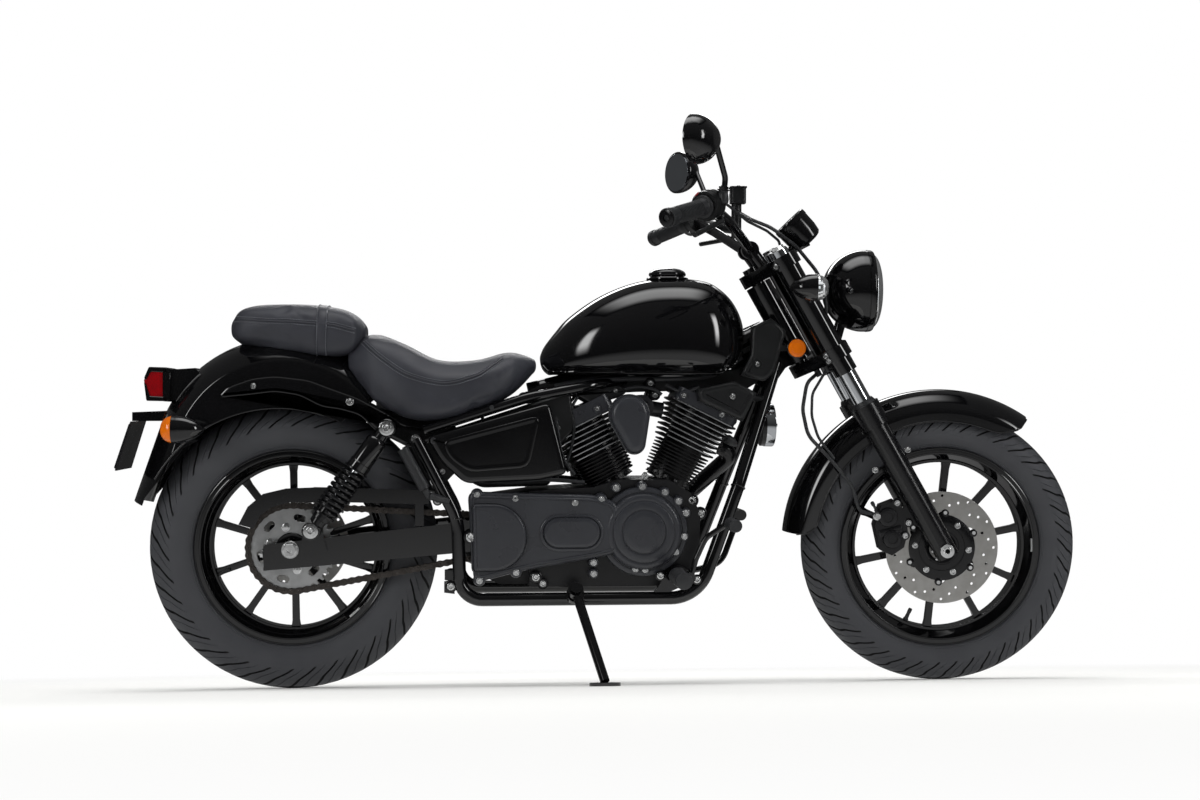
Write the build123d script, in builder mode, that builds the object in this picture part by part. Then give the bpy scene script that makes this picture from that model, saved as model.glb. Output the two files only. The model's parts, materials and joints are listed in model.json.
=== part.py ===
"""Cruiser motorcycle, parked on its side stand, as separate named pieces.

Every piece is drawn in the upright bike frame: X forward from the rear axle, Y to the left,
Z up from the ground, in millimetres. The last section turns the steering a little, leans the
machine onto its stand and moves the origin to the floor under the middle of the parked bike.
The drive chain, the stand and the gear lever are on the right-hand side (minus Y).
"""
from build123d import *
import os
from math import asin, atan2, cos, degrees, pi, radians, sin, sqrt

# ---------------------------------------------------------------- driving dimensions
wheelbase = 1414.0
rake = 29.5                 # steering axis from the vertical, degrees
lean = 8.0                  # towards the stand, degrees
steer_rest = 5.5            # bars turned towards the stand side, degrees
seat_gap = 0.3              # between pieces that sit against each other
pin_gap = 0.3               # radial, round shafts and pins

crown_radius = 70.0         # both tyres, across the tread
rear_radius = 307.5         # 130/90-15
rear_half_width = 65.0
rear_bead = 200.0
front_radius = 302.0        # 110/90-16
front_half_width = 55.0
front_bead = 210.0
rim_lip = 8.0               # flange height over the bead
rim_depth = 26.0            # bead to the inside of the barrel
rim_wall = 6.0
spoke_count = 10
spoke_root = 13.0
spoke_tip = 20.0
spoke_depth = 20.0
rear_spoke_phase = 91.0
front_spoke_phase = 84.0
hub_radius = 34.0
axle_radius = 9.0
axle_bore = 5.0

fork_half = 95.0            # fork leg to the middle plane
fork_tube_radius = 20.0
fork_cover_radius = 26.0
slider_radius = 25.5
collar_radius = 31.5
collar_height = 46.0
fork_offset = 65.0          # fork legs ahead of the steering axis
slider_top = 359.0          # heights along the fork, from axle height
lower_clamp = 476.0
upper_clamp = 702.0
clamp_thickness = 28.0
fork_top = 742.0
stem_radius = 14.0
head_radius = 29.0

disc_outer = 123.0
disc_inner = 84.0
disc_thickness = 4.5
front_disc_y = 60.0
rear_disc_outer = 110.0
rear_disc_inner = 76.0
rear_disc_y = 78.0

chain_y = 79.0
chain_pitch = 15.875
rear_teeth = 36
front_teeth = 15
link_half_height = 7.3
link_waist = 5.2
link_thickness = 2.4
roller_radius = 4.4
sprocket_thickness = 6.0
chain_running_gap = 0.8
front_sprocket_at = (446.0, 335.0)

tube_radius = 14.0
cradle_half = 134.0
cradle_floor = 201.0
backbone_radius = 24.0
tunnel_gap = 4.0
arm_inner = 92.0
arm_outer = 118.0
pivot_at = (378.0, 334.0)
pivot_radius = 11.0
shock_y = 160.0
shock_top_at = (203.0, 563.0)
shock_low_at = (47.0, 350.0)
shock_cover_radius = 24.5
spring_radius = 27.5
spring_turns = 8

crank_at = (743.0, 343.0)
crank_cover_radius = 81.0
engine_half = 116.0         # crankcase to the middle plane
gearbox_near = 62.0         # narrower there, for the chain
cylinder_tilt = 26.5
barrel_radius = 46.0
fin_depth = 150.0
fin_thickness = 3.4
head_fin_pitch = 11.1
barrel_fin_pitch = 7.6

fender_axis_at = (-19.0, 478.0)
fender_radius = 280.0
fender_half = 99.0
fender_wall = 3.0
front_fender_radius = 345.0
front_fender_half = 67.0

lamp_radius = 90.0
lamp_at = (1245.0, 864.0)
signal_radius = 29.0

stand_x = 597.0
stand_reach = 36.0          # hinge centre to the lower rail's axis
stand_foot_at = (648.0, -290.0)
stand_swing_tilt = 32.0     # hinge axis below the horizontal, degrees

# ---------------------------------------------------------------- working frames
rake_sin = sin(radians(rake))
rake_cos = cos(radians(rake))
lengthwise = Vector(1, 0, 0)
spin_direction = Vector(0, 1, 0)
rear_centre = Vector(0, 0, rear_radius)
front_centre = Vector(wheelbase, 0, front_radius)
fork_frame = Plane(origin=front_centre, x_dir=(rake_cos, 0, rake_sin), z_dir=(-rake_sin, 0, rake_cos))


def on_fork(ahead, y, height):
    """A point given along the fork: ahead of the legs, to the left, up from the axle."""
    return fork_frame.from_local_coords(Vector(ahead, y, height))


steer_axis = Axis(on_fork(-fork_offset, 0, 0), fork_frame.z_dir)


def side_plane(depth):
    """The sketch plane at Y = -depth, whose axes are the bike's X and Z."""
    return Plane.XZ.offset(depth)


# ---------------------------------------------------------------- forms added to the open part
def rod(start, end, radius, mode=Mode.ADD):
    """Adds a straight round bar between two points."""
    run = Vector(*end) - Vector(*start)
    with BuildSketch(Plane(origin=start, z_dir=run.normalized())) as section:
        Circle(radius)
    extrude(section.sketch, amount=run.length, mode=mode)


def cone(start, end, radius, end_radius):
    """Adds a straight round bar whose radius changes from one end to the other."""
    run = Vector(*end) - Vector(*start)
    with BuildSketch(Plane(origin=start, z_dir=run.normalized())) as first:
        Circle(radius)
    with BuildSketch(Plane(origin=end, z_dir=run.normalized())) as last:
        Circle(end_radius)
    loft([first.sketch, last.sketch])


def tube(points, bends, radius, mode=Mode.ADD):
    """Adds a round tube along straight runs joined by tangent arcs."""
    with BuildLine(Plane.XY) as path:
        FilletPolyline(*points, radius=bends)
    with BuildSketch(Plane(origin=path.line @ 0, z_dir=path.line % 0)) as section:
        Circle(radius)
    sweep(section.sketch, path=path.line, mode=mode)


def slab(outline, depth, thickness, mode=Mode.ADD):
    """Adds a plate with that X-Z outline, from Y = -depth out to Y = -(depth + thickness)."""
    with BuildSketch(side_plane(depth)) as section:
        Polygon(*outline, align=None)
    extrude(section.sketch, amount=thickness, mode=mode)


def disc(centre, radius, depth, thickness, mode=Mode.ADD):
    """Adds a round plate about an X-Z centre, from Y = -depth out to Y = -(depth + thickness)."""
    rod((centre[0], -depth, centre[1]), (centre[0], -depth - thickness, centre[1]), radius, mode)


def mirrored(y_sign, points):
    """The same points with Y towards one side."""
    return [(x, y_sign * y, z) for x, y, z in points]


# ---------------------------------------------------------------- wheels
def tyre_ring(centre, radius, half_width, bead):
    """Adds a solid tyre ring with a round crown and bulged walls, seated on the rim."""
    shoulder = half_width * 0.8
    shoulder_radius = radius - crown_radius + sqrt(crown_radius**2 - shoulder**2)
    seat = half_width * 0.7
    wall_radius = (shoulder_radius + bead + rim_lip) / 2
    plane = Plane(origin=centre, x_dir=(0, 1, 0), z_dir=(1, 0, 0))
    with BuildSketch(plane) as section:
        with BuildLine():
            ThreePointArc((-shoulder, shoulder_radius), (0, radius), (shoulder, shoulder_radius))
            ThreePointArc((shoulder, shoulder_radius), (half_width, wall_radius), (seat, bead + rim_lip))
            Polyline((seat, bead + rim_lip), (seat, bead), (-seat, bead), (-seat, bead + rim_lip))
            ThreePointArc((-seat, bead + rim_lip), (-half_width, wall_radius), (-shoulder, shoulder_radius))
        make_face()
    revolve(section.sketch, axis=Axis(centre, spin_direction))


def cast_wheel(centre, half_width, bead, phase):
    """Adds a cast wheel: barrel with lips, straight spokes and a hub bored for the axle."""
    seat = half_width * 0.7 + seat_gap
    lip = seat + rim_wall
    outside = bead - seat_gap
    inside = bead - rim_depth
    plane = Plane(origin=centre, x_dir=(0, 1, 0), z_dir=(1, 0, 0))
    half_profile = [
        (seat, outside), (seat, bead + rim_lip), (lip, bead + rim_lip), (lip, bead - rim_wall),
        (spoke_depth, inside + rim_wall), (spoke_depth, inside),
    ]
    with BuildSketch(plane) as barrel:
        Polygon(*half_profile, *[(-y, r) for y, r in reversed(half_profile)], align=None)
    revolve(barrel.sketch, axis=Axis(centre, spin_direction))
    face = Plane(origin=centre, x_dir=(1, 0, 0), z_dir=(0, -1, 0))
    root = hub_radius - 4
    tip = inside + 3
    with BuildSketch(face) as spokes:
        with PolarLocations(0, spoke_count, start_angle=phase):
            Polygon(
                (root, -spoke_root / 2), (tip - 16, -spoke_root / 2 - 1), (tip, -spoke_tip / 2),
                (tip, spoke_tip / 2), (tip - 16, spoke_root / 2 + 1), (root, spoke_root / 2), align=None,
            )
    extrude(spokes.sketch, amount=spoke_depth / 2, both=True)


def hub(centre, near, far, near_radius, far_radius):
    """Adds the hub's barrel and its two bosses, then bores it for the axle."""
    x, z = centre.X, centre.Z
    rod((x, -near, z), (x, far, z), hub_radius)
    rod((x, -near, z), (x, -near + 14, z), near_radius)
    rod((x, far, z), (x, far - 14, z), far_radius)
    rod((x, -near - 1, z), (x, far + 1, z), axle_radius + pin_gap, Mode.SUBTRACT)


def brake_disc(centre, outer, inner, depth):
    """Adds a drilled ring on its spider, with the middle plane at Y = -depth."""
    face = Plane(origin=centre, x_dir=(1, 0, 0), z_dir=(0, -1, 0)).offset(depth - disc_thickness / 2)
    with BuildSketch(face) as rotor:
        Circle(outer)
        with PolarLocations(outer - 9, 12):
            Circle(3, mode=Mode.SUBTRACT)
        with PolarLocations(outer - 19, 12, start_angle=10):
            Circle(3, mode=Mode.SUBTRACT)
        with PolarLocations(outer - 29, 12, start_angle=20):
            Circle(3, mode=Mode.SUBTRACT)
        with PolarLocations(inner - 14, 6, start_angle=30):
            Circle(9, mode=Mode.SUBTRACT)
        Circle(axle_radius + 12, mode=Mode.SUBTRACT)
    extrude(rotor.sketch, amount=disc_thickness)


with BuildPart() as rear_tyre:
    tyre_ring(rear_centre, rear_radius, rear_half_width, rear_bead)
rear_tyre.part.label = "rear_tyre"

with BuildPart() as front_tyre:
    tyre_ring(front_centre, front_radius, front_half_width, front_bead)
front_tyre.part.label = "front_tyre"

sprocket_inner_face = chain_y - sprocket_thickness / 2
rear_disc_inner_face = rear_disc_y - disc_thickness / 2
with BuildPart() as rear_rim:
    cast_wheel(rear_centre, rear_half_width, rear_bead, rear_spoke_phase)
    hub(rear_centre, sprocket_inner_face - seat_gap, rear_disc_inner_face - seat_gap, 58, 40)
rear_rim.part.label = "rear_rim"

front_disc_inner_face = front_disc_y - disc_thickness / 2
front_hub_far = 58.0
with BuildPart() as front_rim:
    cast_wheel(front_centre, front_half_width, front_bead, front_spoke_phase)
    hub(front_centre, front_disc_inner_face - seat_gap, front_hub_far, 44, 40)
front_rim.part.label = "front_rim"

with BuildPart() as front_disc:
    brake_disc(front_centre, disc_outer, disc_inner, front_disc_y)
front_disc.part.label = "front_disc"

with BuildPart() as rear_disc:
    brake_disc(rear_centre, rear_disc_outer, rear_disc_inner, -rear_disc_y)
rear_disc.part.label = "rear_disc"

rear_pitch_radius = chain_pitch / (2 * sin(pi / rear_teeth))
front_pitch_radius = chain_pitch / (2 * sin(pi / front_teeth))


def toothed(teeth, pitch_radius):
    """Draws a chain wheel's outline in the open sketch: a root circle and its pointed teeth."""
    root = pitch_radius - roller_radius - 0.6
    tip = pitch_radius + 3.6
    Circle(root)
    with PolarLocations(0, teeth, start_angle=180 / teeth):
        Polygon((root - 2, -5.2), (tip, -1.6), (tip, 1.6), (root - 2, 5.2), align=None)


sprocket_face = Plane(origin=rear_centre, x_dir=(1, 0, 0), z_dir=(0, -1, 0)).offset(sprocket_inner_face)
with BuildPart() as rear_sprocket:
    with BuildSketch(sprocket_face):
        toothed(rear_teeth, rear_pitch_radius)
        Circle(axle_radius + 12, mode=Mode.SUBTRACT)
        with PolarLocations(66, 6, start_angle=15):
            SlotOverall(26, 15, rotation=90, mode=Mode.SUBTRACT)
    extrude(amount=sprocket_thickness)
rear_sprocket.part.label = "rear_sprocket"

# ---------------------------------------------------------------- chain and its front wheel
# the loop of pitch points: round the rear wheel, along the lower run, round the front, back on top
span = Vector(front_sprocket_at[0], front_sprocket_at[1] - rear_radius)
slope = atan2(span.Y, span.X)
half_wrap = asin((rear_pitch_radius - front_pitch_radius) / span.length)
upper_angle = slope + pi / 2 - half_wrap
lower_angle = slope - pi / 2 + half_wrap


def chain_track(offset):
    """The chain's line, offset outwards: X-Z points one pitch apart, flagged where the run is straight."""
    rear_arc = 2 * pi - (upper_angle - lower_angle)
    front_arc = upper_angle - lower_angle
    run = sqrt(span.length**2 - (rear_pitch_radius - front_pitch_radius) ** 2)
    parts = ((rear_arc, rear_pitch_radius), (run, None), (front_arc, front_pitch_radius), (run, None))
    rear_hub = (0.0, rear_radius)
    points = []
    for number, (extent, radius) in enumerate(parts):
        length = extent * radius if radius else extent
        steps = round(length / chain_pitch) * 2
        for step in range(steps):
            share = step / steps
            waist = offset * (link_waist / link_half_height if step % 2 else 1)
            if number == 0:
                angle = upper_angle + extent * share
                centre, reach = rear_hub, radius + waist
            elif number == 2:
                angle = lower_angle + extent * share
                centre, reach = front_sprocket_at, radius + waist
            else:
                angle = lower_angle if number == 1 else upper_angle
                along = share if number == 1 else 1 - share
                centre = (front_sprocket_at[0] * along, rear_radius + span.Y * along)
                reach = rear_pitch_radius + (front_pitch_radius - rear_pitch_radius) * along + waist
            points.append((centre[0] + reach * cos(angle), centre[1] + reach * sin(angle)))
    return points


chain_plate_depths = (
    chain_y - sprocket_thickness / 2 - chain_running_gap - link_thickness,
    chain_y + sprocket_thickness / 2 + chain_running_gap,
)
first_roller = 4            # pitches from each end of a straight run that stay clear of the teeth
with BuildPart() as drive_chain:
    for plate_depth in chain_plate_depths:
        with BuildSketch(side_plane(plate_depth)) as link_band:
            Polygon(*chain_track(link_half_height), align=None)
            Polygon(*chain_track(-link_half_height), align=None, mode=Mode.SUBTRACT)
        extrude(link_band.sketch, amount=link_thickness)
    for angle in (lower_angle, upper_angle):
        rear_pin = Vector(rear_pitch_radius * cos(angle), rear_radius + rear_pitch_radius * sin(angle))
        front_pin = Vector(
            front_sprocket_at[0] + front_pitch_radius * cos(angle),
            front_sprocket_at[1] + front_pitch_radius * sin(angle),
        )
        pins = int((front_pin - rear_pin).length / chain_pitch)
        for pin in range(first_roller, pins - 1, 2):
            at = rear_pin + (front_pin - rear_pin) * (pin / pins)
            roller_width = chain_plate_depths[1] - chain_plate_depths[0]
            disc((at.X, at.Y), roller_radius, chain_plate_depths[0] + 1, roller_width)
drive_chain.part.label = "drive_chain"

# ---------------------------------------------------------------- frame
head_low = on_fork(-fork_offset, 0, lower_clamp + clamp_thickness + 3)
head_high = on_fork(-fork_offset, 0, upper_clamp - 3)
backbone_route = [(1062, 0, 790), (930, 0, 724), (650, 0, 672), (506, 0, 636)]
with BuildPart() as frame_spine:
    rod(head_low, head_high, head_radius)
    tube(backbone_route, (120, 160), backbone_radius)
    gusset = [
        on_fork(-fork_offset, 0, 590), on_fork(-fork_offset - 20, 0, 510), on_fork(-fork_offset - 40, 0, 508),
        Vector(1036, 0, 640), Vector(940, 0, 700),
    ]
    slab([(corner.X, corner.Z) for corner in gusset], -9, 18)
    stem_low, stem_high = on_fork(-fork_offset, 0, lower_clamp), on_fork(-fork_offset, 0, fork_top)
    rod(stem_low, stem_high, stem_radius + pin_gap, Mode.SUBTRACT)
frame_spine.part.label = "frame_spine"

cradle_route = [
    (1047, 38, 704), (950, 112, 436), (860, cradle_half, cradle_floor), (356, cradle_half, cradle_floor),
    (350, cradle_half, 372), (262, cradle_half, 540),
]


pivot_plate = 8.0


def cradle(y_sign):
    """Adds one side of the cradle: down tube, lower rail and rear upright, with its rear lug."""
    tube(mirrored(y_sign, cradle_route), (220, 85, 48, 130), tube_radius)
    lug_depth = -y_sign * cradle_half - 5
    slab([(344, 214), (344, 244), (322, 240), (322, 217)], lug_depth, 10)
    plate_depth = arm_outer + seat_gap if y_sign < 0 else -arm_outer - seat_gap - pivot_plate
    slab([(350, 296), (350, 378), (396, 352), (396, 314)], plate_depth, pivot_plate)
    pivot_end = y_sign * (cradle_half + tube_radius)
    pivot_middle, pivot_tip = (pivot_at[0], 0, pivot_at[1]), (pivot_at[0], pivot_end, pivot_at[1])
    rod(pivot_middle, pivot_tip, pivot_radius + pin_gap, Mode.SUBTRACT)


swing_tilt = radians(stand_swing_tilt)
hinge_line = Vector(0, cos(swing_tilt), -sin(swing_tilt))
rail_at = Vector(stand_x, -cradle_half, cradle_floor)
stand_pivot = rail_at - hinge_line * stand_reach
boss_radius = 16.0
boss_half = 11.0

with BuildPart() as frame_cradle_near:
    cradle(-1)
    inner_face = boss_half + 0.6
    rod(stand_pivot + hinge_line * inner_face, stand_pivot + hinge_line * (stand_reach - tube_radius + 3), 19)
    rod(stand_pivot - hinge_line * (boss_half + 8), stand_pivot + hinge_line * (inner_face + 4), 7)
    rod(stand_pivot - hinge_line * (boss_half + 8), stand_pivot - hinge_line * (boss_half + 0.6), 12)
frame_cradle_near.part.label = "frame_cradle_near"

with BuildPart() as frame_cradle_far:
    cradle(1)
frame_cradle_far.part.label = "frame_cradle_far"

rail_radius = 11.0
strut_plate = [
    (-151, 626), (-129, 650), (-79, 668), (-32, 673), (37, 665), (84, 647), (140, 627), (208, 590),
    (234, 570), (290, 562), (344, 582), (344, 558), (286, 530), (250, 520), (178, 556), (145, 590),
    (103, 602), (65, 607), (19, 631), (-32, 639), (-88, 632),
]
strut_depth = fender_half + seat_gap
strut_thickness = 8.0
with BuildPart() as rear_subframe:
    rail_route = [(279, 122, 557), (499, 116, 627), (640, 80, 654), (722, 10, 663)]
    for y_sign in (-1, 1):
        tube(mirrored(y_sign, rail_route), (200, 120), rail_radius)
    rod((499, -118, 627), (499, -backbone_radius - seat_gap, 627), 10)
    rod((499, 118, 627), (499, backbone_radius + seat_gap, 627), 10)
    rod((330, -118, 573), (330, 118, 573), 10)
    slab(strut_plate, strut_depth, strut_thickness)
    slab(strut_plate, -strut_depth - strut_thickness, strut_thickness)
    cradle_face = cradle_half - tube_radius - seat_gap
    for y_sign in (-1, 1):
        inner = y_sign * strut_depth
        for at, radius, end in ((shock_top_at, 17, shock_y - 16), ((262, 540), 18, cradle_face)):
            rod((at[0], inner, at[1]), (at[0], y_sign * end, at[1]), radius)
    for low, high in zip(backbone_route[1:], backbone_route[2:]):
        rod(low, high, backbone_radius + seat_gap, Mode.SUBTRACT)
rear_subframe.part.label = "rear_subframe"

# ---------------------------------------------------------------- swingarm
arm_outline = [(-55, 264), (-55, 318), (60, 331), (404, 368), (404, 303), (60, 273)]
pivot_face = arm_outer + seat_gap + pivot_plate + seat_gap
shock_foot_plate = [(20, 300), (78, 306), (66, 350), (58, 364), (38, 364), (30, 350)]
with BuildPart() as swingarm:
    for depth in (arm_inner, -arm_outer):
        slab(arm_outline, depth, arm_outer - arm_inner)
    for depth in (arm_outer - 1, -arm_outer - 14):
        slab(shock_foot_plate, depth, 15)
    slab([(308, 322), (330, 324), (330, 356), (308, 354)], -arm_inner, 2 * arm_inner)
    rod((pivot_at[0], -arm_inner, pivot_at[1]), (pivot_at[0], arm_inner, pivot_at[1]), 20)
    rod((pivot_at[0], -pivot_face - 9, pivot_at[1]), (pivot_at[0], pivot_face + 9, pivot_at[1]), pivot_radius)
    for y_sign in (-1, 1):
        nut = y_sign * pivot_face
        rod((pivot_at[0], nut, pivot_at[1]), (pivot_at[0], nut + y_sign * 9, pivot_at[1]), 12.5)
    rod((0, -140, rear_radius), (0, 140, rear_radius), axle_radius + pin_gap, Mode.SUBTRACT)
swingarm.part.label = "swingarm"

near_hub_face = sprocket_inner_face + sprocket_thickness
far_hub_face = rear_disc_inner_face + disc_thickness
with BuildPart() as rear_axle:
    rod((0, -arm_outer - 12, rear_radius), (0, arm_outer + 12, rear_radius), axle_radius)
    for y_sign, face in ((-1, near_hub_face), (1, far_hub_face)):
        nut = y_sign * (arm_outer + seat_gap)
        rod((0, nut, rear_radius), (0, nut + y_sign * 9, rear_radius), 16)
        collar = y_sign * (arm_inner - seat_gap)
        rod((0, collar, rear_radius), (0, y_sign * (face + 0.6), rear_radius), 15)
    rod((0, -160, rear_radius), (0, 160, rear_radius), axle_bore, Mode.SUBTRACT)
rear_axle.part.label = "rear_axle"

guard_outline = [
    (-107, 361), (-88, 398), (-56, 425), (-9, 436), (46, 438), (290, 432), (290, 402), (46, 408),
    (-2, 407), (-38, 397), (-62, 380), (-76, 352),
]
guard_depth = arm_outer - 4.3
with BuildPart() as chain_guard:
    slab(guard_outline, guard_depth, 3)
    roof_depth = chain_plate_depths[0]
    slab([(46, 434), (280, 429), (280, 432), (46, 437)], roof_depth, guard_depth + 1 - roof_depth)
    for x in (60, 270):
        base = 331 + (x - 60) * 0.1076
        low = base + seat_gap + 2
        slab([(x - 9, low), (x + 9, low), (x + 9, 412), (x - 9, 412)], guard_depth, 3)
chain_guard.part.label = "chain_guard"

# ---------------------------------------------------------------- shock absorbers
shock_top = Vector(shock_top_at[0], 0, shock_top_at[1])
shock_low = Vector(shock_low_at[0], 0, shock_low_at[1])
shock_run = shock_top - shock_low


def on_shock(share, y_sign):
    """A point on the damper's axis, as a share of the way up from its lower eye."""
    at = shock_low + shock_run * share
    return Vector(at.X, y_sign * shock_y, at.Z)


damper_radius = 9.0
spring_core = 18.5
spring_low, spring_high = 0.17, 0.595
with BuildPart() as shocks:
    for y_sign in (-1, 1):
        rod(on_shock(0.06, y_sign), on_shock(0.94, y_sign), damper_radius)
        rod(on_shock(0.06, y_sign), on_shock(0.3, y_sign), 17)
        rod(on_shock(0.6, y_sign), on_shock(0.9, y_sign), shock_cover_radius)
        for eye, inner in ((shock_top, shock_y - 15.7), (shock_low, arm_outer + 14 + seat_gap)):
            start = y_sign * inner
            rod((eye.X, start, eye.Z), (eye.X, y_sign * (shock_y + 15), eye.Z), 13)
            rod((eye.X, y_sign * (shock_y - 13), eye.Z), (eye.X, y_sign * (shock_y + 13), eye.Z), 19)
        low, high = on_shock(spring_low, y_sign), on_shock(spring_high, y_sign)
        direction = (high - low).normalized()
        turn = (high - low).length / spring_turns
        flank = Plane(origin=low, x_dir=(0, 1, 0), z_dir=direction.cross(Vector(0, 1, 0)))
        ridge = [(damper_radius - 1, 0), (spring_core, 0)]
        for number in range(spring_turns):
            ridge += [
                (spring_core + 3, turn * (number + 0.18)), (spring_radius, turn * (number + 0.36)),
                (spring_radius, turn * (number + 0.64)), (spring_core + 3, turn * (number + 0.82)),
            ]
        ridge += [(spring_core, turn * spring_turns), (damper_radius - 1, turn * spring_turns)]
        with BuildSketch(flank) as winding:
            Polygon(*[(x, -z) for x, z in ridge], align=None)
        revolve(winding.sketch, axis=Axis(low, direction))
shocks.part.label = "shocks"

# ---------------------------------------------------------------- fenders
fender_axis = Vector(fender_axis_at[0], 0, fender_axis_at[1])


def fender_sector(centre, crown, half, shoulder, skirt, start, end, mode=Mode.ADD):
    """Adds a solid arched sector: a round crown over straight walls, swept between two angles."""
    turn = radians(start)
    plane = Plane(origin=centre, x_dir=(0, 1, 0), z_dir=(sin(turn), 0, -cos(turn)))
    with BuildSketch(plane) as section:
        with BuildLine():
            ThreePointArc((-half, shoulder), (0, crown), (half, shoulder))
            Polyline((half, shoulder), (half, skirt), (-half, skirt), (-half, shoulder))
        make_face()
    revolve(section.sketch, axis=Axis(centre, (0, -1, 0)), revolution_arc=end - start, mode=mode)


fender_shoulder = 225.0
fender_start, fender_end = 38.0, 161.0
with BuildPart() as rear_fender:
    fender_sector(fender_axis, fender_radius, fender_half, fender_shoulder, 120, fender_start, fender_end)
    fender_sector(
        fender_axis, fender_radius - fender_wall, fender_half - fender_wall, fender_shoulder - 2, 110,
        fender_start - 1, fender_end + 1, Mode.SUBTRACT,
    )
    disc((-26, 311), 293, -fender_half - 1, 2 * fender_half + 2, Mode.SUBTRACT)
    front_edge = [(126, 500), (176, 574), (230, 660), (300, 600), (200, 480)]
    slab(front_edge, -fender_half - 1, 2 * fender_half + 2, Mode.SUBTRACT)
rear_fender.part.label = "rear_fender"

flap_length = 170.0
flap_turn = radians(fender_end)
flap_start = fender_axis + Vector(-sin(flap_turn), 0, cos(flap_turn)) * seat_gap
with BuildPart() as mudflap:
    flap_plane = Plane(origin=flap_start, x_dir=(0, 1, 0), z_dir=(sin(flap_turn), 0, -cos(flap_turn)))
    with BuildSketch(flap_plane) as flap_section:
        with BuildLine():
            ThreePointArc((-fender_half, fender_shoulder), (0, fender_radius), (fender_half, fender_shoulder))
            Polyline(
                (fender_half, fender_shoulder), (fender_half, 150), (-fender_half, 150),
                (-fender_half, fender_shoulder),
            )
        make_face()
        inner_half, inner_shoulder = fender_half - 4, fender_shoulder - 3
        with BuildLine():
            ThreePointArc((-inner_half, inner_shoulder), (0, fender_radius - 4), (inner_half, inner_shoulder))
            Polyline(
                (inner_half, inner_shoulder), (inner_half, 140), (-inner_half, 140),
                (-inner_half, inner_shoulder),
            )
        make_face(mode=Mode.SUBTRACT)
    extrude(flap_section.sketch, amount=-flap_length)
    flap_edge = [
        (-100, 560), (-170, 545), (-192, 537), (-224, 520), (-265, 464), (-307, 415), (-330, 350), (-100, 350),
    ]
    slab(flap_edge, -fender_half - 1, 2 * fender_half + 2, Mode.SUBTRACT)
mudflap.part.label = "mudflap"

front_fender_start, front_fender_end = 56.0, 175.0
with BuildPart() as front_fender:
    fender_sector(
        front_centre, front_fender_radius, front_fender_half, 302, 276, front_fender_start, front_fender_end
    )
    fender_sector(
        front_centre, front_fender_radius - fender_wall, front_fender_half - fender_wall, 300, 270,
        front_fender_start - 1, front_fender_end + 1, Mode.SUBTRACT,
    )
    mount_at = on_fork(0, 0, 286)
    for y_sign in (-1, 1):
        foot = y_sign * (fork_half - slider_radius - seat_gap)
        rod((mount_at.X, y_sign * (front_fender_half - 1), mount_at.Z), (mount_at.X, foot, mount_at.Z), 9)
front_fender.part.label = "front_fender"

# ---------------------------------------------------------------- seats, tank and side covers
def sections_loft(stations, roundness):
    """Adds a body lofted through rounded sections, each (x, bottom, top, half width)."""
    profiles = []
    for x, bottom, top, half in stations:
        plane = Plane(origin=(x, 0, (bottom + top) / 2), x_dir=(0, 1, 0), z_dir=(1, 0, 0))
        with BuildSketch(plane) as section:
            RectangleRounded(2 * half, top - bottom, roundness * min(2 * half, top - bottom))
        profiles.append(section.sketch)
    loft(profiles)


def clear_of_fender():
    """Cuts away the room that the rear fender takes, with the seat's gap."""
    gap = seat_gap + 0.4
    crown, half = fender_radius + gap, fender_half + gap
    fender_sector(fender_axis, crown, half, fender_shoulder, 100, 20, 175, Mode.SUBTRACT)


tank_stations = [
    # x, bottom, top, half width
    (534, 684, 716, 26),
    (590, 676, 801, 82),
    (680, 675, 862, 124),
    (790, 674, 892, 140),
    (880, 676, 884, 138),
    (946, 690, 842, 112),
    (979, 735, 792, 50),
]
cap_at = (811.0, 0.0, 886.0)
with BuildPart() as fuel_tank:
    sections_loft(tank_stations, 0.4)
    tunnel = backbone_radius + tunnel_gap
    roof = [(x, z + tunnel) for x, _, z in backbone_route]
    slab([(1062, 600), *roof, (506, 600)], -tunnel, 2 * tunnel, Mode.SUBTRACT)
    rod(cap_at, (cap_at[0], 0, cap_at[2] + 60), 47, Mode.SUBTRACT)
fuel_tank.part.label = "fuel_tank"

with BuildPart() as fuel_cap:
    seat_z = cap_at[2] + seat_gap
    rod((cap_at[0], 0, seat_z), (cap_at[0], 0, seat_z + 10), 46)
    rod((cap_at[0], 0, seat_z), (cap_at[0], 0, seat_z + 27), 42)
fuel_cap.part.label = "fuel_cap"

with BuildPart() as rider_seat:
    sections_loft(
        [
            # x, bottom, top, half width
            (118, 668, 742, 88),
            (177, 612, 757, 128),
            (240, 577, 737, 152),
            (310, 574, 707, 160),
            (395, 600, 708, 150),
            (465, 636, 730, 118),
            (515, 685, 722, 56),
        ],
        0.3,
    )
    clear_of_fender()
    slab([(250, 520), (250, 566), (279, 574), (499, 642), (560, 656), (560, 520)], -136, 272, Mode.SUBTRACT)
    slab([(90, 500), (90, 652), (140, 632), (216, 595), (292, 565), (292, 500)], -112, 224, Mode.SUBTRACT)
    slab([(480, 600), (480, 662), (506, 662), (560, 675), (560, 600)], -26, 52, Mode.SUBTRACT)
rider_seat.part.label = "rider_seat"

with BuildPart() as pillion_seat:
    sections_loft(
        [
            # x, bottom, top, half width
            (-129, 744, 786, 60),
            (-104, 737, 815, 88),
            (-20, 723, 820, 102),
            (60, 706, 816, 108),
            (112, 712, 808, 104),
        ],
        0.3,
    )
    clear_of_fender()
pillion_seat.part.label = "pillion_seat"

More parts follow.
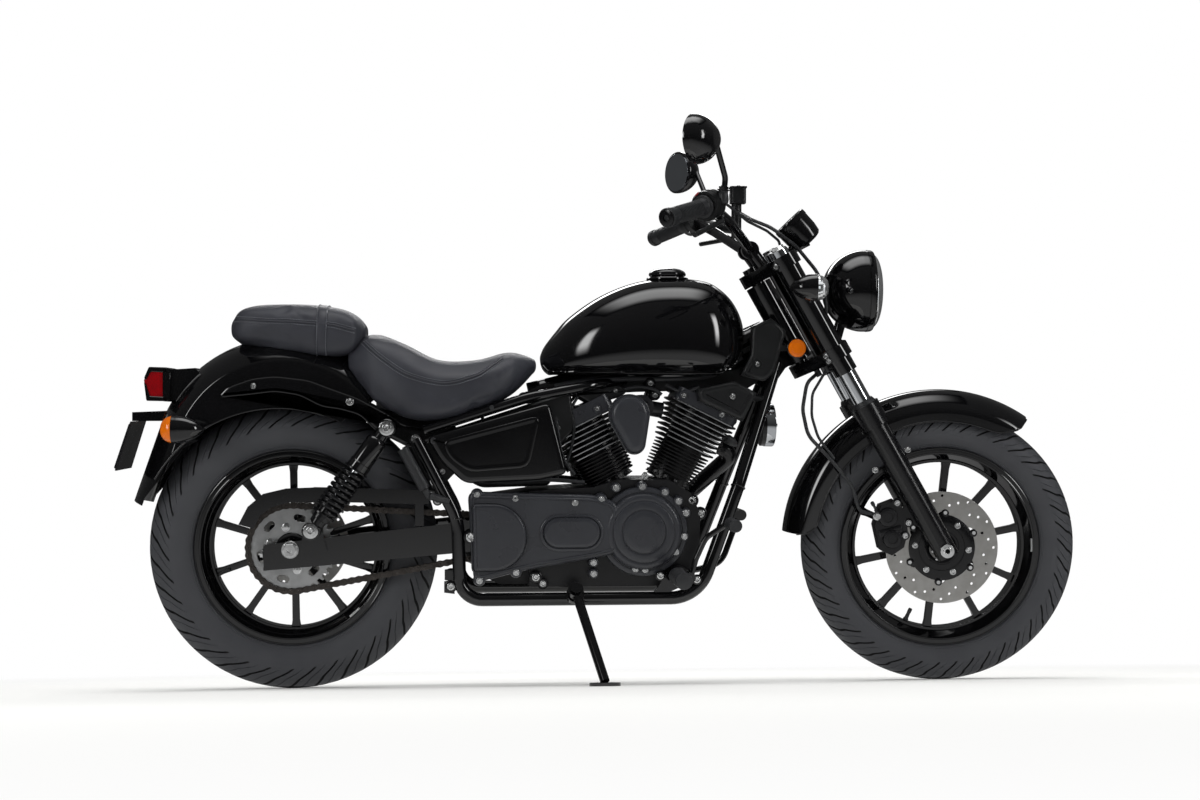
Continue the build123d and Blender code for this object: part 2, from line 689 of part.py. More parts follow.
cover_outline = [(284, 544), (544, 616), (582, 466), (523, 453), (366, 446), (314, 492)]
panel_outline = [(316, 534), (524, 592), (494, 478), (372, 470), (330, 500)]
cover_inner = 134.0
tab_share = (398 - 279) / (499 - 279)
rail_side = 122 + (116 - 122) * tab_share + rail_radius + seat_gap
with BuildPart() as side_covers:
    for y_sign in (-1, 1):
        depth = cover_inner if y_sign < 0 else -cover_inner - 14
        slab(cover_outline, depth, 14)
        slab(panel_outline, depth if y_sign > 0 else depth + 14, -4 if y_sign > 0 else 4)
        tab = rail_side if y_sign < 0 else -cover_inner - 1
        slab([(398, 560), (430, 568), (430, 608), (398, 598)], tab, cover_inner + 1 - rail_side)
side_covers.part.label = "side_covers"

# ---------------------------------------------------------------- engine
with BuildPart() as crankcase:
    main_case = [
        (502, 226), (502, 428), (640, 436), (690, 452), (800, 452), (846, 424), (868, 380), (866, 300),
        (842, 244), (800, 226),
    ]
    gearbox = [(412, 240), (412, 416), (502, 428), (502, 226), (440, 226)]
    slab(main_case, -engine_half, 2 * engine_half)
    slab(gearbox, -engine_half + 30, engine_half - 30 + gearbox_near)
    disc(front_sprocket_at, 12, gearbox_near - 1, chain_y + 14 - gearbox_near)
    disc(front_sprocket_at, front_pitch_radius - roller_radius - 0.6, sprocket_inner_face, sprocket_thickness)
    disc(crank_at, 86, -engine_half - 30, 31)
    disc((630, 330), 66, -engine_half - 18, 19)
    slab([(560, 262), (760, 250), (790, 300), (700, 420), (570, 404)], -engine_half - 14, 15)
crankcase.part.label = "crankcase"

cover_face = engine_half + seat_gap
primary_outline = [(371, 429), (643, 421), (664, 292), (489, 262), (384, 236)]
with BuildPart() as engine_covers:
    slab(primary_outline, 138, 12)
    slab([(506, 264), (506, 424), (643, 421), (664, 292)], cover_face, 24)
    disc((424, 333), 71, 148, 9)
    slab([(384, 262), (424, 262), (424, 404), (380, 404)], 148, 9)
    with BuildSketch(side_plane(148)) as slot_boss:
        with Locations((590, 342)):
            SlotOverall(132, 74)
    extrude(slot_boss.sketch, amount=9)
    disc(crank_at, 92 + seat_gap, 110, 60, Mode.SUBTRACT)
    disc(crank_at, 92, cover_face, 12)
    disc(crank_at, crank_cover_radius, cover_face, 34)
    disc(crank_at, 69, cover_face, 38)
    disc(crank_at, 45, cover_face, 41)
engine_covers.part.label = "engine_covers"

def cylinder_frame(foot_x, forward):
    """The frame of one cylinder: its axis is Z, its X lies across the fins, its Y across the bike."""
    tilt = radians(cylinder_tilt) * forward
    across, along = (cos(tilt), 0, -sin(tilt)), (sin(tilt), 0, cos(tilt))
    return Plane(origin=(foot_x, 0, crank_at[1]), x_dir=across, z_dir=along)


head_width = 158.0
fin_taper = 4.6


def finned_cylinder(frame, top_fin, head_fins, barrel_fins):
    """Adds a barrel and head: a round core ringed by fins that grow towards the top."""
    foot = 112.0
    with BuildSketch(frame.offset(foot)) as core:
        Circle(barrel_radius)
    extrude(core.sketch, amount=top_fin - foot)
    for number in range(head_fins):
        with BuildSketch(frame.offset(top_fin - number * head_fin_pitch)) as fin:
            RectangleRounded(head_width - fin_taper * number, fin_depth, 14)
        extrude(fin.sketch, amount=-fin_thickness)
    barrel_top = top_fin - head_fins * head_fin_pitch
    for number in range(barrel_fins):
        with BuildSketch(frame.offset(barrel_top - number * barrel_fin_pitch)) as fin:
            RectangleRounded(118 - 1.6 * number, fin_depth - 20, 22)
        extrude(fin.sketch, amount=-fin_thickness + 0.6)


cylinders = [
    # foot x, forward, top fin, head fins, barrel fins
    (757, 1, 282, 8, 9),
    (739, -1, 260, 7, 8),
]
with BuildPart() as engine_cylinders:
    for foot_x, forward, top_fin, head_fins, barrel_fins in cylinders:
        finned_cylinder(cylinder_frame(foot_x, forward), top_fin, head_fins, barrel_fins)
    slab(main_case, -engine_half, 2 * engine_half, Mode.SUBTRACT)
engine_cylinders.part.label = "engine_cylinders"

with BuildPart() as head_covers:
    for foot_x, forward, top_fin, _, _ in cylinders:
        frame = cylinder_frame(foot_x, forward)
        with BuildSketch(frame.offset(top_fin + seat_gap)) as lid:
            RectangleRounded(146, 150, 18)
        extrude(lid.sketch, amount=34 if forward < 0 else 28)
head_covers.part.label = "head_covers"

manifold_at = Vector(752, 0, 608)
with BuildPart() as air_cleaner:
    for foot_x, forward, top_fin, _, _ in cylinders:
        frame = cylinder_frame(foot_x, forward)
        port = frame.offset(top_fin - 3 * head_fin_pitch)
        flank = -forward * (head_width / 2 - fin_taper / 2 - 1)
        rod(port.origin + port.x_dir * flank, manifold_at, 17)
    rod(manifold_at + Vector(0, 30, 0), manifold_at - Vector(0, 30, 0), 26)
    rod(manifold_at - Vector(0, 24, 0), (722, -118, 578), 17)
    with BuildSketch(side_plane(118)) as teardrop:
        with Locations((714, 590)):
            Circle(39)
        with Locations((724, 532)):
            Circle(20)
        make_hull()
    extrude(teardrop.sketch, amount=32)
air_cleaner.part.label = "air_cleaner"

coil_outline = [(863, 645), (941, 662), (988, 637), (958, 577), (865, 620)]
neck_outline = [(986, 781), (1028, 799), (1060, 772), (1034, 683), (1013, 663), (961, 676), (984, 720)]
with BuildPart() as frame_covers:
    for y_sign in (-1, 1):
        slab(coil_outline, 86 if y_sign < 0 else -130, 44)
        rod((968, y_sign * 100, 628), (1018, y_sign * 60, 625), 7)
        low, high = mirrored(y_sign, cradle_route)[1::-1]
        rod(low, high, tube_radius + seat_gap, Mode.SUBTRACT)
    for y_sign in (-1, 1):
        slab(neck_outline, 62 if y_sign < 0 else -84, 22)
        rod((996, y_sign * 64, 757), (996, y_sign * (backbone_radius + seat_gap), 757), 7)
        slab([(1040, 728), (1088, 730), (1088, 740), (1042, 742)], 66 if y_sign < 0 else -70, 4)
frame_covers.part.label = "frame_covers"

with BuildPart() as horn:
    rod((1017, 0, 567), (1046, 0, 567), 46)
    rod((1036, 0, 606), (1036, 0, 640 - seat_gap), 6)
horn.part.label = "horn"

# ---------------------------------------------------------------- exhaust, on the far side
pipe_radius = 18.0
muffler_y = 190.0
muffler_radius = 40.0
with BuildPart() as exhaust:
    front_header = [(932, 24, 519), (962, 26, 504), (915, 92, 452), (850, 174, 380), (796, muffler_y, 310)]
    tube([*front_header, (736, muffler_y, 290)], (22, 60, 70, 60), pipe_radius)
    tube([(612, 75.3, 512), (612, 132, 512), (628, 178, 450), (640, muffler_y, 320)], (36, 60), pipe_radius)
    cone((735, muffler_y, 291), (690, muffler_y, 284), pipe_radius + 3, muffler_radius)
    rod((690, muffler_y, 284), (390, muffler_y, 284), muffler_radius)
    cone((390, muffler_y, 284), (362, muffler_y, 284), muffler_radius, 26)
    rod((600, 134, 204), (600, 172, 256), 7)
    rod((450, 134, 204), (450, 172, 256), 7)
    rod((340, 134, cradle_floor), (900, 134, cradle_floor), tube_radius + seat_gap, Mode.SUBTRACT)
exhaust.part.label = "exhaust"

# ---------------------------------------------------------------- foot controls
peg_at = (810.0, 252.0)
with BuildPart() as footpegs:
    for y_sign in (-1, 1):
        rod((peg_at[0], y_sign * 172.3, peg_at[1]), (peg_at[0], y_sign * 292, peg_at[1]), 17)
        rod((236, y_sign * 164, 520), (282, y_sign * 164, 436), 12)
        rod((282, y_sign * 164, 436), (292, y_sign * 160, 418), 7)
        rod((290, y_sign * 164, 422), (330, y_sign * 142, 410), 8)
        low, high = mirrored(y_sign, cradle_route)[4:6]
        rod(low, high, tube_radius + seat_gap, Mode.SUBTRACT)
footpegs.part.label = "footpegs"

rail_top = cradle_floor + tube_radius + seat_gap
peg_plate = [(766, rail_top), (798, rail_top), (848, 238), (850, 260), (798, 266)]
with BuildPart() as foot_controls:
    for y_sign in (-1, 1):
        slab(peg_plate, 130 if y_sign < 0 else -150, 20)
        rod((peg_at[0], y_sign * 148, peg_at[1]), (peg_at[0], y_sign * 172, peg_at[1]), 11)
        rod((840, y_sign * 149, 247), (840, y_sign * 170, 247), 11)
    tube([(842, -160, 250), (852, -162, 286), (872, -164, 330), (920, -168, 362)], (20, 40), 6)
    rod((920, -164, 362), (920, -268, 362), 8)
    rod((920, -196, 362), (920, -266, 362), 13)
    tube([(842, 160, 248), (892, 172, 230), (965, 214, 244), (1008, 232, 352)], (50, 50), 7)
    rod((1008, 196, 356), (1008, 270, 356), 13)
foot_controls.part.label = "foot_controls"

# ---------------------------------------------------------------- tail
with BuildPart() as tail_bracket:
    slab([(-264, 622), (-264, 686), (-205, 690), (-180, 660), (-200, 618)], -52, 104)
    slab([(-342, 577), (-342, 596), (-240, 600), (-240, 577)], -22, 44)
    clear_of_fender()
tail_bracket.part.label = "tail_bracket"

with BuildPart() as tail_lens:
    slab([(-264.3, 622), (-264.3, 686), (-300, 688), (-312, 664), (-304, 622)], -56, 112)
tail_lens.part.label = "tail_lens"

with BuildPart() as number_plate:
    slab([(-331, 576.7), (-334, 576.7), (-366, 474), (-363, 473)], -90, 180)
number_plate.part.label = "number_plate"


def signal_shell(tip, rim, radius):
    """Adds a bullet-shaped lamp body from its pointed end to its rim."""
    axis = Vector(*rim) - Vector(*tip)
    across = Vector(0, 1, 0)
    plane = Plane(origin=tip, x_dir=across, z_dir=axis.normalized().cross(across))
    length = axis.length
    with BuildSketch(plane) as half:
        with BuildLine():
            ThreePointArc((0, 0), (radius * 0.78, -length * 0.45), (radius, -length))
            Polyline((radius, -length), (0, -length), (0, 0))
        make_face()
    revolve(half.sketch, axis=Axis(tip, axis))


rear_signal_y = 185.0
with BuildPart() as rear_signals:
    for y_sign in (-1, 1):
        y = y_sign * rear_signal_y
        signal_shell((-166, y, 561), (-230, y, 561), signal_radius)
        rod((-206, y_sign * (fender_half + seat_gap), 561), (-206, y_sign * (rear_signal_y - 16), 561), 8)
rear_signals.part.label = "rear_signals"

with BuildPart() as amber_lenses:
    for y_sign in (-1, 1):
        y = y_sign * rear_signal_y
        signal_shell((-256, y, 561), (-230 - seat_gap, y, 561), signal_radius)
        disc((1086, 735), 20, 70 + seat_gap if y_sign < 0 else -78 - seat_gap, 8)
amber_lenses.part.label = "amber_lenses"

# ---------------------------------------------------------------- fork
def fork_rod(ahead, y, low, high, radius, mode=Mode.ADD):
    """Adds a round bar along the fork's direction, between two heights."""
    rod(on_fork(ahead, y, low), on_fork(ahead, y, high), radius, mode)


stanchion_foot = 200.0
with BuildPart() as fork_clamps:
    for height in (lower_clamp, upper_clamp):
        with BuildSketch(fork_frame.offset(height)):
            with Locations((0, fork_half), (0, -fork_half)):
                Circle(33)
            with Locations((-fork_offset, 0)):
                Circle(31)
            make_hull()
        extrude(amount=clamp_thickness)
    fork_rod(-fork_offset, 0, lower_clamp, upper_clamp, stem_radius)
    fork_rod(-fork_offset, 0, upper_clamp, upper_clamp + clamp_thickness + 9, 17)
    for y in (-fork_half, fork_half):
        fork_rod(0, y, lower_clamp + clamp_thickness - 1, upper_clamp + 1, fork_cover_radius)
        fork_rod(0, y, lower_clamp - 34, lower_clamp + 1, fork_cover_radius)
        fork_rod(0, y, 0, fork_top + 1, fork_tube_radius + pin_gap, Mode.SUBTRACT)
fork_clamps.part.label = "fork_clamps"


def clear_of_clamp(height):
    """Cuts away the room that one of the fork's two clamps takes, with the seat's gap."""
    with BuildSketch(fork_frame.offset(height - seat_gap)) as room:
        Rectangle(4 * fork_offset, 3 * fork_half)
    extrude(room.sketch, amount=clamp_thickness + 2 * seat_gap, mode=Mode.SUBTRACT)


with BuildPart() as fork_stanchions:
    for y in (-fork_half, fork_half):
        fork_rod(0, y, stanchion_foot, fork_top, fork_tube_radius)
        fork_rod(0, y, fork_top, fork_top + 7, fork_tube_radius - 6)
fork_stanchions.part.label = "fork_stanchions"

with BuildPart() as fork_sliders:
    for y in (-fork_half, fork_half):
        fork_rod(0, y, -16, slider_top, slider_radius)
        fork_rod(0, y, slider_top - collar_height, slider_top, collar_radius)
        fork_rod(0, y, stanchion_foot - 2, slider_top + 1, fork_tube_radius + pin_gap, Mode.SUBTRACT)
        inner, outer = (wheelbase, y * 0.7, front_radius), (wheelbase, y * 1.4, front_radius)
        rod(inner, outer, axle_radius + pin_gap, Mode.SUBTRACT)
fork_sliders.part.label = "fork_sliders"

slider_inner = fork_half - slider_radius
slider_outer = fork_half + slider_radius
with BuildPart() as front_axle:
    end = slider_outer + 9
    rod((wheelbase, -end, front_radius), (wheelbase, end, front_radius), axle_radius)
    for y_sign, face in ((-1, front_disc_inner_face + disc_thickness), (1, front_hub_far)):
        nut = y_sign * (slider_outer + seat_gap)
        rod((wheelbase, nut, front_radius), (wheelbase, nut + y_sign * 7, front_radius), 15)
        collar = y_sign * (slider_inner - 0.6)
        rod((wheelbase, collar, front_radius), (wheelbase, y_sign * (face + 0.6), front_radius), 14)
    rod((wheelbase, -160, front_radius), (wheelbase, 160, front_radius), axle_bore, Mode.SUBTRACT)
front_axle.part.label = "front_axle"

caliper_outline = [
    (1262, 352), (1275, 396), (1306, 408), (1330, 380), (1334, 338), (1326, 306), (1300, 288), (1274, 300),
]
disc_clearance = 2.6
with BuildPart() as brake_caliper:
    slab(caliper_outline, 40, 54)
    slot = front_disc_y - disc_thickness / 2 - disc_clearance
    disc((wheelbase, front_radius), disc_outer + 4, slot, disc_thickness + 2 * disc_clearance, Mode.SUBTRACT)
    slab([(1310, 372), (1330, 400), (1384, 388), (1372, 344)], 80, 14)
    fork_rod(0, -fork_half, -20, slider_top, slider_radius + seat_gap, Mode.SUBTRACT)
brake_caliper.part.label = "brake_caliper"

# ---------------------------------------------------------------- lamps on the fork
lamp = Vector(lamp_at[0], 0, lamp_at[1])
lamp_back, lamp_rim, lamp_front = -90.0, 18.0, 41.0
with BuildPart() as headlamp_shell:
    with BuildSketch(Plane.XZ) as bowl:
        with BuildLine():
            ThreePointArc(
                (lamp.X + lamp_back, lamp.Z), (lamp.X - 58, lamp.Z + 63), (lamp.X - 4, lamp.Z + lamp_radius)
            )
            Polyline(
                (lamp.X - 4, lamp.Z + lamp_radius), (lamp.X + lamp_rim, lamp.Z + lamp_radius - 5),
                (lamp.X + lamp_rim, lamp.Z), (lamp.X + lamp_back, lamp.Z),
            )
        make_face()
    revolve(bowl.sketch, axis=Axis(lamp, lengthwise))
    rod((1200, 0, 806), on_fork(16, 0, lower_clamp + clamp_thickness - 8), 12)
    clear_of_clamp(lower_clamp)
headlamp_shell.part.label = "headlamp_shell"

gauge_centre = Vector(1103, 0, 994)
gauge_normal = Vector(-sin(radians(44)), 0, cos(radians(44)))
with BuildPart() as instrument:
    rod(gauge_centre - gauge_normal * 32, gauge_centre + gauge_normal * 33, 40)
    rod(on_fork(22, 0, upper_clamp + clamp_thickness - 6), gauge_centre - gauge_normal * 28, 9)
    clear_of_clamp(upper_clamp)
instrument.part.label = "instrument"

signal_y = 165.0
with BuildPart() as front_signals:
    for y_sign in (-1, 1):
        y = y_sign * signal_y
        signal_shell((1064, y, 868), (1122, y, 868), signal_radius)
        root = fork_half + fork_cover_radius - 2
        rod((1104, y_sign * root, 868), (1104, y_sign * (signal_y - 14), 868), 8)
        fork_rod(0, y_sign * fork_half, lower_clamp, upper_clamp, fork_cover_radius + seat_gap, Mode.SUBTRACT)
front_signals.part.label = "front_signals"

with BuildPart() as front_lenses:
    with BuildSketch(Plane.XZ) as dome:
        start = lamp.X + lamp_rim + seat_gap
        with BuildLine():
            rim, crown = (start, lamp.Z + lamp_radius - 8), (lamp.X + lamp_front, lamp.Z + 8)
            ThreePointArc(rim, (lamp.X + 33, lamp.Z + 48), crown)
            Polyline(crown, (lamp.X + lamp_front, lamp.Z), (start, lamp.Z), rim)
        make_face()
    revolve(dome.sketch, axis=Axis(lamp, lengthwise))
    for y_sign in (-1, 1):
        y = y_sign * signal_y
        signal_shell((1150, y, 868), (1122 + seat_gap, y, 868), signal_radius)
front_lenses.part.label = "front_lenses"

# ---------------------------------------------------------------- handlebar and what it carries
bar_radius = 11.0
bar_end = Vector(797, 410, 1000)
grip_inner = Vector(874, 300, 1029)
grip_line = (bar_end - grip_inner).normalized()
bar_route = [tuple(bar_end), tuple(grip_inner - grip_line * 24), (932, 214, 1004), (990, 56, 952)]
bar_line = mirrored(-1, bar_route) + bar_route[::-1]
bar_bends = (60, 50, 50, 50, 50, 60)
with BuildPart() as handlebar:
    tube(bar_line, bar_bends, bar_radius)
    for y in (-46, 46):
        rod(on_fork(-42, y, upper_clamp + clamp_thickness - 6), (991, y, 952), 15)
        rod((991, y - 14, 952), (991, y + 14, 952), 19)
    clear_of_clamp(upper_clamp)
handlebar.part.label = "handlebar"

grip_radius = 17.5
with BuildPart() as grips:
    for y_sign in (-1, 1):
        inner, outer = mirrored(y_sign, [tuple(grip_inner - grip_line * 2), tuple(bar_end + grip_line * 6)])
        rod(inner, outer, grip_radius)
        cap = mirrored(y_sign, [tuple(bar_end - grip_line * 6), tuple(bar_end + grip_line * 8)])
        rod(cap[0], cap[1], grip_radius + 2.5)
        bore = [tuple(grip_inner - grip_line * 4), tuple(bar_end + grip_line * seat_gap)]
        start, end = mirrored(y_sign, bore)
        rod(start, end, bar_radius + pin_gap, Mode.SUBTRACT)
grips.part.label = "grips"

control_radius = 31.0
master_radius = 12.0
lever_sets = [
    # side, lever from its pivot to its ball end, pivot boss
    (-1, [(905, 262, 1012), (912, 300, 1000), (850, 420, 966)], (912, 262, 1010)),
    (1, [(985, 262, 1006), (978, 300, 994), (909, 400, 985)], (985, 262, 1014)),
]
with BuildPart() as bar_controls:
    for y_sign, lever, boss in lever_sets:
        housing = [tuple(grip_inner - grip_line * 36), tuple(grip_inner - grip_line * 2.6)]
        inner, outer = mirrored(y_sign, housing)
        rod(inner, outer, control_radius)
        tube(mirrored(y_sign, lever), (14,), 5.5)
        start, end = mirrored(y_sign, [boss, (892, 272, 1026)])
        rod(start, end, 12)
    rod((985, 262, 996), (985, 262, 1080), master_radius)
    with BuildSketch(Plane.XY.offset(1074)) as reservoir:
        with Locations((988, 262)):
            RectangleRounded(36, 54, 7)
    extrude(reservoir.sketch, amount=36)
    tube(bar_line, bar_bends, bar_radius + pin_gap, Mode.SUBTRACT)
bar_controls.part.label = "bar_controls"

mirror_at = Vector(850, 385, 1157)
mirror_turn = radians(24)
with BuildPart() as mirrors:
    for y_sign in (-1, 1):
        facing = Vector(-cos(mirror_turn), -y_sign * sin(mirror_turn), 0)
        centre = Vector(mirror_at.X, y_sign * mirror_at.Y, mirror_at.Z)
        shells = []
        for back, width, height in ((0, 66, 50), (14, 64, 48), (34, 48, 36), (48, 22, 16)):
            plane = Plane(origin=centre - facing * back, x_dir=(facing.Y, -facing.X, 0), z_dir=facing)
            with BuildSketch(plane) as oval:
                Ellipse(width, height)
            shells.append(oval.sketch)
        loft(shells)
        stem = mirrored(y_sign, [(914, 292, 1034), (918, 300, 1088), (893, 352, 1160), (876, 372, 1158)])
        tube(stem, (24, 12), 6)
        housing = [tuple(grip_inner - grip_line * 50), tuple(grip_inner + grip_line * 20)]
        inner, outer = mirrored(y_sign, housing)
        rod(inner, outer, control_radius + seat_gap, Mode.SUBTRACT)
mirrors.part.label = "mirrors"

with BuildPart() as mirror_glass:
    for y_sign in (-1, 1):
        facing = Vector(-cos(mirror_turn), -y_sign * sin(mirror_turn), 0)
        centre = Vector(mirror_at.X, y_sign * mirror_at.Y, mirror_at.Z)
        plane = Plane(origin=centre + facing * seat_gap, x_dir=(facing.Y, -facing.X, 0), z_dir=facing)
        with BuildSketch(plane) as oval:
            Ellipse(61, 45)
        extrude(oval.sketch, amount=2)
mirror_glass.part.label = "mirror_glass"

hose_radius = 4.0
hose_route = [
    tuple(on_fork(-50, -60, lower_clamp - 8)), (1112, -92, 664), (1102, -99, 606), (1114, -100, 550),
    (1166, -100, 496), (1212, -96, 440), (1228, -88, 386), (1267.3, -82, 374.3),
]
sensor_route = [
    tuple(on_fork(-30, -80, lower_clamp - 8)), (1124, -90, 640), (1122, -98, 592), (1136, -101, 546),
    (1172, -101, 499),
]
clamp_top = lower_clamp + clamp_thickness + seat_gap
bar_hose_route = [
    (985, 262 - master_radius - 3 * seat_gap, 1052), (990, 170, 1044), (1004, 60, 1024), (1040, -26, 1002),
    (1092, -47, 960), (1140, -49, 902), (1158, -50, 840), (1156, -56, 775),
    tuple(on_fork(-8, -58, clamp_top + 2)),
]
upper_top = upper_clamp + clamp_thickness + seat_gap
switch_cable_route = [
    (893.4, -272.4, 1057), (934, -222, 1034), (976, -158, 1008), (1024, -84, 992), (1054, -48, 972),
    tuple(on_fork(9, -44, upper_top + 3)),
]
with BuildPart() as front_hoses:
    tube(hose_route, (30, 60, 60, 80, 60, 20), hose_radius)
    tube(sensor_route, (40, 60, 60), hose_radius - 1)
    for ahead, y in ((-50, -60), (-30, -80)):
        fork_rod(ahead, y, lower_clamp - 16, lower_clamp - seat_gap, 6.5)
    tube(bar_hose_route, (120, 80, 60, 80, 80, 80, 60), hose_radius)
    fork_rod(-8, -58, clamp_top, clamp_top + 10, 6.5)
    tube(switch_cable_route, (60, 80, 60, 14), hose_radius - 1)
    fork_rod(9, -44, upper_top, upper_top + 10, 5.5)
front_hoses.part.label = "front_hoses"

# ---------------------------------------------------------------- side stand
# park: the turned steering, the lean, the pitch that puts both tyres on the floor
def tyre_floor(centre, spin, radius):
    """The height of the lowest point of a tyre whose crown is part of a torus."""
    ring = radius - crown_radius
    return centre.Z - ring * sqrt(1 - spin.Z**2) - crown_radius


pivot_point = steer_axis.position
steered_front = (front_centre - pivot_point).rotate(steer_axis, -steer_rest) + pivot_point
steered_spin = Vector(0, 1, 0).rotate(Axis((0, 0, 0), steer_axis.direction), -steer_rest)
pitch = 0.0
for _ in range(4):
    lean_and_pitch = Location((0, 0, 0), (0, pitch, 0)) * Location((0, 0, 0), (lean, 0, 0))
    turned = [
        (lean_and_pitch * Location(tuple(centre))).position for centre in (rear_centre, steered_front)
    ]
    spins = [
        (lean_and_pitch * Location(tuple(spin))).position for spin in (Vector(0, 1, 0), steered_spin)
    ]
    rear_floor = tyre_floor(turned[0], spins[0], rear_radius)
    front_floor = tyre_floor(turned[1], spins[1], front_radius)
    pitch += degrees(atan2(front_floor - rear_floor, turned[1].X - turned[0].X))
settled = Location((0, 0, -rear_floor)) * lean_and_pitch
floor_plane = Plane(settled.inverse())
floor_up = floor_plane.z_dir

foot_over = Vector(stand_foot_at[0], stand_foot_at[1], 0)
floor_drop = (floor_plane.origin - foot_over).dot(floor_up) / floor_up.Z
foot_point = foot_over + Vector(0, 0, floor_drop)
with BuildPart() as side_stand:
    rod(stand_pivot - hinge_line * boss_half, stand_pivot + hinge_line * boss_half, boss_radius)
    rod(stand_pivot, foot_point + floor_up * 9, 10)
    with BuildSketch(Plane(origin=foot_point, x_dir=(1, 0, 0), z_dir=floor_up)) as pad:
        SlotOverall(64, 42)
    extrude(pad.sketch, amount=7)
    rod(stand_pivot - hinge_line * 60, stand_pivot + hinge_line * 60, 7 + pin_gap, Mode.SUBTRACT)
side_stand.part.label = "side_stand"

# ---------------------------------------------------------------- bodies, parking and files
bodies = {
    "chassis": [
        frame_spine, frame_cradle_near, frame_cradle_far, rear_subframe, swingarm, rear_axle, chain_guard,
        drive_chain, shocks, rear_fender, mudflap, fuel_tank, fuel_cap, rider_seat, pillion_seat, side_covers,
        crankcase, engine_covers, engine_cylinders, head_covers, air_cleaner, frame_covers, horn, exhaust,
        footpegs, foot_controls, tail_bracket, tail_lens, number_plate, rear_signals, amber_lenses,
    ],
    "steering": [
        fork_clamps, fork_stanchions, fork_sliders, front_axle, brake_caliper, front_fender, headlamp_shell,
        instrument, front_signals, front_lenses, handlebar, grips, bar_controls, mirrors, mirror_glass,
        front_hoses,
    ],
    "front_wheel": [front_tyre, front_rim, front_disc],
    "rear_wheel": [rear_tyre, rear_rim, rear_disc, rear_sprocket],
    "stand": [side_stand],
}
turned_with_bars = ("steering", "front_wheel")
parked = {}
for body, members in bodies.items():
    for piece in members:
        label = piece.part.label
        posed = piece.part.rotate(steer_axis, -steer_rest) if body in turned_with_bars else piece.part
        parked[label] = posed.moved(settled)
        parked[label].label = label

box = Compound(children=[Compound(shape.solids()) for shape in parked.values()]).bounding_box()
to_origin = Location((-(box.min.X + box.max.X) / 2, -(box.min.Y + box.max.Y) / 2, -box.min.Z))
os.makedirs("parts", exist_ok=True)
for label, shape in parked.items():
    placed = shape.moved(to_origin)
    placed.label = label
    export_step(placed, f"parts/{label}.step")
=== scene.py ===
"""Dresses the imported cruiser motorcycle: finishes for its solids, and the pieces that are modelled here.

Drawing is done in millimetres on the upright machine: X forwards from the rear axle, Y towards the side
away from the stand, Z up from the ground. WorkingFrames carries those points onto the parked machine.
"""

from __future__ import annotations

import json
import logging
import math
from collections.abc import Sequence
from dataclasses import dataclass, field
from enum import Enum
from typing import Protocol

import bpy
from mathutils import Matrix, Vector
from mathutils.bvhtree import BVHTree

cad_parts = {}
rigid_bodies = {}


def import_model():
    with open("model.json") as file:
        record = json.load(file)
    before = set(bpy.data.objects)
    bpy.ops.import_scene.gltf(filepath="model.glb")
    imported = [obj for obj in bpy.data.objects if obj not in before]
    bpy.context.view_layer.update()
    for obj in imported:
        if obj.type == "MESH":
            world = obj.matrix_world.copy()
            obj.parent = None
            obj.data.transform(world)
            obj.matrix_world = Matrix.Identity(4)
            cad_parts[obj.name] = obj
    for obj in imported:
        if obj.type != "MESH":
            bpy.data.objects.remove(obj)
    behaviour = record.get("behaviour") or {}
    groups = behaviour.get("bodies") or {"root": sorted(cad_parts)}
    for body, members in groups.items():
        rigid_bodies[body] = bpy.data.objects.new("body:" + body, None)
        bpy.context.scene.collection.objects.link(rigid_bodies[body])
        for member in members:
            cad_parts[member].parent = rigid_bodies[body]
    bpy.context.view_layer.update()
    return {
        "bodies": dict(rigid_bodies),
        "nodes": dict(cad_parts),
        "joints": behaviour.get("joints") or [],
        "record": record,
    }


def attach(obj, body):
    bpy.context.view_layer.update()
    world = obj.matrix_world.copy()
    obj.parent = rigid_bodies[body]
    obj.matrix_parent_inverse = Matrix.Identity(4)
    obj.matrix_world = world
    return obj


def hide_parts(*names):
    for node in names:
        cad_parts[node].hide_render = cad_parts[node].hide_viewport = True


log = logging.getLogger("cruiser")

Flat = tuple[float, float]
Point = tuple[float, float, float]

RAKE = math.radians(29.5)
STEER_REST = math.radians(-5.5)
REAR_RADIUS = 307.5
FRONT_RADIUS = 302.0
WHEELBASE = 1414.0
FORK_HALF = 95.0
LOWER_CLAMP = 476.0
UPPER_CLAMP = 702.0
CLAMP_DEPTH = 28.0
REAR_AXLE: Point = (0.0, 0.0, REAR_RADIUS)
FRONT_AXLE: Point = (WHEELBASE, 0.0, FRONT_RADIUS)
REAR_BEAD, FRONT_BEAD = 200.0, 210.0
REAR_HALF_WIDTH, FRONT_HALF_WIDTH = 65.0, 55.0
MM_PER_M = 1000.0
WHITE = (1.0, 1.0, 1.0, 1.0)
LEFT = Vector((0.0, 1.0, 0.0))
NEAR = -LEFT
AHEAD = Vector((1.0, 0.0, 0.0))
UP = Vector((0.0, 0.0, 1.0))


class Body(Enum):
    """The bodies that carry the pieces made here, by their names in the frame."""

    CHASSIS = "chassis"
    STEERING = "steering"
    FRONT_WHEEL = "front_wheel"
    REAR_WHEEL = "rear_wheel"


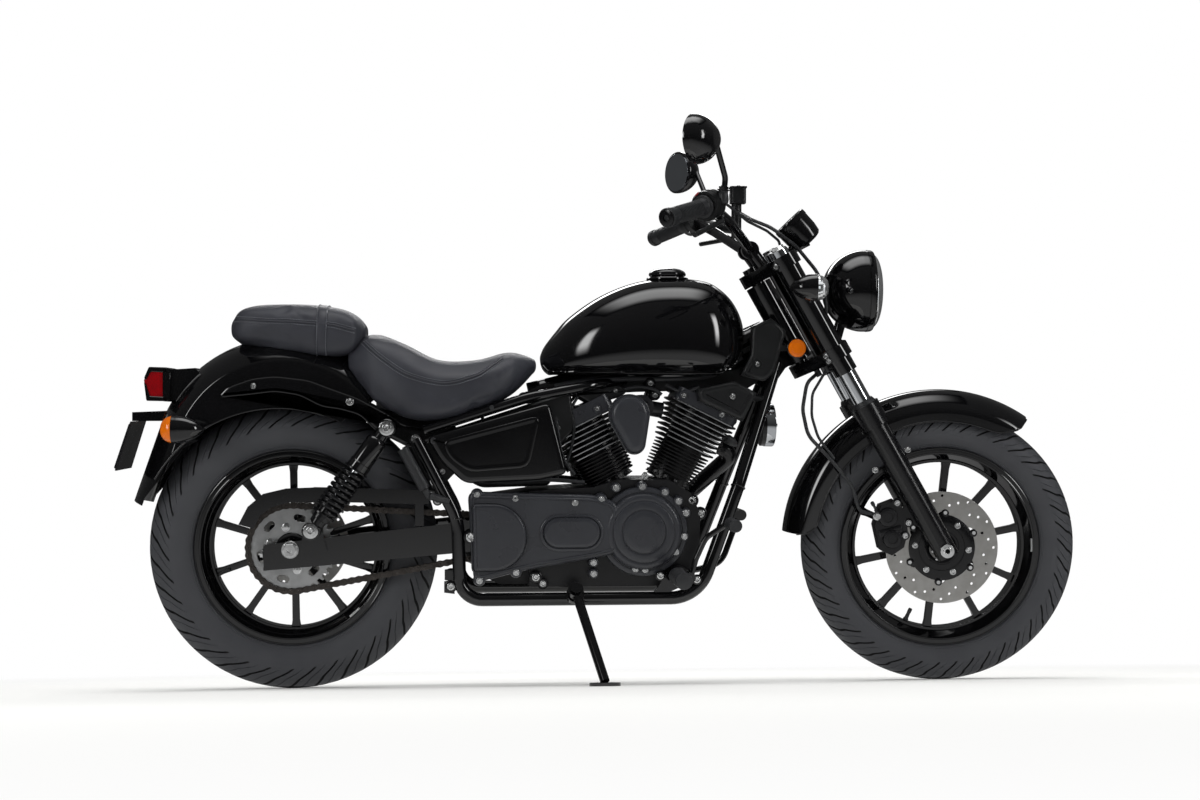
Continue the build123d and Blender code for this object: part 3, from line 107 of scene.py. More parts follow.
class Coat(Enum):
    """The finishes on the shelf, each named for its material."""

    ENAMEL = "stoved_gloss_enamel"
    POWDER = "satin_powder_coat"
    CAST = "sand_cast_engine_enamel"
    COVER = "die_cast_cover_enamel"
    BRIGHT_EDGE = "machined_aluminium_edge"
    CHROME = "hard_chrome_plate"
    ROTOR = "ground_stainless_rotor"
    ZINC = "bright_zinc_screw"
    CHAIN = "oiled_chain_steel"
    ALLOY = "satin_sprocket_alloy"
    VINYL = "grained_vinyl_leatherette"
    THREAD = "bonded_nylon_thread"
    # the same tyre rubber, darkened as painted shade in the grooves
    PAINTED_GROOVE_SHADE = "groove_rubber"
    TYRE = "carbon_black_tyre_rubber"
    RUBBER = "moulded_epdm_rubber"
    ABS = "spark_textured_abs"
    GLOSS_ABS = "polished_abs"
    CLEAR = "clear_polycarbonate"
    # the red and amber lens coats glow with painted light though their lamps are off
    RED = "red_acrylic_lens"
    AMBER = "amber_acrylic_lens"
    MIRROR = "silvered_float_glass"
    REFLECTOR = "vapour_aluminised_bowl"
    DIAL = "printed_dial_face"
    INK = "screen_printed_dial_ink"
    BULB = "frosted_bulb_glass"


# ---------------------------------------------------------------- colour and shader helpers
def linear(hex_colour: str) -> tuple[float, float, float, float]:
    """Turns an sRGB hex colour into the linear values that a shader takes.

    Args:
        hex_colour: Six hex digits after a hash.

    Returns:
        Red, green, blue and an alpha of one.
    """
    digits = hex_colour.lstrip("#")
    parts = [int(digits[i : i + 2], 16) / 255 for i in (0, 2, 4)]
    red, green, blue = (c / 12.92 if c <= 0.04045 else ((c + 0.055) / 1.055) ** 2.4 for c in parts)
    return red, green, blue, 1.0


def add_node(tree: bpy.types.NodeTree, kind: str, inputs: dict | None = None, **settings) -> bpy.types.Node:
    """Adds a shader node with its settings, values and links.

    Args:
        tree: The node tree that takes it.
        kind: Blender's name for the node type.
        inputs: Values, or output sockets to link, by socket name or number.
        **settings: The node's own properties.

    Returns:
        The new node.
    """
    made = tree.nodes.new(kind)
    for name, value in settings.items():
        setattr(made, name, value)
    for key, value in (inputs or {}).items():
        if isinstance(value, bpy.types.NodeSocket):
            tree.links.new(value, made.inputs[key])
        else:
            made.inputs[key].default_value = value
    return made


def maths(tree: bpy.types.NodeTree, operation: str, *values: float | bpy.types.NodeSocket) -> bpy.types.NodeSocket:
    """Adds a maths node on those values or sockets, and returns its result."""
    return add_node(tree, "ShaderNodeMath", dict(enumerate(values)), operation=operation).outputs[0]


def mapped(
    tree: bpy.types.NodeTree, value: bpy.types.NodeSocket, limits: Flat, results: Flat = (0.0, 1.0), **settings
) -> bpy.types.NodeSocket:
    """Maps a value from one pair of limits to another, held at both ends."""
    inputs = {0: value, 1: limits[0], 2: limits[1], 3: results[0], 4: results[1]}
    return add_node(tree, "ShaderNodeMapRange", inputs, **settings).outputs[0]


def bare_material(name: str) -> tuple[bpy.types.Material, bpy.types.NodeTree]:
    """Makes a material with an empty node tree, and returns both."""
    material = bpy.data.materials.new(name)
    material.use_nodes = True
    material.node_tree.nodes.clear()
    return material, material.node_tree


def glow(tree: bpy.types.NodeTree, strength: float | bpy.types.NodeSocket) -> bpy.types.NodeSocket:
    """Adds a white light of that strength, and returns its shader."""
    return add_node(tree, "ShaderNodeEmission", {"Color": WHITE, "Strength": strength}).outputs[0]


def per_metre(size_mm: float) -> float:
    """The scale of a pattern whose repeat has that real size in millimetres."""
    return MM_PER_M / size_mm


# ---------------------------------------------------------------- finishes
@dataclass(frozen=True)
class Finish:
    """A surface: what it is made of, and the fine detail that its making leaves.

    The roughness wanders by `smudge` over patches of `smudge_mm`, the colour wanders towards `second`
    by `tint`, and a grain of `grain_mm` is raised by `grain_height` millimetres.
    """

    coat: Coat
    colour: str
    roughness: float
    metallic: float = 0.0
    ior: float | None = None
    clear_coat: float = 0.0
    second: str | None = None
    tint: float = 0.4
    smudge: float = 0.04
    smudge_mm: float = 45.0
    grain_mm: float = 1.0
    grain_height: float = 0.02
    transmission: float = 0.0
    # painted glow: the surface gives off its own colour as light, though it is no lit lamp
    painted_glow: float = 0.0

    def build(self) -> bpy.types.Material:
        """Makes the material."""
        material = bpy.data.materials.new(self.coat.value)
        material.use_nodes = True
        material.diffuse_color = linear(self.colour)
        tree = material.node_tree
        shader = tree.nodes["Principled BSDF"]
        shader.inputs["Base Color"].default_value = linear(self.colour)
        shader.inputs["Roughness"].default_value = self.roughness
        shader.inputs["Metallic"].default_value = self.metallic
        shader.inputs["Coat Weight"].default_value = self.clear_coat
        shader.inputs["Transmission Weight"].default_value = self.transmission
        if self.ior is not None:
            shader.inputs["IOR"].default_value = self.ior
        # painted glow: light given off by the surface itself, not by any lamp
        if self.painted_glow:
            shader.inputs["Emission Color"].default_value = linear(self.colour)
            shader.inputs["Emission Strength"].default_value = self.painted_glow
        self.dress(tree, shader, add_node(tree, "ShaderNodeTexCoord").outputs["Object"])
        return material

    def dress(self, tree: bpy.types.NodeTree, shader: bpy.types.Node, place: bpy.types.NodeSocket) -> None:
        """Adds colour, roughness and bump detail.

        Args:
            tree: The material's node tree.
            shader: Its Principled BSDF.
            place: The coordinates, in metres.
        """
        patches = self.noise(tree, place, self.smudge_mm, 4.0)
        self.spread_roughness(tree, shader, patches)
        if self.second:
            self.wander(tree, shader, patches)
        self.raise_grain(tree, shader, self.noise(tree, place, self.grain_mm, 2.0))

    def noise(
        self, tree: bpy.types.NodeTree, place: bpy.types.NodeSocket, size_mm: float, detail: float
    ) -> bpy.types.NodeSocket:
        """Adds a noise whose patches have that size, and returns its value."""
        inputs = {"Vector": place, "Scale": per_metre(size_mm), "Detail": detail}
        return add_node(tree, "ShaderNodeTexNoise", inputs).outputs[0]

    def spread_roughness(
        self, tree: bpy.types.NodeTree, shader: bpy.types.Node, value: bpy.types.NodeSocket
    ) -> None:
        """Lets the roughness wander either side of its value."""
        low, high = max(self.roughness - self.smudge, 0.0), self.roughness + self.smudge
        tree.links.new(mapped(tree, value, (0.3, 0.7), (low, high)), shader.inputs["Roughness"])

    def wander(
        self, tree: bpy.types.NodeTree, shader: bpy.types.Node, value: bpy.types.NodeSocket
    ) -> None:
        """Lets the colour wander towards the second colour."""
        share = mapped(tree, value, (0.35, 0.7), (0.0, self.tint))
        inputs = {0: share, 6: linear(self.colour), 7: linear(self.second or self.colour)}
        mixed = add_node(tree, "ShaderNodeMix", inputs, data_type="RGBA")
        tree.links.new(mixed.outputs[2], shader.inputs["Base Color"])

    def raise_grain(
        self, tree: bpy.types.NodeTree, shader: bpy.types.Node, value: bpy.types.NodeSocket
    ) -> None:
        """Raises the grain as a bump."""
        inputs = {"Height": value, "Distance": self.grain_height / MM_PER_M}
        tree.links.new(add_node(tree, "ShaderNodeBump", inputs).outputs[0], shader.inputs["Normal"])


@dataclass(frozen=True)
class Leatherette(Finish):
    """Vinyl with an embossed hide grain: dull, with fine creases between soft pebbles."""

    crease_mm: float = 2.6

    def dress(self, tree: bpy.types.NodeTree, shader: bpy.types.Node, place: bpy.types.NodeSocket) -> None:
        """Adds the pebbles over the usual patches."""
        patches = self.noise(tree, place, self.smudge_mm, 4.0)
        self.spread_roughness(tree, shader, patches)
        self.wander(tree, shader, patches)
        inputs = {"Vector": place, "Scale": per_metre(self.crease_mm), "Randomness": 1.0}
        pebbles = add_node(tree, "ShaderNodeTexVoronoi", inputs, feature="SMOOTH_F1").outputs["Distance"]
        fine = self.noise(tree, place, self.grain_mm, 3.0)
        height = maths(tree, "SUBTRACT", pebbles, fine)
        self.raise_grain(tree, shader, mapped(tree, height, (-0.6, 0.6), (1.0, 0.0)))


@dataclass(frozen=True)
class GroundRotor(Finish):
    """Disc steel ground in circles: fine rings about the axle, which smear a highlight along a radius."""

    centre: Point = (0.0, 0.0, 0.0)
    axis: Point = (0.0, 1.0, 0.0)
    ring_mm: float = 1.4

    def dress(self, tree: bpy.types.NodeTree, shader: bpy.types.Node, place: bpy.types.NodeSocket) -> None:
        """Adds rings by the distance from the axle, and cloudy wear."""
        away = add_node(tree, "ShaderNodeVectorMath", {0: place, 1: self.centre}, operation="SUBTRACT")
        along = add_node(tree, "ShaderNodeVectorMath", {0: away.outputs[0], 1: self.axis}, operation="DOT_PRODUCT")
        inputs = {0: self.axis, "Scale": along.outputs["Value"]}
        shift = add_node(tree, "ShaderNodeVectorMath", inputs, operation="SCALE")
        inputs = {0: away.outputs[0], 1: shift.outputs[0]}
        flat = add_node(tree, "ShaderNodeVectorMath", inputs, operation="SUBTRACT")
        radius = add_node(tree, "ShaderNodeVectorMath", {0: flat.outputs[0]}, operation="LENGTH")
        inputs = {"W": radius.outputs["Value"], "Scale": per_metre(self.ring_mm), "Detail": 2.0}
        rings = add_node(tree, "ShaderNodeTexNoise", inputs, noise_dimensions="1D").outputs[0]
        self.spread_roughness(tree, shader, rings)
        self.wander(tree, shader, self.noise(tree, place, self.smudge_mm, 4.0))
        self.raise_grain(tree, shader, rings)


@dataclass(frozen=True)
class TyreRubber(Finish):
    """Vulcanised rubber: dull grey-black, mottled by bloom, with the mould's fine texture."""

    speckle_mm: float = 7.0

    def dress(self, tree: bpy.types.NodeTree, shader: bpy.types.Node, place: bpy.types.NodeSocket) -> None:
        """Adds bloom at two sizes and the mould's texture."""
        broad = self.noise(tree, place, self.smudge_mm, 4.0)
        speckle = self.noise(tree, place, self.speckle_mm, 5.0)
        self.wander(tree, shader, maths(tree, "MULTIPLY", maths(tree, "ADD", broad, speckle), 0.5))
        self.spread_roughness(tree, shader, speckle)
        self.raise_grain(tree, shader, self.noise(tree, place, self.grain_mm, 3.0))


def finish_shelf(centre: Point, axis: Point) -> dict[Coat, bpy.types.Material]:
    """Makes every finish.

    Args:
        centre: The front disc's centre in metres.
        axis: The direction of its axle.

    Returns:
        The materials by their coat.
    """
    finishes = [
        # stoved enamel over steel: a deep black that mirrors the room, with a slight orange peel
        Finish(
            Coat.ENAMEL, "#060607", 0.07, ior=1.5, second="#0b0b0d", smudge=0.02, smudge_mm=160,
            grain_mm=9.0, grain_height=0.004, clear_coat=0.35,
        ),
        # powder baked on steel and cast alloy: black with a broad soft sheen and a leathery ripple
        Finish(
            Coat.POWDER, "#08080a", 0.21, ior=1.45, second="#0f0f11", smudge=0.05, smudge_mm=60,
            grain_mm=1.6, grain_height=0.012,
        ),
        # heat-proof enamel on a sand casting: darker, and rough to the eye
        Finish(
            Coat.CAST, "#0b0b0d", 0.36, ior=1.45, second="#161619", smudge=0.07, smudge_mm=30,
            grain_mm=1.1, grain_height=0.06,
        ),
        # enamel on smooth die castings: charcoal with a silky highlight
        Finish(
            Coat.COVER, "#27282c", 0.3, ior=1.5, second="#303237", smudge=0.05, smudge_mm=70,
            grain_mm=0.9, grain_height=0.015,
        ),
        # fin edges cut back to bare metal: bright, with the cutter's fine lines
        Finish(
            Coat.BRIGHT_EDGE, "#c2c4c6", 0.3, metallic=1.0, second="#8f9194", smudge=0.1, smudge_mm=12,
            grain_mm=0.7, grain_height=0.01,
        ),
        # hard chrome on ground steel: a cold mirror that only smears a little
        Finish(
            Coat.CHROME, "#c6c9cc", 0.09, metallic=1.0, second="#b0b4b8", smudge=0.03, smudge_mm=40,
            grain_mm=0.8, grain_height=0.002,
        ),
        # stainless steel ground in circles: pale and satin, with a highlight that smears along a radius
        GroundRotor(
            Coat.ROTOR, "#b9b8b5", 0.38, metallic=1.0, second="#98958f", smudge=0.08, smudge_mm=22,
            grain_height=0.01, centre=centre, axis=axis,
        ),
        # zinc plate on screws: pale and satin, slightly cloudy
        Finish(
            Coat.ZINC, "#e4e5e5", 0.24, metallic=1.0, second="#a8a9a8", smudge=0.04, smudge_mm=20,
            grain_mm=0.6, grain_height=0.001,
        ),
        # blued steel under old oil: brown-black, shiny where the oil lies
        Finish(
            Coat.CHAIN, "#4b4744", 0.36, metallic=0.85, second="#2a2724", smudge=0.14, smudge_mm=9,
            grain_mm=1.2, grain_height=0.03,
        ),
        # blanked alloy plate: pale grey, matt from tumbling
        Finish(
            Coat.ALLOY, "#c0c1c1", 0.42, metallic=1.0, second="#8e8f8f", smudge=0.08, smudge_mm=26,
            grain_mm=0.8, grain_height=0.012,
        ),
        # embossed vinyl: charcoal and dull, pebbled like hide
        Leatherette(
            Coat.VINYL, "#292a30", 0.5, ior=1.48, second="#34363d", smudge=0.06, smudge_mm=55,
            grain_mm=0.7, grain_height=0.11,
        ),
        # bonded nylon: a slightly shiny twist, a shade paler than the vinyl
        Finish(Coat.THREAD, "#5a5c62", 0.5, ior=1.53, second="#2b2c30", grain_mm=0.5, grain_height=0.05),
        # tyre rubber: dusty grey-black, with hardly a highlight
        TyreRubber(
            Coat.TYRE, "#313236", 0.62, ior=1.52, second="#404144", tint=0.5, smudge=0.08, smudge_mm=70,
            grain_mm=0.9, grain_height=0.04,
        ),
        # down in the tread: dead black rubber, painted shade where the light hardly reaches
        Finish(Coat.PAINTED_GROOVE_SHADE, "#0a0a0b", 0.8, ior=1.4),
        # moulded rubber: near black, a little smoother than the tyres
        Finish(
            Coat.RUBBER, "#1c1d1f", 0.5, ior=1.52, second="#212225", smudge=0.08, smudge_mm=24,
            grain_mm=0.7, grain_height=0.04,
        ),
        # ABS out of a spark-eroded tool: dull, evenly pebbled
        Finish(
            Coat.ABS, "#0d0e0f", 0.4, ior=1.47, second="#151618", smudge=0.04, smudge_mm=50,
            grain_mm=0.8, grain_height=0.035,
        ),
        # ABS out of a polished tool: nearly as bright as enamel, with faint flow marks
        Finish(
            Coat.GLOSS_ABS, "#070708", 0.12, ior=1.53, second="#0c0c0d", smudge=0.03, smudge_mm=120,
            grain_mm=7.0, grain_height=0.005,
        ),
        # polycarbonate lens: clear, faintly cool, with a moulded ripple
        Finish(
            Coat.CLEAR, "#eef2f4", 0.04, ior=1.585, smudge=0.02, smudge_mm=30, grain_mm=6.0,
            grain_height=0.02, transmission=0.95,
        ),
        # dyed acrylic: deep red, glossy, with a painted glow in place of light scattered inside it
        Finish(
            Coat.RED, "#7d060c", 0.07, ior=1.49, second="#55040a", smudge=0.02, smudge_mm=14,
            grain_mm=5.0, grain_height=0.03, painted_glow=0.05,
        ),
        # dyed acrylic: warm amber, with a painted glow in place of light scattered inside it
        Finish(
            Coat.AMBER, "#cc6406", 0.08, ior=1.49, second="#a34a04", smudge=0.02, smudge_mm=14,
            grain_mm=5.0, grain_height=0.03, painted_glow=0.08,
        ),
        # silver behind float glass: a clean mirror
        Finish(
            Coat.MIRROR, "#b9bec4", 0.03, metallic=1.0, second="#a9aeb4", smudge=0.01, smudge_mm=60,
            grain_mm=30.0, grain_height=0.001,
        ),
        # aluminium vapour on a moulded bowl: bright, faintly hazy
        Finish(
            Coat.REFLECTOR, "#c9ccce", 0.14, metallic=1.0, second="#b4b7ba", smudge=0.04, smudge_mm=18,
            grain_mm=3.0, grain_height=0.01,
        ),
        # dial card: matt near-black
        Finish(Coat.DIAL, "#0c0d10", 0.55, second="#121419", grain_mm=0.6, grain_height=0.01),
        # white ink: flat and slightly raised
        Finish(Coat.INK, "#d8dad6", 0.5, second="#c4c6c2", grain_mm=0.5, grain_height=0.01),
        # frosted glass: white and soft
        Finish(Coat.BULB, "#dfe3e4", 0.3, ior=1.5, second="#cfd3d5", grain_mm=2.0, grain_height=0.01),
    ]
    return {finish.coat: finish.build() for finish in finishes}


# ---------------------------------------------------------------- working frames
@dataclass(frozen=True)
class WorkingFrames:
    """The matrices that carry millimetres on the upright machine to metres on the parked one."""

    chassis: Matrix
    steering: Matrix

    @classmethod
    def from_joints(cls, joints: Sequence[dict]) -> WorkingFrames:
        """Reads the machine's own directions off its joints.

        Args:
            joints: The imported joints, each with its position and axis.

        Returns:
            The working frames.
        """
        found = {joint["name"]: (Vector(joint["pos_m"]), Vector(joint["axis"]).normalized()) for joint in joints}
        rear, left = found["rear_wheel_spin"]
        pivot, steer = found["steering"]
        back = left.cross(steer).normalized()
        forward = math.cos(RAKE) * back - math.sin(RAKE) * steer
        up = math.sin(RAKE) * back + math.cos(RAKE) * steer
        origin = rear - up * (REAR_RADIUS / MM_PER_M)
        axes = Matrix((forward, left, up)).transposed().to_4x4()
        chassis = Matrix.Translation(origin) @ axes @ Matrix.Scale(1 / MM_PER_M, 4)
        turn = Matrix.Rotation(STEER_REST, 4, steer)
        return cls(chassis, Matrix.Translation(pivot) @ turn @ Matrix.Translation(-pivot) @ chassis)

    def of(self, body: Body) -> Matrix:
        """The working frame of a body at rest."""
        return self.steering if body in (Body.STEERING, Body.FRONT_WHEEL) else self.chassis


def on_fork(ahead: float, y: float, height: float) -> Vector:
    """A point along the fork: ahead of the legs, to the left, and up from the front axle."""
    sin_r, cos_r = math.sin(RAKE), math.cos(RAKE)
    return Vector((WHEELBASE + cos_r * ahead - sin_r * height, y, FRONT_RADIUS + sin_r * ahead + cos_r * height))


FORK_UP = Vector((-math.sin(RAKE), 0.0, math.cos(RAKE)))


# ---------------------------------------------------------------- drawing
def perpendicular(axis: Vector) -> tuple[Vector, Vector]:
    """Two unit directions square to an axis and to each other."""
    helper = UP if abs(axis.z) < 0.9 else AHEAD
    first = axis.cross(helper).normalized()
    return first, axis.cross(first).normalized()


def turned(first: Vector, second: Vector, angle: float) -> Vector:
    """The direction that lies at an angle from the first towards the second."""
    return first * math.cos(angle) + second * math.sin(angle)


def direction_at(angle: float) -> Vector:
    """The direction at an angle up from straight ahead, in the plane of the wheels."""
    return Vector((math.cos(angle), 0, math.sin(angle)))


def rectangle(half_width: float, half_height: float) -> list[Flat]:
    """The corners of a rectangle about its middle."""
    return [(half_width * a, half_height * b) for a, b in ((-1, -1), (1, -1), (1, 1), (-1, 1))]


def level_at(line: Sequence[Sequence[float]], x: float) -> float | None:
    """The second coordinate of a line where the first is x, or None beyond its ends."""
    for low, high in zip(line, line[1:]):
        if low[0] <= x <= high[0] and high[0] > low[0]:
            return low[1] + (high[1] - low[1]) * (x - low[0]) / (high[0] - low[0])
    return None


def eased(thickness: float, edge: float) -> list[Flat]:
    """The levels of a plate with eased edges: each is its height and how far the outline shrinks."""
    rise = [(0.0, edge), (edge * 0.3, edge * 0.3), (edge, 0.0)]
    return rise + [(thickness - lift, inset) for lift, inset in reversed(rise)]


def circle(centre: Vector, axis: Vector, radius: float, steps: int, sides: int = 0) -> list[Vector]:
    """Points round a circle, or round a regular polygon of that inner radius.

    Args:
        centre: The middle.
        axis: The direction that it faces.
        radius: To a point, or to the middle of a polygon's side.
        steps: The number of points.
        sides: The polygon's sides, or 0 for a circle.

    Returns:
        The points.
    """
    first, second = perpendicular(axis.normalized())
    points = []
    for step in range(steps):
        angle = 2 * math.pi * step / steps
        reach = radius
        if sides:
            part = 2 * math.pi / sides
            reach = radius / math.cos((angle % part) - part / 2)
        points.append(centre + turned(first, second, angle) * reach)
    return points


def smooth_line(points: Sequence[Sequence[float]], per_run: int = 8) -> list[Vector]:
    """A smooth curve through points.

    Args:
        points: What it passes through.
        per_run: Steps between two points.

    Returns:
        The curve's points.
    """
    given = [Vector(p) for p in points]
    out = []
    for run in range(len(given) - 1):
        p0, p1, p2, p3 = (given[min(max(run + shift, 0), len(given) - 1)] for shift in (-1, 0, 1, 2))
        for step in range(per_run):
            t = step / per_run
            out.append(
                0.5 * (2 * p1 + (p2 - p0) * t + (2 * p0 - 5 * p1 + 4 * p2 - p3) * t**2
                       + (3 * p1 - p0 - 3 * p2 + p3) * t**3)
            )
    out.append(given[-1])
    return out


def rounded(outline: Sequence[Flat], radius: float, steps: int = 5) -> list[Flat]:
    """An outline with its corners rounded.

    Args:
        outline: The corners in order.
        radius: How far back from each corner the rounding starts.
        steps: Points round each corner.

    Returns:
        The new outline.
    """
    out: list[Flat] = []
    count = len(outline)
    for index in range(count):
        corner = Vector(outline[index])
        before, after = Vector(outline[index - 1]) - corner, Vector(outline[(index + 1) % count]) - corner
        reach = min(radius, before.length * 0.48, after.length * 0.48)
        start, end = corner + before.normalized() * reach, corner + after.normalized() * reach
        for step in range(steps + 1):
            t = step / steps
            at = start * (1 - t) ** 2 + corner * (2 * t * (1 - t)) + end * t**2
            out.append((at.x, at.y))
    return out


def shrunk(outline: Sequence[Flat], distance: float) -> list[Flat]:
    """An outline moved inwards by a distance; negative moves it outwards."""
    count = len(outline)
    area = sum(
        outline[i][0] * outline[(i + 1) % count][1] - outline[(i + 1) % count][0] * outline[i][1]
        for i in range(count)
    )
    sign = 1 if area > 0 else -1
    out = []
    for i in range(count):
        previous, here, following = (Vector(outline[j % count]) for j in (i - 1, i, i + 1))
        first, second = (here - previous), (following - here)
        if first.length < 1e-6 or second.length < 1e-6:
            first = second = first if first.length > second.length else second
        first, second = first.normalized(), second.normalized()
        normal = Vector((-first.y - second.y, first.x + second.x)) * sign
        if normal.length < 1e-6:
            normal = Vector((-first.y, first.x)) * sign
        normal.normalize()
        side = Vector((-first.y, first.x)) * sign
        here = here + normal * (distance / max(normal.dot(side), 0.5))
        out.append((here.x, here.y))
    return out


class Shape:
    """A mesh being drawn, in millimetres on the upright machine."""

    def __init__(self) -> None:
        """Starts with nothing drawn."""
        self.points: list[Vector] = []
        self.faces: list[tuple[int, ...]] = []
        self.tones: list[int] = []

    def loft(self, rings: Sequence[Sequence[Vector]], tone: int = 0, looped: bool = False) -> None:
        """Joins closed rings of equally many points, and fills the first and the last.

        Args:
            rings: The rings in order.
            tone: Which of the piece's coats this takes.
            looped: Whether the last ring joins the first, so that neither is filled.
        """
        base, count = len(self.points), len(rings[0])
        for ring in rings:
            self.points.extend(Vector(p) for p in ring)
        for row in range(len(rings) if looped else len(rings) - 1):
            a, b = base + row * count, base + ((row + 1) % len(rings)) * count
            for step in range(count):
                following = (step + 1) % count
                self.faces.append((a + step, a + following, b + following, b + step))
        if not looped:
            end = base + (len(rings) - 1) * count
            self.faces.append(tuple(range(base, base + count))[::-1])
            self.faces.append(tuple(range(end, end + count)))
        self.tones.extend([tone] * (len(self.faces) - len(self.tones)))

    def lathe(
        self, origin: Vector, axis: Vector, profile: Sequence[Flat], steps: int = 32, tone: int = 0,
        sides: dict[int, int] | None = None,
    ) -> None:
        """Turns a profile about an axis.

        Args:
            origin: The profile's zero.
            axis: The direction along which the profile runs.
            profile: Distances along the axis, each with its radius.
            steps: Points round.
            tone: Which of the piece's coats this takes.
            sides: Rings that are polygons, by their number in the profile.
        """
        direction = Vector(axis).normalized()
        rings = [
            circle(Vector(origin) + direction * along, direction, max(radius, 0.01), steps, (sides or {}).get(i, 0))
            for i, (along, radius) in enumerate(profile)
        ]
        self.loft([ring[::-1] for ring in rings], tone)

    def tube(
        self, path: Sequence[Vector], radius: float | Sequence[float], sides: int = 12, tone: int = 0,
        looped: bool = False,
    ) -> None:
        """Sweeps a circle along a path.

        Args:
            path: The path's points.
            radius: One radius, or one for each point.
            sides: Points round.
            tone: Which of the piece's coats this takes.
            looped: Whether the path closes on itself.
        """
        points = [Vector(p) for p in path]
        count = len(points)
        radii = [radius] * count if isinstance(radius, (int, float)) else list(radius)
        rings, first = [], None
        for index, at in enumerate(points):
            after = points[(index + 1) % count] if looped or index < count - 1 else at
            before = points[index - 1] if looped or index > 0 else at
            heading = (after - before).normalized()
            if first is None:
                first = perpendicular(heading)[0]
            first = (first - heading * first.dot(heading)).normalized()
            second = heading.cross(first)
            rings.append([
                at + turned(first, second, a) * radii[index]
                for a in (2 * math.pi * s / sides for s in range(sides))
            ])
        self.loft(rings, tone, looped=looped)

    def relief(self, outline: Sequence[Flat], levels: Sequence[Flat], tone: int = 0) -> None:
        """Adds a closed form over an X-Z outline: each level is its Y and how far the outline shrinks.

        Args:
            outline: The outline's points.
            levels: The levels in order, from one face to the other.
            tone: Which of the piece's coats this takes.
        """
        flats = [(levels[0][0], levels[0][1] + 0.4), *levels, (levels[-1][0], levels[-1][1] + 0.4)]
        self.loft([[Vector((x, y, z)) for x, z in shrunk(outline, inset)] for y, inset in flats], tone)

    def slab(
        self, outline: Sequence[Flat], start: float, end: float, edge: float = 1.2, tone: int = 0
    ) -> None:
        """Adds a plate with an X-Z outline and eased edges.

        Args:
            outline: The outline's points.
            start: The Y of its first face.
            end: The Y of its second face.
            edge: How far the edges are eased.
            tone: Which of the piece's coats this takes.
        """
        turn = 1 if end > start else -1
        levels = [(start + turn * lift, inset) for lift, inset in eased(abs(end - start), edge)]
        self.relief(outline, levels, tone)

    def slab_on(
        self, at: Vector, normal: Vector, right: Vector, outline: Sequence[Flat], thickness: float,
        edge: float = 1.0, tone: int = 0,
    ) -> None:
        """Adds a plate with eased edges that stands on any plane.

        Args:
            at: The outline's zero.
            normal: The direction in which the plate grows.
            right: The outline's first direction.
            outline: The outline's points.
            thickness: How thick it is.
            edge: How far the edges are eased.
            tone: Which of the piece's coats this takes.
        """
        upward = normal.cross(right).normalized()
        self.loft([
            [at + right * x + upward * z + normal * lift for x, z in shrunk(outline, inset)]
            for lift, inset in eased(thickness, edge)
        ], tone)

    def screw(self, at: Sequence[float], axis: Sequence[float], radius: float, tone: int = 0) -> None:
        """Adds a socket-head screw on its washer, standing on a surface."""
        r = radius * 0.86
        profile = [
            (-1.0, r * 1.32), (0.9, r * 1.32), (1.3, r * 1.22), (1.3, r * 1.02), (r * 0.75, r), (r * 0.9, r * 0.86),
            (r * 0.9, r * 0.52), (r * 0.86, r * 0.46), (r * 0.45, r * 0.44), (r * 0.44, 0.0),
        ]
        self.lathe(Vector(at), Vector(axis), profile, 24, tone, {7: 6, 8: 6})

    def hexagon(self, at: Sequence[float], axis: Sequence[float], radius: float, height: float, tone: int = 0) -> None:
        """Adds a hexagon nut with a washer and a stub of thread."""
        profile = [
            (-1.0, radius * 1.35), (1.6, radius * 1.35), (1.8, radius), (height, radius), (height + 0.6, radius * 0.9),
            (height + 0.6, radius * 0.55), (height + 3.0, radius * 0.52), (height + 3.4, 0.0),
        ]
        self.lathe(Vector(at), Vector(axis), profile, 24, tone, {2: 6, 3: 6})


WELD_GAP_M = 0.00002
EASED_FROM = math.radians(38)


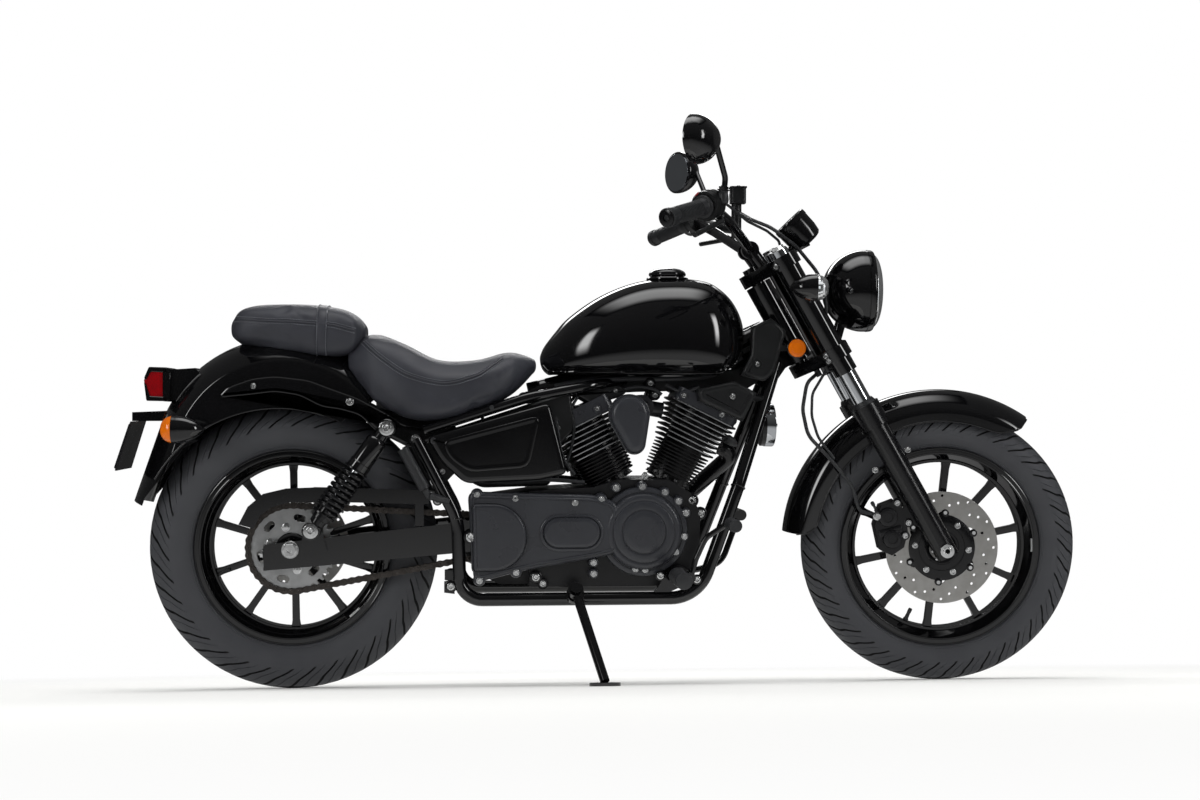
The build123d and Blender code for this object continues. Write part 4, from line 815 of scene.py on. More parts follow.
@dataclass
class Workshop:
    """Where pieces are made: the frames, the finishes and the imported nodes."""

    frames: WorkingFrames
    coats: dict[Coat, bpy.types.Material]
    nodes: dict[str, bpy.types.Object]

    def mesh(self, name: str, shape: Shape, body: Body, coats: Sequence[Coat], smooth: float) -> bpy.types.Object:
        """Turns a drawn shape into an object in place, riding on nothing yet."""
        matrix = self.frames.of(body)
        data = bpy.data.meshes.new(name)
        data.from_pydata([matrix @ p for p in shape.points], [], shape.faces)
        for coat in coats:
            data.materials.append(self.coats[coat])
        data.polygons.foreach_set("material_index", shape.tones)
        data.validate()
        data.shade_smooth()
        data.set_sharp_from_angle(angle=math.radians(smooth))
        data.update()
        piece = bpy.data.objects.new(name, data)
        bpy.context.scene.collection.objects.link(piece)
        return piece

    def piece(
        self, name: str, shape: Shape, body: Body, coats: Sequence[Coat], slot: str,
        replaces: Sequence[str] = (), smooth: float = 40.0, subdivide: int = 0,
    ) -> bpy.types.Object:
        """Makes a finished piece.

        Args:
            name: The piece's name.
            shape: What was drawn.
            body: The body that it rides.
            coats: Its coats, in the order of the shape's tones.
            slot: A material slot's name; not used.
            replaces: The nodes that it stands for.
            smooth: The angle in degrees up to which faces shade as one surface.
            subdivide: Levels of subdivision.

        Returns:
            The piece.
        """
        made = self.mesh(name, shape, body, coats, smooth)
        if subdivide:
            level = made.modifiers.new("smooth_skin", "SUBSURF")
            level.levels = level.render_levels = subdivide
        return self.settle(made, body, replaces)

    def settle(
        self, made: bpy.types.Object, body: Body, replaces: Sequence[str] = ()
    ) -> bpy.types.Object:
        """Lets a piece ride on its body and what it stands for, and reports it."""
        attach(made, body.value)
        if replaces:
            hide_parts(*replaces)
        log.info("%s: %d faces on %s", made.name, len(made.data.polygons), body.value)
        return made

    def coat_node(self, node: str, coat: Coat, edge_mm: float = 0.0) -> None:
        """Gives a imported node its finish, and eases its edges.

        Args:
            node: The node's name.
            coat: Its finish.
            edge_mm: How far its edges are eased, or 0 to leave them.
        """
        thing = self.nodes[node]
        for place in thing.material_slots:
            place.material = self.coats[coat]
        if not thing.material_slots:
            thing.data.materials.append(self.coats[coat])
        if edge_mm:
            weld = thing.modifiers.new("weld", "WELD")
            weld.merge_threshold = WELD_GAP_M
            ease = thing.modifiers.new("eased_edges", "BEVEL")
            ease.width = edge_mm / MM_PER_M
            ease.segments = 2
            ease.limit_method = "ANGLE"
            ease.angle_limit = EASED_FROM
            ease.use_clamp_overlap = True
            ease.harden_normals = False
            shade = thing.modifiers.new("weighted_normals", "WEIGHTED_NORMAL")
            shade.keep_sharp = False
            shade.weight = 80


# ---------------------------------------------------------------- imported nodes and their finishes
NODE_COATS: dict[str, tuple[Coat, float]] = {
    # node: its coat, and how far its edges are eased in millimetres
    "frame_spine": (Coat.ENAMEL, 1.0), "frame_cradle_near": (Coat.ENAMEL, 0.8),
    "frame_cradle_far": (Coat.ENAMEL, 0.8), "rear_subframe": (Coat.ENAMEL, 1.6),
    "swingarm": (Coat.ENAMEL, 1.6), "rear_axle": (Coat.ZINC, 0.8), "chain_guard": (Coat.ENAMEL, 0.8),
    "rear_fender": (Coat.ENAMEL, 0.8), "mudflap": (Coat.ENAMEL, 0.8), "fuel_cap": (Coat.ENAMEL, 1.5),
    "side_covers": (Coat.GLOSS_ABS, 2.5), "crankcase": (Coat.CAST, 2.0), "engine_covers": (Coat.COVER, 2.0),
    "engine_cylinders": (Coat.CAST, 0.5), "head_covers": (Coat.COVER, 5.0), "air_cleaner": (Coat.COVER, 4.0),
    "frame_covers": (Coat.ABS, 2.0), "horn": (Coat.POWDER, 1.5), "exhaust": (Coat.POWDER, 0.0),
    "footpegs": (Coat.RUBBER, 1.5), "foot_controls": (Coat.ENAMEL, 1.2), "tail_bracket": (Coat.GLOSS_ABS, 2.5),
    "tail_lens": (Coat.RED, 2.5), "number_plate": (Coat.POWDER, 0.8), "rear_signals": (Coat.ENAMEL, 0.8),
    "amber_lenses": (Coat.AMBER, 0.8), "fork_clamps": (Coat.ENAMEL, 2.0), "fork_stanchions": (Coat.CHROME, 0.8),
    "fork_sliders": (Coat.POWDER, 1.2), "front_axle": (Coat.ZINC, 0.8), "brake_caliper": (Coat.CAST, 2.5),
    "front_fender": (Coat.ENAMEL, 0.8), "headlamp_shell": (Coat.ENAMEL, 1.0), "instrument": (Coat.GLOSS_ABS, 1.5),
    "front_signals": (Coat.ENAMEL, 0.8), "front_lenses": (Coat.CLEAR, 0.0), "handlebar": (Coat.ENAMEL, 0.8),
    "grips": (Coat.RUBBER, 1.2), "bar_controls": (Coat.ABS, 1.5), "mirrors": (Coat.ENAMEL, 0.8),
    "mirror_glass": (Coat.MIRROR, 0.4), "front_hoses": (Coat.RUBBER, 0.0), "front_rim": (Coat.ENAMEL, 1.2),
    "front_disc": (Coat.ROTOR, 0.4), "rear_rim": (Coat.ENAMEL, 1.2), "rear_disc": (Coat.ROTOR, 0.4),
    "rear_sprocket": (Coat.ALLOY, 0.5), "side_stand": (Coat.ENAMEL, 1.0), "drive_chain": (Coat.CHAIN, 0.0),
    "shocks": (Coat.ENAMEL, 0.8), "fuel_tank": (Coat.ENAMEL, 2.0), "rider_seat": (Coat.VINYL, 4.0),
    "pillion_seat": (Coat.VINYL, 4.0), "front_tyre": (Coat.TYRE, 0.0), "rear_tyre": (Coat.TYRE, 0.0),
}


# ---------------------------------------------------------------- studio
@dataclass
class Studio:
    """The plain studio: camera, lamps with their cards, pale floor, and dark drapes that only gloss sees.

    Each fade is a pair of distances from the middle of the set, in metres.
    """

    lens_mm: float = 52.5
    sensor_mm: float = 36.0
    sight_m: float = 60.0
    camera_at: Point = (337.4, -3829.0, 607.0)
    camera_turn: float = 4.85
    shift_y: float = 7.0 / 1200.0
    floor_half: float = 40.0
    floor_fade: Flat = (1.3, 3.4)
    pale: str = "#f4f4f2"
    drape_radius: float = 4.7
    drape_top: float = 4.5
    drape_glow: Flat = (0.035, 0.11)
    carpet_fade: Flat = (1.2, 3.0)
    carpet_glow: float = 0.5
    card_share: float = 0.62
    card_core: float = 0.25
    card_glow: float = 0.34

    def build(self, frames: WorkingFrames) -> None:
        """Sets up the whole studio.

        Args:
            frames: The working frames, since the camera stands square to the leaning machine.
        """
        self.camera(frames)
        self.world()
        self.floor()
        self.drapes()
        self.lamps()

    def camera(self, frames: WorkingFrames) -> None:
        """Makes the camera."""
        data = bpy.data.cameras.new("camera")
        data.lens, data.sensor_width, data.shift_y = self.lens_mm, self.sensor_mm, self.shift_y
        data.clip_end = self.sight_m
        thing = bpy.data.objects.new("camera", data)
        turn = math.radians(self.camera_turn)
        back = Vector((-math.sin(turn), -math.cos(turn), 0.0))
        right = Vector((math.cos(turn), -math.sin(turn), 0.0))
        looking = Matrix((right, UP, back)).transposed()
        axes = (frames.chassis.to_3x3() * MM_PER_M) @ looking
        thing.matrix_world = Matrix.Translation(frames.chassis @ Vector(self.camera_at)) @ axes.to_4x4()
        bpy.context.scene.collection.objects.link(thing)
        bpy.context.scene.camera = thing
        bpy.context.scene.view_settings.view_transform = "Standard"

    def seen_ray(self, tree: bpy.types.NodeTree) -> bpy.types.NodeSocket:
        """One for camera, glossy and transmission rays, and nought for the rest."""
        path = add_node(tree, "ShaderNodeLightPath").outputs
        first = maths(tree, "MAXIMUM", path["Is Camera Ray"], path["Is Glossy Ray"])
        return maths(tree, "MAXIMUM", first, path["Is Transmission Ray"])

    def world(self) -> None:
        """A soft grey world that shows as white."""
        world = bpy.data.worlds.new("studio_world")
        bpy.context.scene.world = world
        world.use_nodes = True
        tree = world.node_tree
        tree.nodes.clear()
        strength = mapped(tree, self.seen_ray(tree), (0.0, 1.0), (0.5, 1.0))
        light = add_node(tree, "ShaderNodeBackground", {"Color": WHITE, "Strength": strength})
        add_node(tree, "ShaderNodeOutputWorld", {"Surface": light.outputs[0]})

    def stage_mesh(self, name: str, points: Sequence[Point], faces: Sequence[tuple[int, ...]]) -> bpy.types.Object:
        """Makes a piece of the set, which isn't part of the machine."""
        data = bpy.data.meshes.new(name)
        data.from_pydata([Vector(p) for p in points], [], faces)
        data.shade_smooth()
        thing = bpy.data.objects.new(name, data)
        bpy.context.scene.collection.objects.link(thing)
        return thing

    def sheet(self, name: str, half: Flat, height: float = 0.0) -> bpy.types.Object:
        """Makes a flat rectangle of the set, with half its sides and its height in metres."""
        return self.stage_mesh(name, [(x, y, height) for x, y in rectangle(*half)], [(0, 1, 2, 3)])

    def for_gloss_only(self, thing: bpy.types.Object) -> None:
        """Hides a piece of the set from all but glossy rays."""
        thing.visible_camera = thing.visible_transmission = thing.visible_diffuse = thing.visible_shadow = False

    def floor(self) -> None:
        """A pale floor that keeps the shadow and fades to white away from the machine."""
        floor = self.sheet("studio_floor", (self.floor_half, self.floor_half))
        material, tree = bare_material("seamless_paper")
        place = add_node(tree, "ShaderNodeTexCoord").outputs["Object"]
        reach = add_node(tree, "ShaderNodeVectorMath", {0: place}, operation="LENGTH").outputs["Value"]
        share = maths(tree, "MULTIPLY", mapped(tree, reach, self.floor_fade), self.seen_ray(tree))
        paper = add_node(tree, "ShaderNodeBsdfDiffuse", {"Color": linear(self.pale)}).outputs[0]
        mixed = add_node(tree, "ShaderNodeMixShader", {0: share, 1: paper, 2: glow(tree, 1.0)})
        add_node(tree, "ShaderNodeOutputMaterial", {"Surface": mixed.outputs[0]})
        floor.data.materials.append(material)

    def drapes(self) -> None:
        """A dome for gloss alone: dark walls so that black stays black, over a carpet that glows near the machine."""
        steps = 48
        # height in metres, and share of the radius, from the middle of the carpet to the top
        levels = [
            (0.004, 0.12), (0.004, 0.6), (0.004, 1.0), (1.6, 1.0), (2.9, 0.93), (4.0, 0.7), (4.6, 0.36), (4.8, 0.04),
        ]
        points = [
            (math.cos(angle) * self.drape_radius * share, math.sin(angle) * self.drape_radius * share, height)
            for height, share in levels for angle in (2 * math.pi * step / steps for step in range(steps))
        ]
        faces = []
        for level in range(len(levels) - 1):
            for step in range(steps):
                a, b = level * steps + step, level * steps + (step + 1) % steps
                faces.append((a, b, b + steps, a + steps))
        drapes = self.stage_mesh("studio_drapes", points, faces)
        self.for_gloss_only(drapes)
        material, tree = bare_material("black_velvet")
        place = add_node(tree, "ShaderNodeTexCoord").outputs["Object"]
        height = add_node(tree, "ShaderNodeSeparateXYZ", {0: place}).outputs[2]
        high = mapped(tree, height, (0.0, self.drape_top), self.drape_glow)
        reach = add_node(tree, "ShaderNodeVectorMath", {0: place}, operation="LENGTH").outputs["Value"]
        near = mapped(tree, reach, self.carpet_fade, (self.carpet_glow, 0.0))
        light = glow(tree, maths(tree, "ADD", high, near))
        add_node(tree, "ShaderNodeOutputMaterial", {"Surface": light})
        drapes.data.materials.append(material)

    def lamps(self) -> None:
        """Area lamps overhead, each side of the camera, behind and low in front, all but the last with a card."""
        plan = [
            # name, place, what it points at, size, power
            ("overhead", (0.0, -0.2, 3.3), (0.0, 0.0, 0.4), (3.0, 1.8), 46.0),
            ("near_left", (-3.0, -2.5, 1.5), (-0.2, 0.0, 0.5), (0.7, 2.4), 40.0),
            ("near_right", (3.1, -2.3, 1.6), (0.2, 0.0, 0.5), (0.6, 2.4), 44.0),
            ("behind", (0.0, 2.7, 2.7), (0.0, 0.0, 0.6), (3.2, 0.6), 46.0),
            ("low_front", (0.0, -3.6, 0.35), (0.0, 0.0, 0.45), (3.0, 0.12), 5.0),
        ]
        for name, place, aim, size, power in plan:
            data = bpy.data.lights.new(name, "AREA")
            data.shape, data.size, data.size_y, data.energy = "RECTANGLE", size[0], size[1], power
            lamp = bpy.data.objects.new(name, data)
            lamp.location = Vector(place)
            lamp.rotation_euler = (Vector(aim) - Vector(place)).to_track_quat("-Z", "Y").to_euler()
            lamp.visible_glossy = False
            bpy.context.scene.collection.objects.link(lamp)
            if name != "low_front":
                self.card(lamp, size, power / (size[0] * size[1]))

    def card(self, lamp: bpy.types.Object, size: Flat, brightness: float) -> None:
        """Hangs a card before a lamp, which only gloss sees, brightest in its middle and fading to its edges."""
        half = size[0] * self.card_share, size[1] * self.card_share
        card = self.sheet(f"{lamp.name}_card", half, -0.02)
        card.location, card.rotation_euler = lamp.location, lamp.rotation_euler
        self.for_gloss_only(card)
        material, tree = bare_material(f"{lamp.name}_glow")
        place = add_node(tree, "ShaderNodeTexCoord").outputs["Object"]
        parts = add_node(tree, "ShaderNodeSeparateXYZ", {0: place}).outputs
        across, along = (
            mapped(
                tree, maths(tree, "ABSOLUTE", parts[axis]), (reach * self.card_core, reach), (1.0, 0.0),
                interpolation_type="SMOOTHERSTEP",
            )
            for axis, reach in enumerate(half)
        )
        strength = maths(tree, "MULTIPLY", maths(tree, "MULTIPLY", across, along), brightness * self.card_glow)
        add_node(tree, "ShaderNodeOutputMaterial", {"Surface": glow(tree, strength)})
        card.data.materials.append(material)


# ---------------------------------------------------------------- wheels
@dataclass
class Tyre:
    """A road tyre: round crown with a siped shoulder pattern, bulged walls with fine rings, wired bead."""

    name: str
    node: str
    body: Body
    centre: Point
    radius: float
    half_width: float
    bead: float
    pitches: int = 34
    groove: float = 4.6
    crown: float = 70.0
    tread: float = 46.0
    ring_groove: Flat = (0.16, 0.24)
    ring_band: float = 8.0
    wall_steps: int = 18
    shares: tuple[float, ...] = (0.0, 0.05, 0.075, 0.165, 0.19, 0.52, 0.54, 0.59, 0.61)
    depths: tuple[float, ...] = (0.0, 0.0, 1.0, 1.0, 0.0, 0.0, 0.45, 0.45, 0.0)

    def section(self) -> list[Flat]:
        """The outer profile from bead to bead, each point as (side, radius)."""
        shoulder = self.half_width * 0.8
        top = self.radius - self.crown
        shoulder_radius = top + math.sqrt(self.crown**2 - shoulder**2)
        seat, low = self.half_width * 0.7, self.bead + 8.0
        wall_radius = (shoulder_radius + low) / 2
        wall = []
        for step in range(self.wall_steps + 1):
            t = step / self.wall_steps
            reach = low + (shoulder_radius - low) * t
            edge = seat * (1 - t) + shoulder * t
            bulge = 1 - ((reach - wall_radius) / (shoulder_radius - wall_radius)) ** 2
            wall.append((edge + (self.half_width - (seat + shoulder) / 2) * bulge, reach))
        crown = []
        for step in range(1, 24):
            side = shoulder * (1 - 2 * step / 24)
            crown.append((side, top + math.sqrt(self.crown**2 - side**2)))
        return wall + crown + [(-side, reach) for side, reach in reversed(wall)]

    def depth_at(self, side: float, reach: float, deep: float) -> float:
        """How deep the pattern is cut at a point of the section."""
        share = abs(side) / self.half_width
        edge = self.radius - self.tread
        if reach < edge:
            return 1.4 if reach > edge - 30 else max(0.0, 1.4 * (reach - edge + 44) / 14)
        if share < self.ring_groove[0] and reach > self.radius - self.ring_band:
            return 0.0
        if self.ring_groove[0] <= share < self.ring_groove[1]:
            return self.groove * 0.85
        return self.groove * deep * (1.0 if reach > edge + 6 else 0.55)

    def build(self, shop: Workshop) -> None:
        """Builds the tyre."""
        section = self.section()
        centre, pitch = Vector(self.centre), 2 * math.pi / self.pitches
        shape, rings = Shape(), []
        for number in range(self.pitches):
            for share, deep in zip(self.shares, self.depths):
                ring = []
                for side, reach in section:
                    lean = abs(side) / self.half_width + max(0.0, (self.radius - 24 - reach) / 60)
                    hand = 0.5 if side > 0 else 0.0
                    angle = (number + share + hand * (lean > 0.2) + 0.85 * lean**1.5) * pitch
                    cut = self.depth_at(side, reach, deep)
                    steep = min(max((self.radius - 14 - reach) / 30, 0.0), 1.0) * 1.2
                    at = reach - cut * math.cos(steep)
                    aside = side - math.copysign(cut * math.sin(steep), side)
                    ring.append(centre + Vector((math.cos(angle) * at, aside, math.sin(angle) * at)))
                for side in (-0.7, -0.35, 0.0, 0.35, 0.7):
                    angle = (number + share + 0.85 * 0.7**1.5 + (0.5 if side > 0 else 0.0)) * pitch
                    out = Vector((math.cos(angle) * self.bead, side * self.half_width, math.sin(angle) * self.bead))
                    ring.append(centre + out)
                rings.append(ring[::-1])
        shape.loft(rings, looped=True)
        self.paint_groove_shade(shape, len(rings[0]), section)
        self.wall_rings(shape)
        shop.piece(self.name, shape, self.body, [Coat.TYRE, Coat.PAINTED_GROOVE_SHADE], "tyre", [self.node], smooth=32.0)

    def paint_groove_shade(self, shape: Shape, count: int, section: list[Flat]) -> None:
        """Gives the faces down in the pattern a dead black rubber, painted shade where the light doesn't reach."""
        floor = self.radius - self.tread
        for index in range(len(shape.tones)):
            row, step = divmod(index, count)
            place = (count - 2 - step) % count
            if place >= len(section) - 1:
                continue
            side, reach = section[place]
            share, (inner, outer) = abs(side) / self.half_width, self.ring_groove
            sipe = self.depths[row % len(self.depths)] > 0.5 and reach > floor
            if (sipe and share > inner) or (inner <= share < outer and reach > self.radius - self.ring_band):
                # painted shade: the groove faces take the dead black coat
                shape.tones[index] = 1

    def wall_rings(self, shape: Shape) -> None:
        """Adds the fitting line over the rim and the scuff ribs on both walls."""
        centre = Vector(self.centre)
        low = self.bead + 8.0
        section = self.section()
        for height, thick in ((4.0, 0.9), (8.0, 0.6)):
            at = min(section[: self.wall_steps + 1], key=lambda point: abs(point[1] - low - height))
            side = at[0] + 0.1
            for hand in (-1, 1):
                path = circle(centre + Vector((0, hand * side, 0)), LEFT, low + height, 96)
                shape.tube(path, thick, 6, looped=True)


@dataclass
class WheelTrim:
    """What a cast wheel carries: a valve, balance weights and the raised rings of its rim."""

    name: str
    body: Body
    centre: Point
    bead: float
    half_width: float
    valve_turn: float = 200.0

    def build(self, shop: Workshop) -> None:
        """Builds the valve, the rings and the weights."""
        shape, centre = Shape(), Vector(self.centre)
        turn = math.radians(self.valve_turn)
        out = direction_at(turn)
        foot = centre + out * (self.bead - 31) + Vector((0, -6, 0))
        axis = (-out * 0.97 + Vector((0, -0.24, 0))).normalized()
        profile = [(-4, 6), (0, 6), (2, 4.6), (14, 3.9), (15, 3.6), (15, 4.4), (24, 4.4), (25.5, 3.6), (25.5, 0)]
        shape.lathe(foot, axis, profile, 20)
        lip = self.half_width * 0.7 + 6.3
        for hand in (-1, 1):
            for reach, side in ((self.bead + 6.5, lip - 0.6), (self.bead - 3, lip - 1), (self.bead - 12, lip - 14)):
                ring = circle(centre + Vector((0, hand * side, 0)), LEFT, reach, 96)
                shape.tube(ring, 1.5, 8, tone=2, looped=True)
        for hand in (-1, 1):
            start = turn + 1.9
            path = [
                centre + Vector((math.cos(a) * (self.bead - 8), hand * (lip - 2.2), math.sin(a) * (self.bead - 8)))
                for a in (start + 0.012 * s for s in range(13))
            ]
            shape.tube(path, 2.6, 10, tone=1)
        shop.piece(self.name, shape, self.body, [Coat.RUBBER, Coat.ALLOY, Coat.ENAMEL], "rubber")


@dataclass
class DiscFixings:
    """The brake disc's carrier and its button screws."""

    name: str
    body: Body
    centre: Point
    face: float
    bolt_circle: float = 59.0
    phase: float = -5.0
    hand: int = -1

    def build(self, shop: Workshop) -> None:
        """Builds the carrier, its six screws and the buttons that hold the rotor."""
        shape, centre = Shape(), Vector(self.centre)
        axis = LEFT * self.hand
        base = centre + axis * self.face
        profile = [
            (-0.6, 28), (2.4, 28), (3.2, 29), (3.2, 36), (1.2, 38), (1.2, 50), (2.2, 51), (2.2, 67), (1.2, 68.5),
            (1.2, 72), (0.4, 73), (-0.6, 73),
        ]
        rings = [circle(base + axis * along, axis, reach, 64)[::-1] for along, reach in profile]
        shape.loft(rings, looped=True)
        for number in range(6):
            turn = math.radians(self.phase + 60 * number)
            out = direction_at(turn)
            shape.screw(base + out * self.bolt_circle + axis * 2.0, axis, 6.0, 1)
            between = turn + math.radians(30)
            out = direction_at(between)
            shape.lathe(base + out * 76, axis, [(-0.5, 8.4), (1.8, 8.4), (2.4, 7.4), (2.4, 0)], 24, 0)
            shape.lathe(base + out * 77, axis, [(2.0, 4.4), (3.2, 4.0), (3.2, 0)], 16, 1)
            shape.lathe(base + out * 59, axis, [(1.4, 9.5), (2.0, 9.2), (1.0, 8), (1.0, 0)], 24, 0)
        shop.piece(self.name, shape, self.body, [Coat.POWDER, Coat.ZINC], "satin_black")


@dataclass
class HubDetails:
    """The rear hub's sprocket nuts and the raised ring in their middle."""

    centre: Point = REAR_AXLE
    face: float = 82.0
    bolt_circle: float = 47.0

    def build(self, shop: Workshop) -> None:
        """Builds six nuts on the sprocket and the black ring in its middle."""
        shape, centre = Shape(), Vector(self.centre)
        axis = NEAR
        for number in range(6):
            turn = math.radians(45 + 60 * number)
            out = direction_at(turn)
            shape.hexagon(centre + out * self.bolt_circle + axis * self.face, axis, 7.0, 5.0, 1)
        rings = [
            circle(centre + axis * along, axis, reach, 48)[::-1]
            for along, reach in ((81.5, 34), (82.6, 34), (84.5, 32), (84.5, 23), (83.8, 21.4), (81.5, 21.4))
        ]
        shape.loft(rings, looped=True)
        shop.piece("sprocket_nuts", shape, Body.REAR_WHEEL, [Coat.POWDER, Coat.ZINC], "steel")


@dataclass
class RollerChain:
    """The drive chain as a fixed loop of plates, rollers and pins.

    Each roller and pin is given as half its width and its radius.
    """

    pitch: float = 15.875
    depth: float = 79.0
    rear_teeth: int = 36
    front_teeth: int = 15
    front_at: Flat = (446.0, 335.0)
    rear_at: Flat = (0.0, REAR_RADIUS)
    plate: float = 1.5
    plate_height: float = 7.2
    waist: float = 5.4
    outer_at: float = 5.6
    inner_at: float = 3.9
    roller: Flat = (3.8, 4.4)
    pin: Flat = (8.2, 2.4)

    def pins(self) -> list[Flat]:
        """The pin centres round the loop, one pitch apart."""
        rear = self.pitch / (2 * math.sin(math.pi / self.rear_teeth))
        front = self.pitch / (2 * math.sin(math.pi / self.front_teeth))
        dx, dz = self.front_at[0] - self.rear_at[0], self.front_at[1] - self.rear_at[1]
        length, slope = math.hypot(dx, dz), math.atan2(dz, dx)
        wrap = math.asin((rear - front) / length)
        upper, lower = slope + math.pi / 2 - wrap, slope - math.pi / 2 + wrap
        run = math.sqrt(length**2 - (rear - front) ** 2)
        points: list[Flat] = []
        for centre, reach, start, sweep in (
            (self.rear_at, rear, upper, 2 * math.pi - (upper - lower)), (self.front_at, front, lower, upper - lower),
        ):
            steps = round(sweep * reach / self.pitch)
            for step in range(steps):
                angle = start + sweep * step / steps
                points.append((centre[0] + reach * math.cos(angle), centre[1] + reach * math.sin(angle)))
            end = start + sweep
            other, other_reach = (self.front_at, front) if centre is self.rear_at else (self.rear_at, rear)
            a = (centre[0] + reach * math.cos(end), centre[1] + reach * math.sin(end))
            b = (other[0] + other_reach * math.cos(end), other[1] + other_reach * math.sin(end))
            steps = round(run / self.pitch)
            for step in range(steps):
                share = step / steps
                points.append((a[0] + (b[0] - a[0]) * share, a[1] + (b[1] - a[1]) * share))
        return points

    def link(self, shape: Shape, first: Flat, second: Flat, near: float) -> None:
        """Adds one figure-eight plate between two pins, starting at that depth."""
        a, b = Vector(first), Vector(second)
        along = (b - a).normalized()
        across = Vector((-along.y, along.x))
        outline = []
        for centre, sign in ((b, 1), (a, -1)):
            for step in range(-3, 4):
                angle = math.radians(step * 32)
                way = turned(along, across, angle) * sign
                at = centre + way * self.plate_height
                outline.append((at.x, at.y))
            middle = (a + b) / 2 + across * sign * self.waist
            outline.append((middle.x, middle.y))
        shape.slab(outline, -near, -(near + self.plate), 0.35)

    def build(self, shop: Workshop) -> None:
        """Builds every link."""
        shape, pins = Shape(), self.pins()
        count = len(pins)
        for number in range(count):
            here, following = pins[number], pins[(number + 1) % count]
            inset = self.inner_at if number % 2 else self.outer_at
            self.link(shape, here, following, self.depth + inset)
            self.link(shape, here, following, self.depth - inset - self.plate)
            at = Vector((here[0], 0, here[1]))
            half, reach = self.roller
            shape.lathe(at, NEAR, [(self.depth - half, reach), (self.depth + half, reach)], 10)
            half, reach = self.pin
            start, end = self.depth - half, self.depth + half
            shape.lathe(at, NEAR, [(start, 1.6), (start + 0.5, reach), (end - 0.5, reach), (end, 1.6)], 8)
        shop.piece("roller_chain", shape, Body.CHASSIS, [Coat.CHAIN], "chain_steel", ["drive_chain"], smooth=35.0)


# ---------------------------------------------------------------- suspension
@dataclass
class CoilShocks:
    """Two rear dampers: eyes, rod, body and dust cover, with a coil spring between two seats."""

    top: Flat = (203.0, 563.0)
    low: Flat = (47.0, 350.0)
    side: float = 160.0
    wire: float = 5.2
    coil: float = 22.3
    turns: float = 8.5

    def at(self, share: float, hand: int) -> Vector:
        """A point on a damper's axis."""
        x = self.low[0] + (self.top[0] - self.low[0]) * share
        return Vector((x, hand * self.side, self.low[1] + (self.top[1] - self.low[1]) * share))

    def build(self, shop: Workshop) -> None:
        """Builds both dampers."""
        for hand, name in ((-1, "near"), (1, "far")):
            shape = Shape()
            run = self.at(1, hand) - self.at(0, hand)
            length, axis = run.length, run.normalized()
            self.housing(shape, hand, axis, length)
            self.spring(shape, hand, axis, length)
            coats = [Coat.ENAMEL, Coat.POWDER, Coat.CHROME, Coat.ZINC, Coat.RUBBER]
            replaces = ["shocks"] if hand < 0 else []
            shop.piece(f"coil_shock_{name}", shape, Body.CHASSIS, coats, "satin_black", replaces, smooth=38.0)

    def housing(self, shape: Shape, hand: int, axis: Vector, length: float) -> None:
        """Adds the eyes, rod, body, dust cover and spring seats."""
        low = self.at(0, hand)
        cover = [
            (0.60, 15), (0.60, 22.5), (0.605, 24.4), (0.66, 24.4), (0.665, 23.2), (0.86, 22.6), (0.885, 20),
            (0.9, 14), (0.94, 13),
        ]
        shape.lathe(low, axis, [(s * length, r) for s, r in cover], 40, 0)
        shape.lathe(low, axis, [(0.05 * length, 8), (0.94 * length, 8)], 20, 2)
        body = [
            (0.06, 12), (0.07, 16.5), (0.11, 17), (0.115, 20.5), (0.15, 20.5), (0.155, 27.2), (0.17, 27.2),
            (0.172, 15.5), (0.33, 15.5), (0.335, 13), (0.335, 8),
        ]
        shape.lathe(low, axis, [(s * length, r) for s, r in body], 40, 1)
        seat = [(0.588, 12), (0.588, 27.2), (0.6, 27.2), (0.602, 12)]
        shape.lathe(low, axis, [(s * length, r) for s, r in seat], 40, 1)
        inner_top, inner_low = self.side - 15.7, 132.3
        for share, inner in ((1.0, inner_top), (0.0, inner_low)):
            eye = self.at(share, hand)
            side = LEFT * hand
            base = Vector((eye.x, 0, eye.z))
            ring = [
                (self.side - 13, 12), (self.side - 13, 17.4), (self.side - 11.6, 18.8), (self.side + 11.6, 18.8),
                (self.side + 13, 17.4), (self.side + 13, 12),
            ]
            shape.lathe(base, side, ring, 40, 0)
            shape.lathe(base, side, [(inner, 12.6), (self.side + 13.6, 12.6), (self.side + 13.6, 8)], 32, 4)
            shape.lathe(
                base, side,
                [(self.side + 13.2, 15.4), (self.side + 15.0, 15.4), (self.side + 15.4, 14.6), (self.side + 15.4, 9)],
                32, 3,
            )
            shape.screw(base + side * (self.side + 15.2), side, 8.2, 3)

    def spring(self, shape: Shape, hand: int, axis: Vector, length: float) -> None:
        """Adds the coil."""
        first, second = perpendicular(axis)
        low = self.at(0, hand)
        start, end = 0.175 * length + self.wire, 0.588 * length - self.wire
        steps = int(self.turns * 26)
        path = []
        for step in range(steps + 1):
            share = step / steps
            angle = share * self.turns * 2 * math.pi
            way = turned(first, second, angle)
            path.append(low + axis * (start + (end - start) * share) + way * self.coil)
        shape.tube(path, self.wire, 10, 1)


# ---------------------------------------------------------------- soft and painted bodywork
class Skin:
    """A finished pad's surface, met by rays in millimetres on the upright machine."""

    def __init__(self, pad: bpy.types.Object, frame: Matrix) -> None:
        """Reads the surface as it now is."""
        self.tree = BVHTree.FromObject(pad, bpy.context.evaluated_depsgraph_get())
        self.frame, self.back = frame, frame.inverted()

    def meet(self, start: Vector, way: Vector) -> tuple[Vector, Vector] | None:
        """Sends a ray at the surface.

        Args:
            start: Where the ray starts.
            way: Its direction.

        Returns:
            Where it meets the surface and the normal there, or None if it misses.
        """
        hit, normal, _, _ = self.tree.ray_cast(self.frame @ start, (self.frame.to_3x3() @ way).normalized())
        return None if hit is None else (self.back @ hit, (self.back.to_3x3() @ normal).normalized())


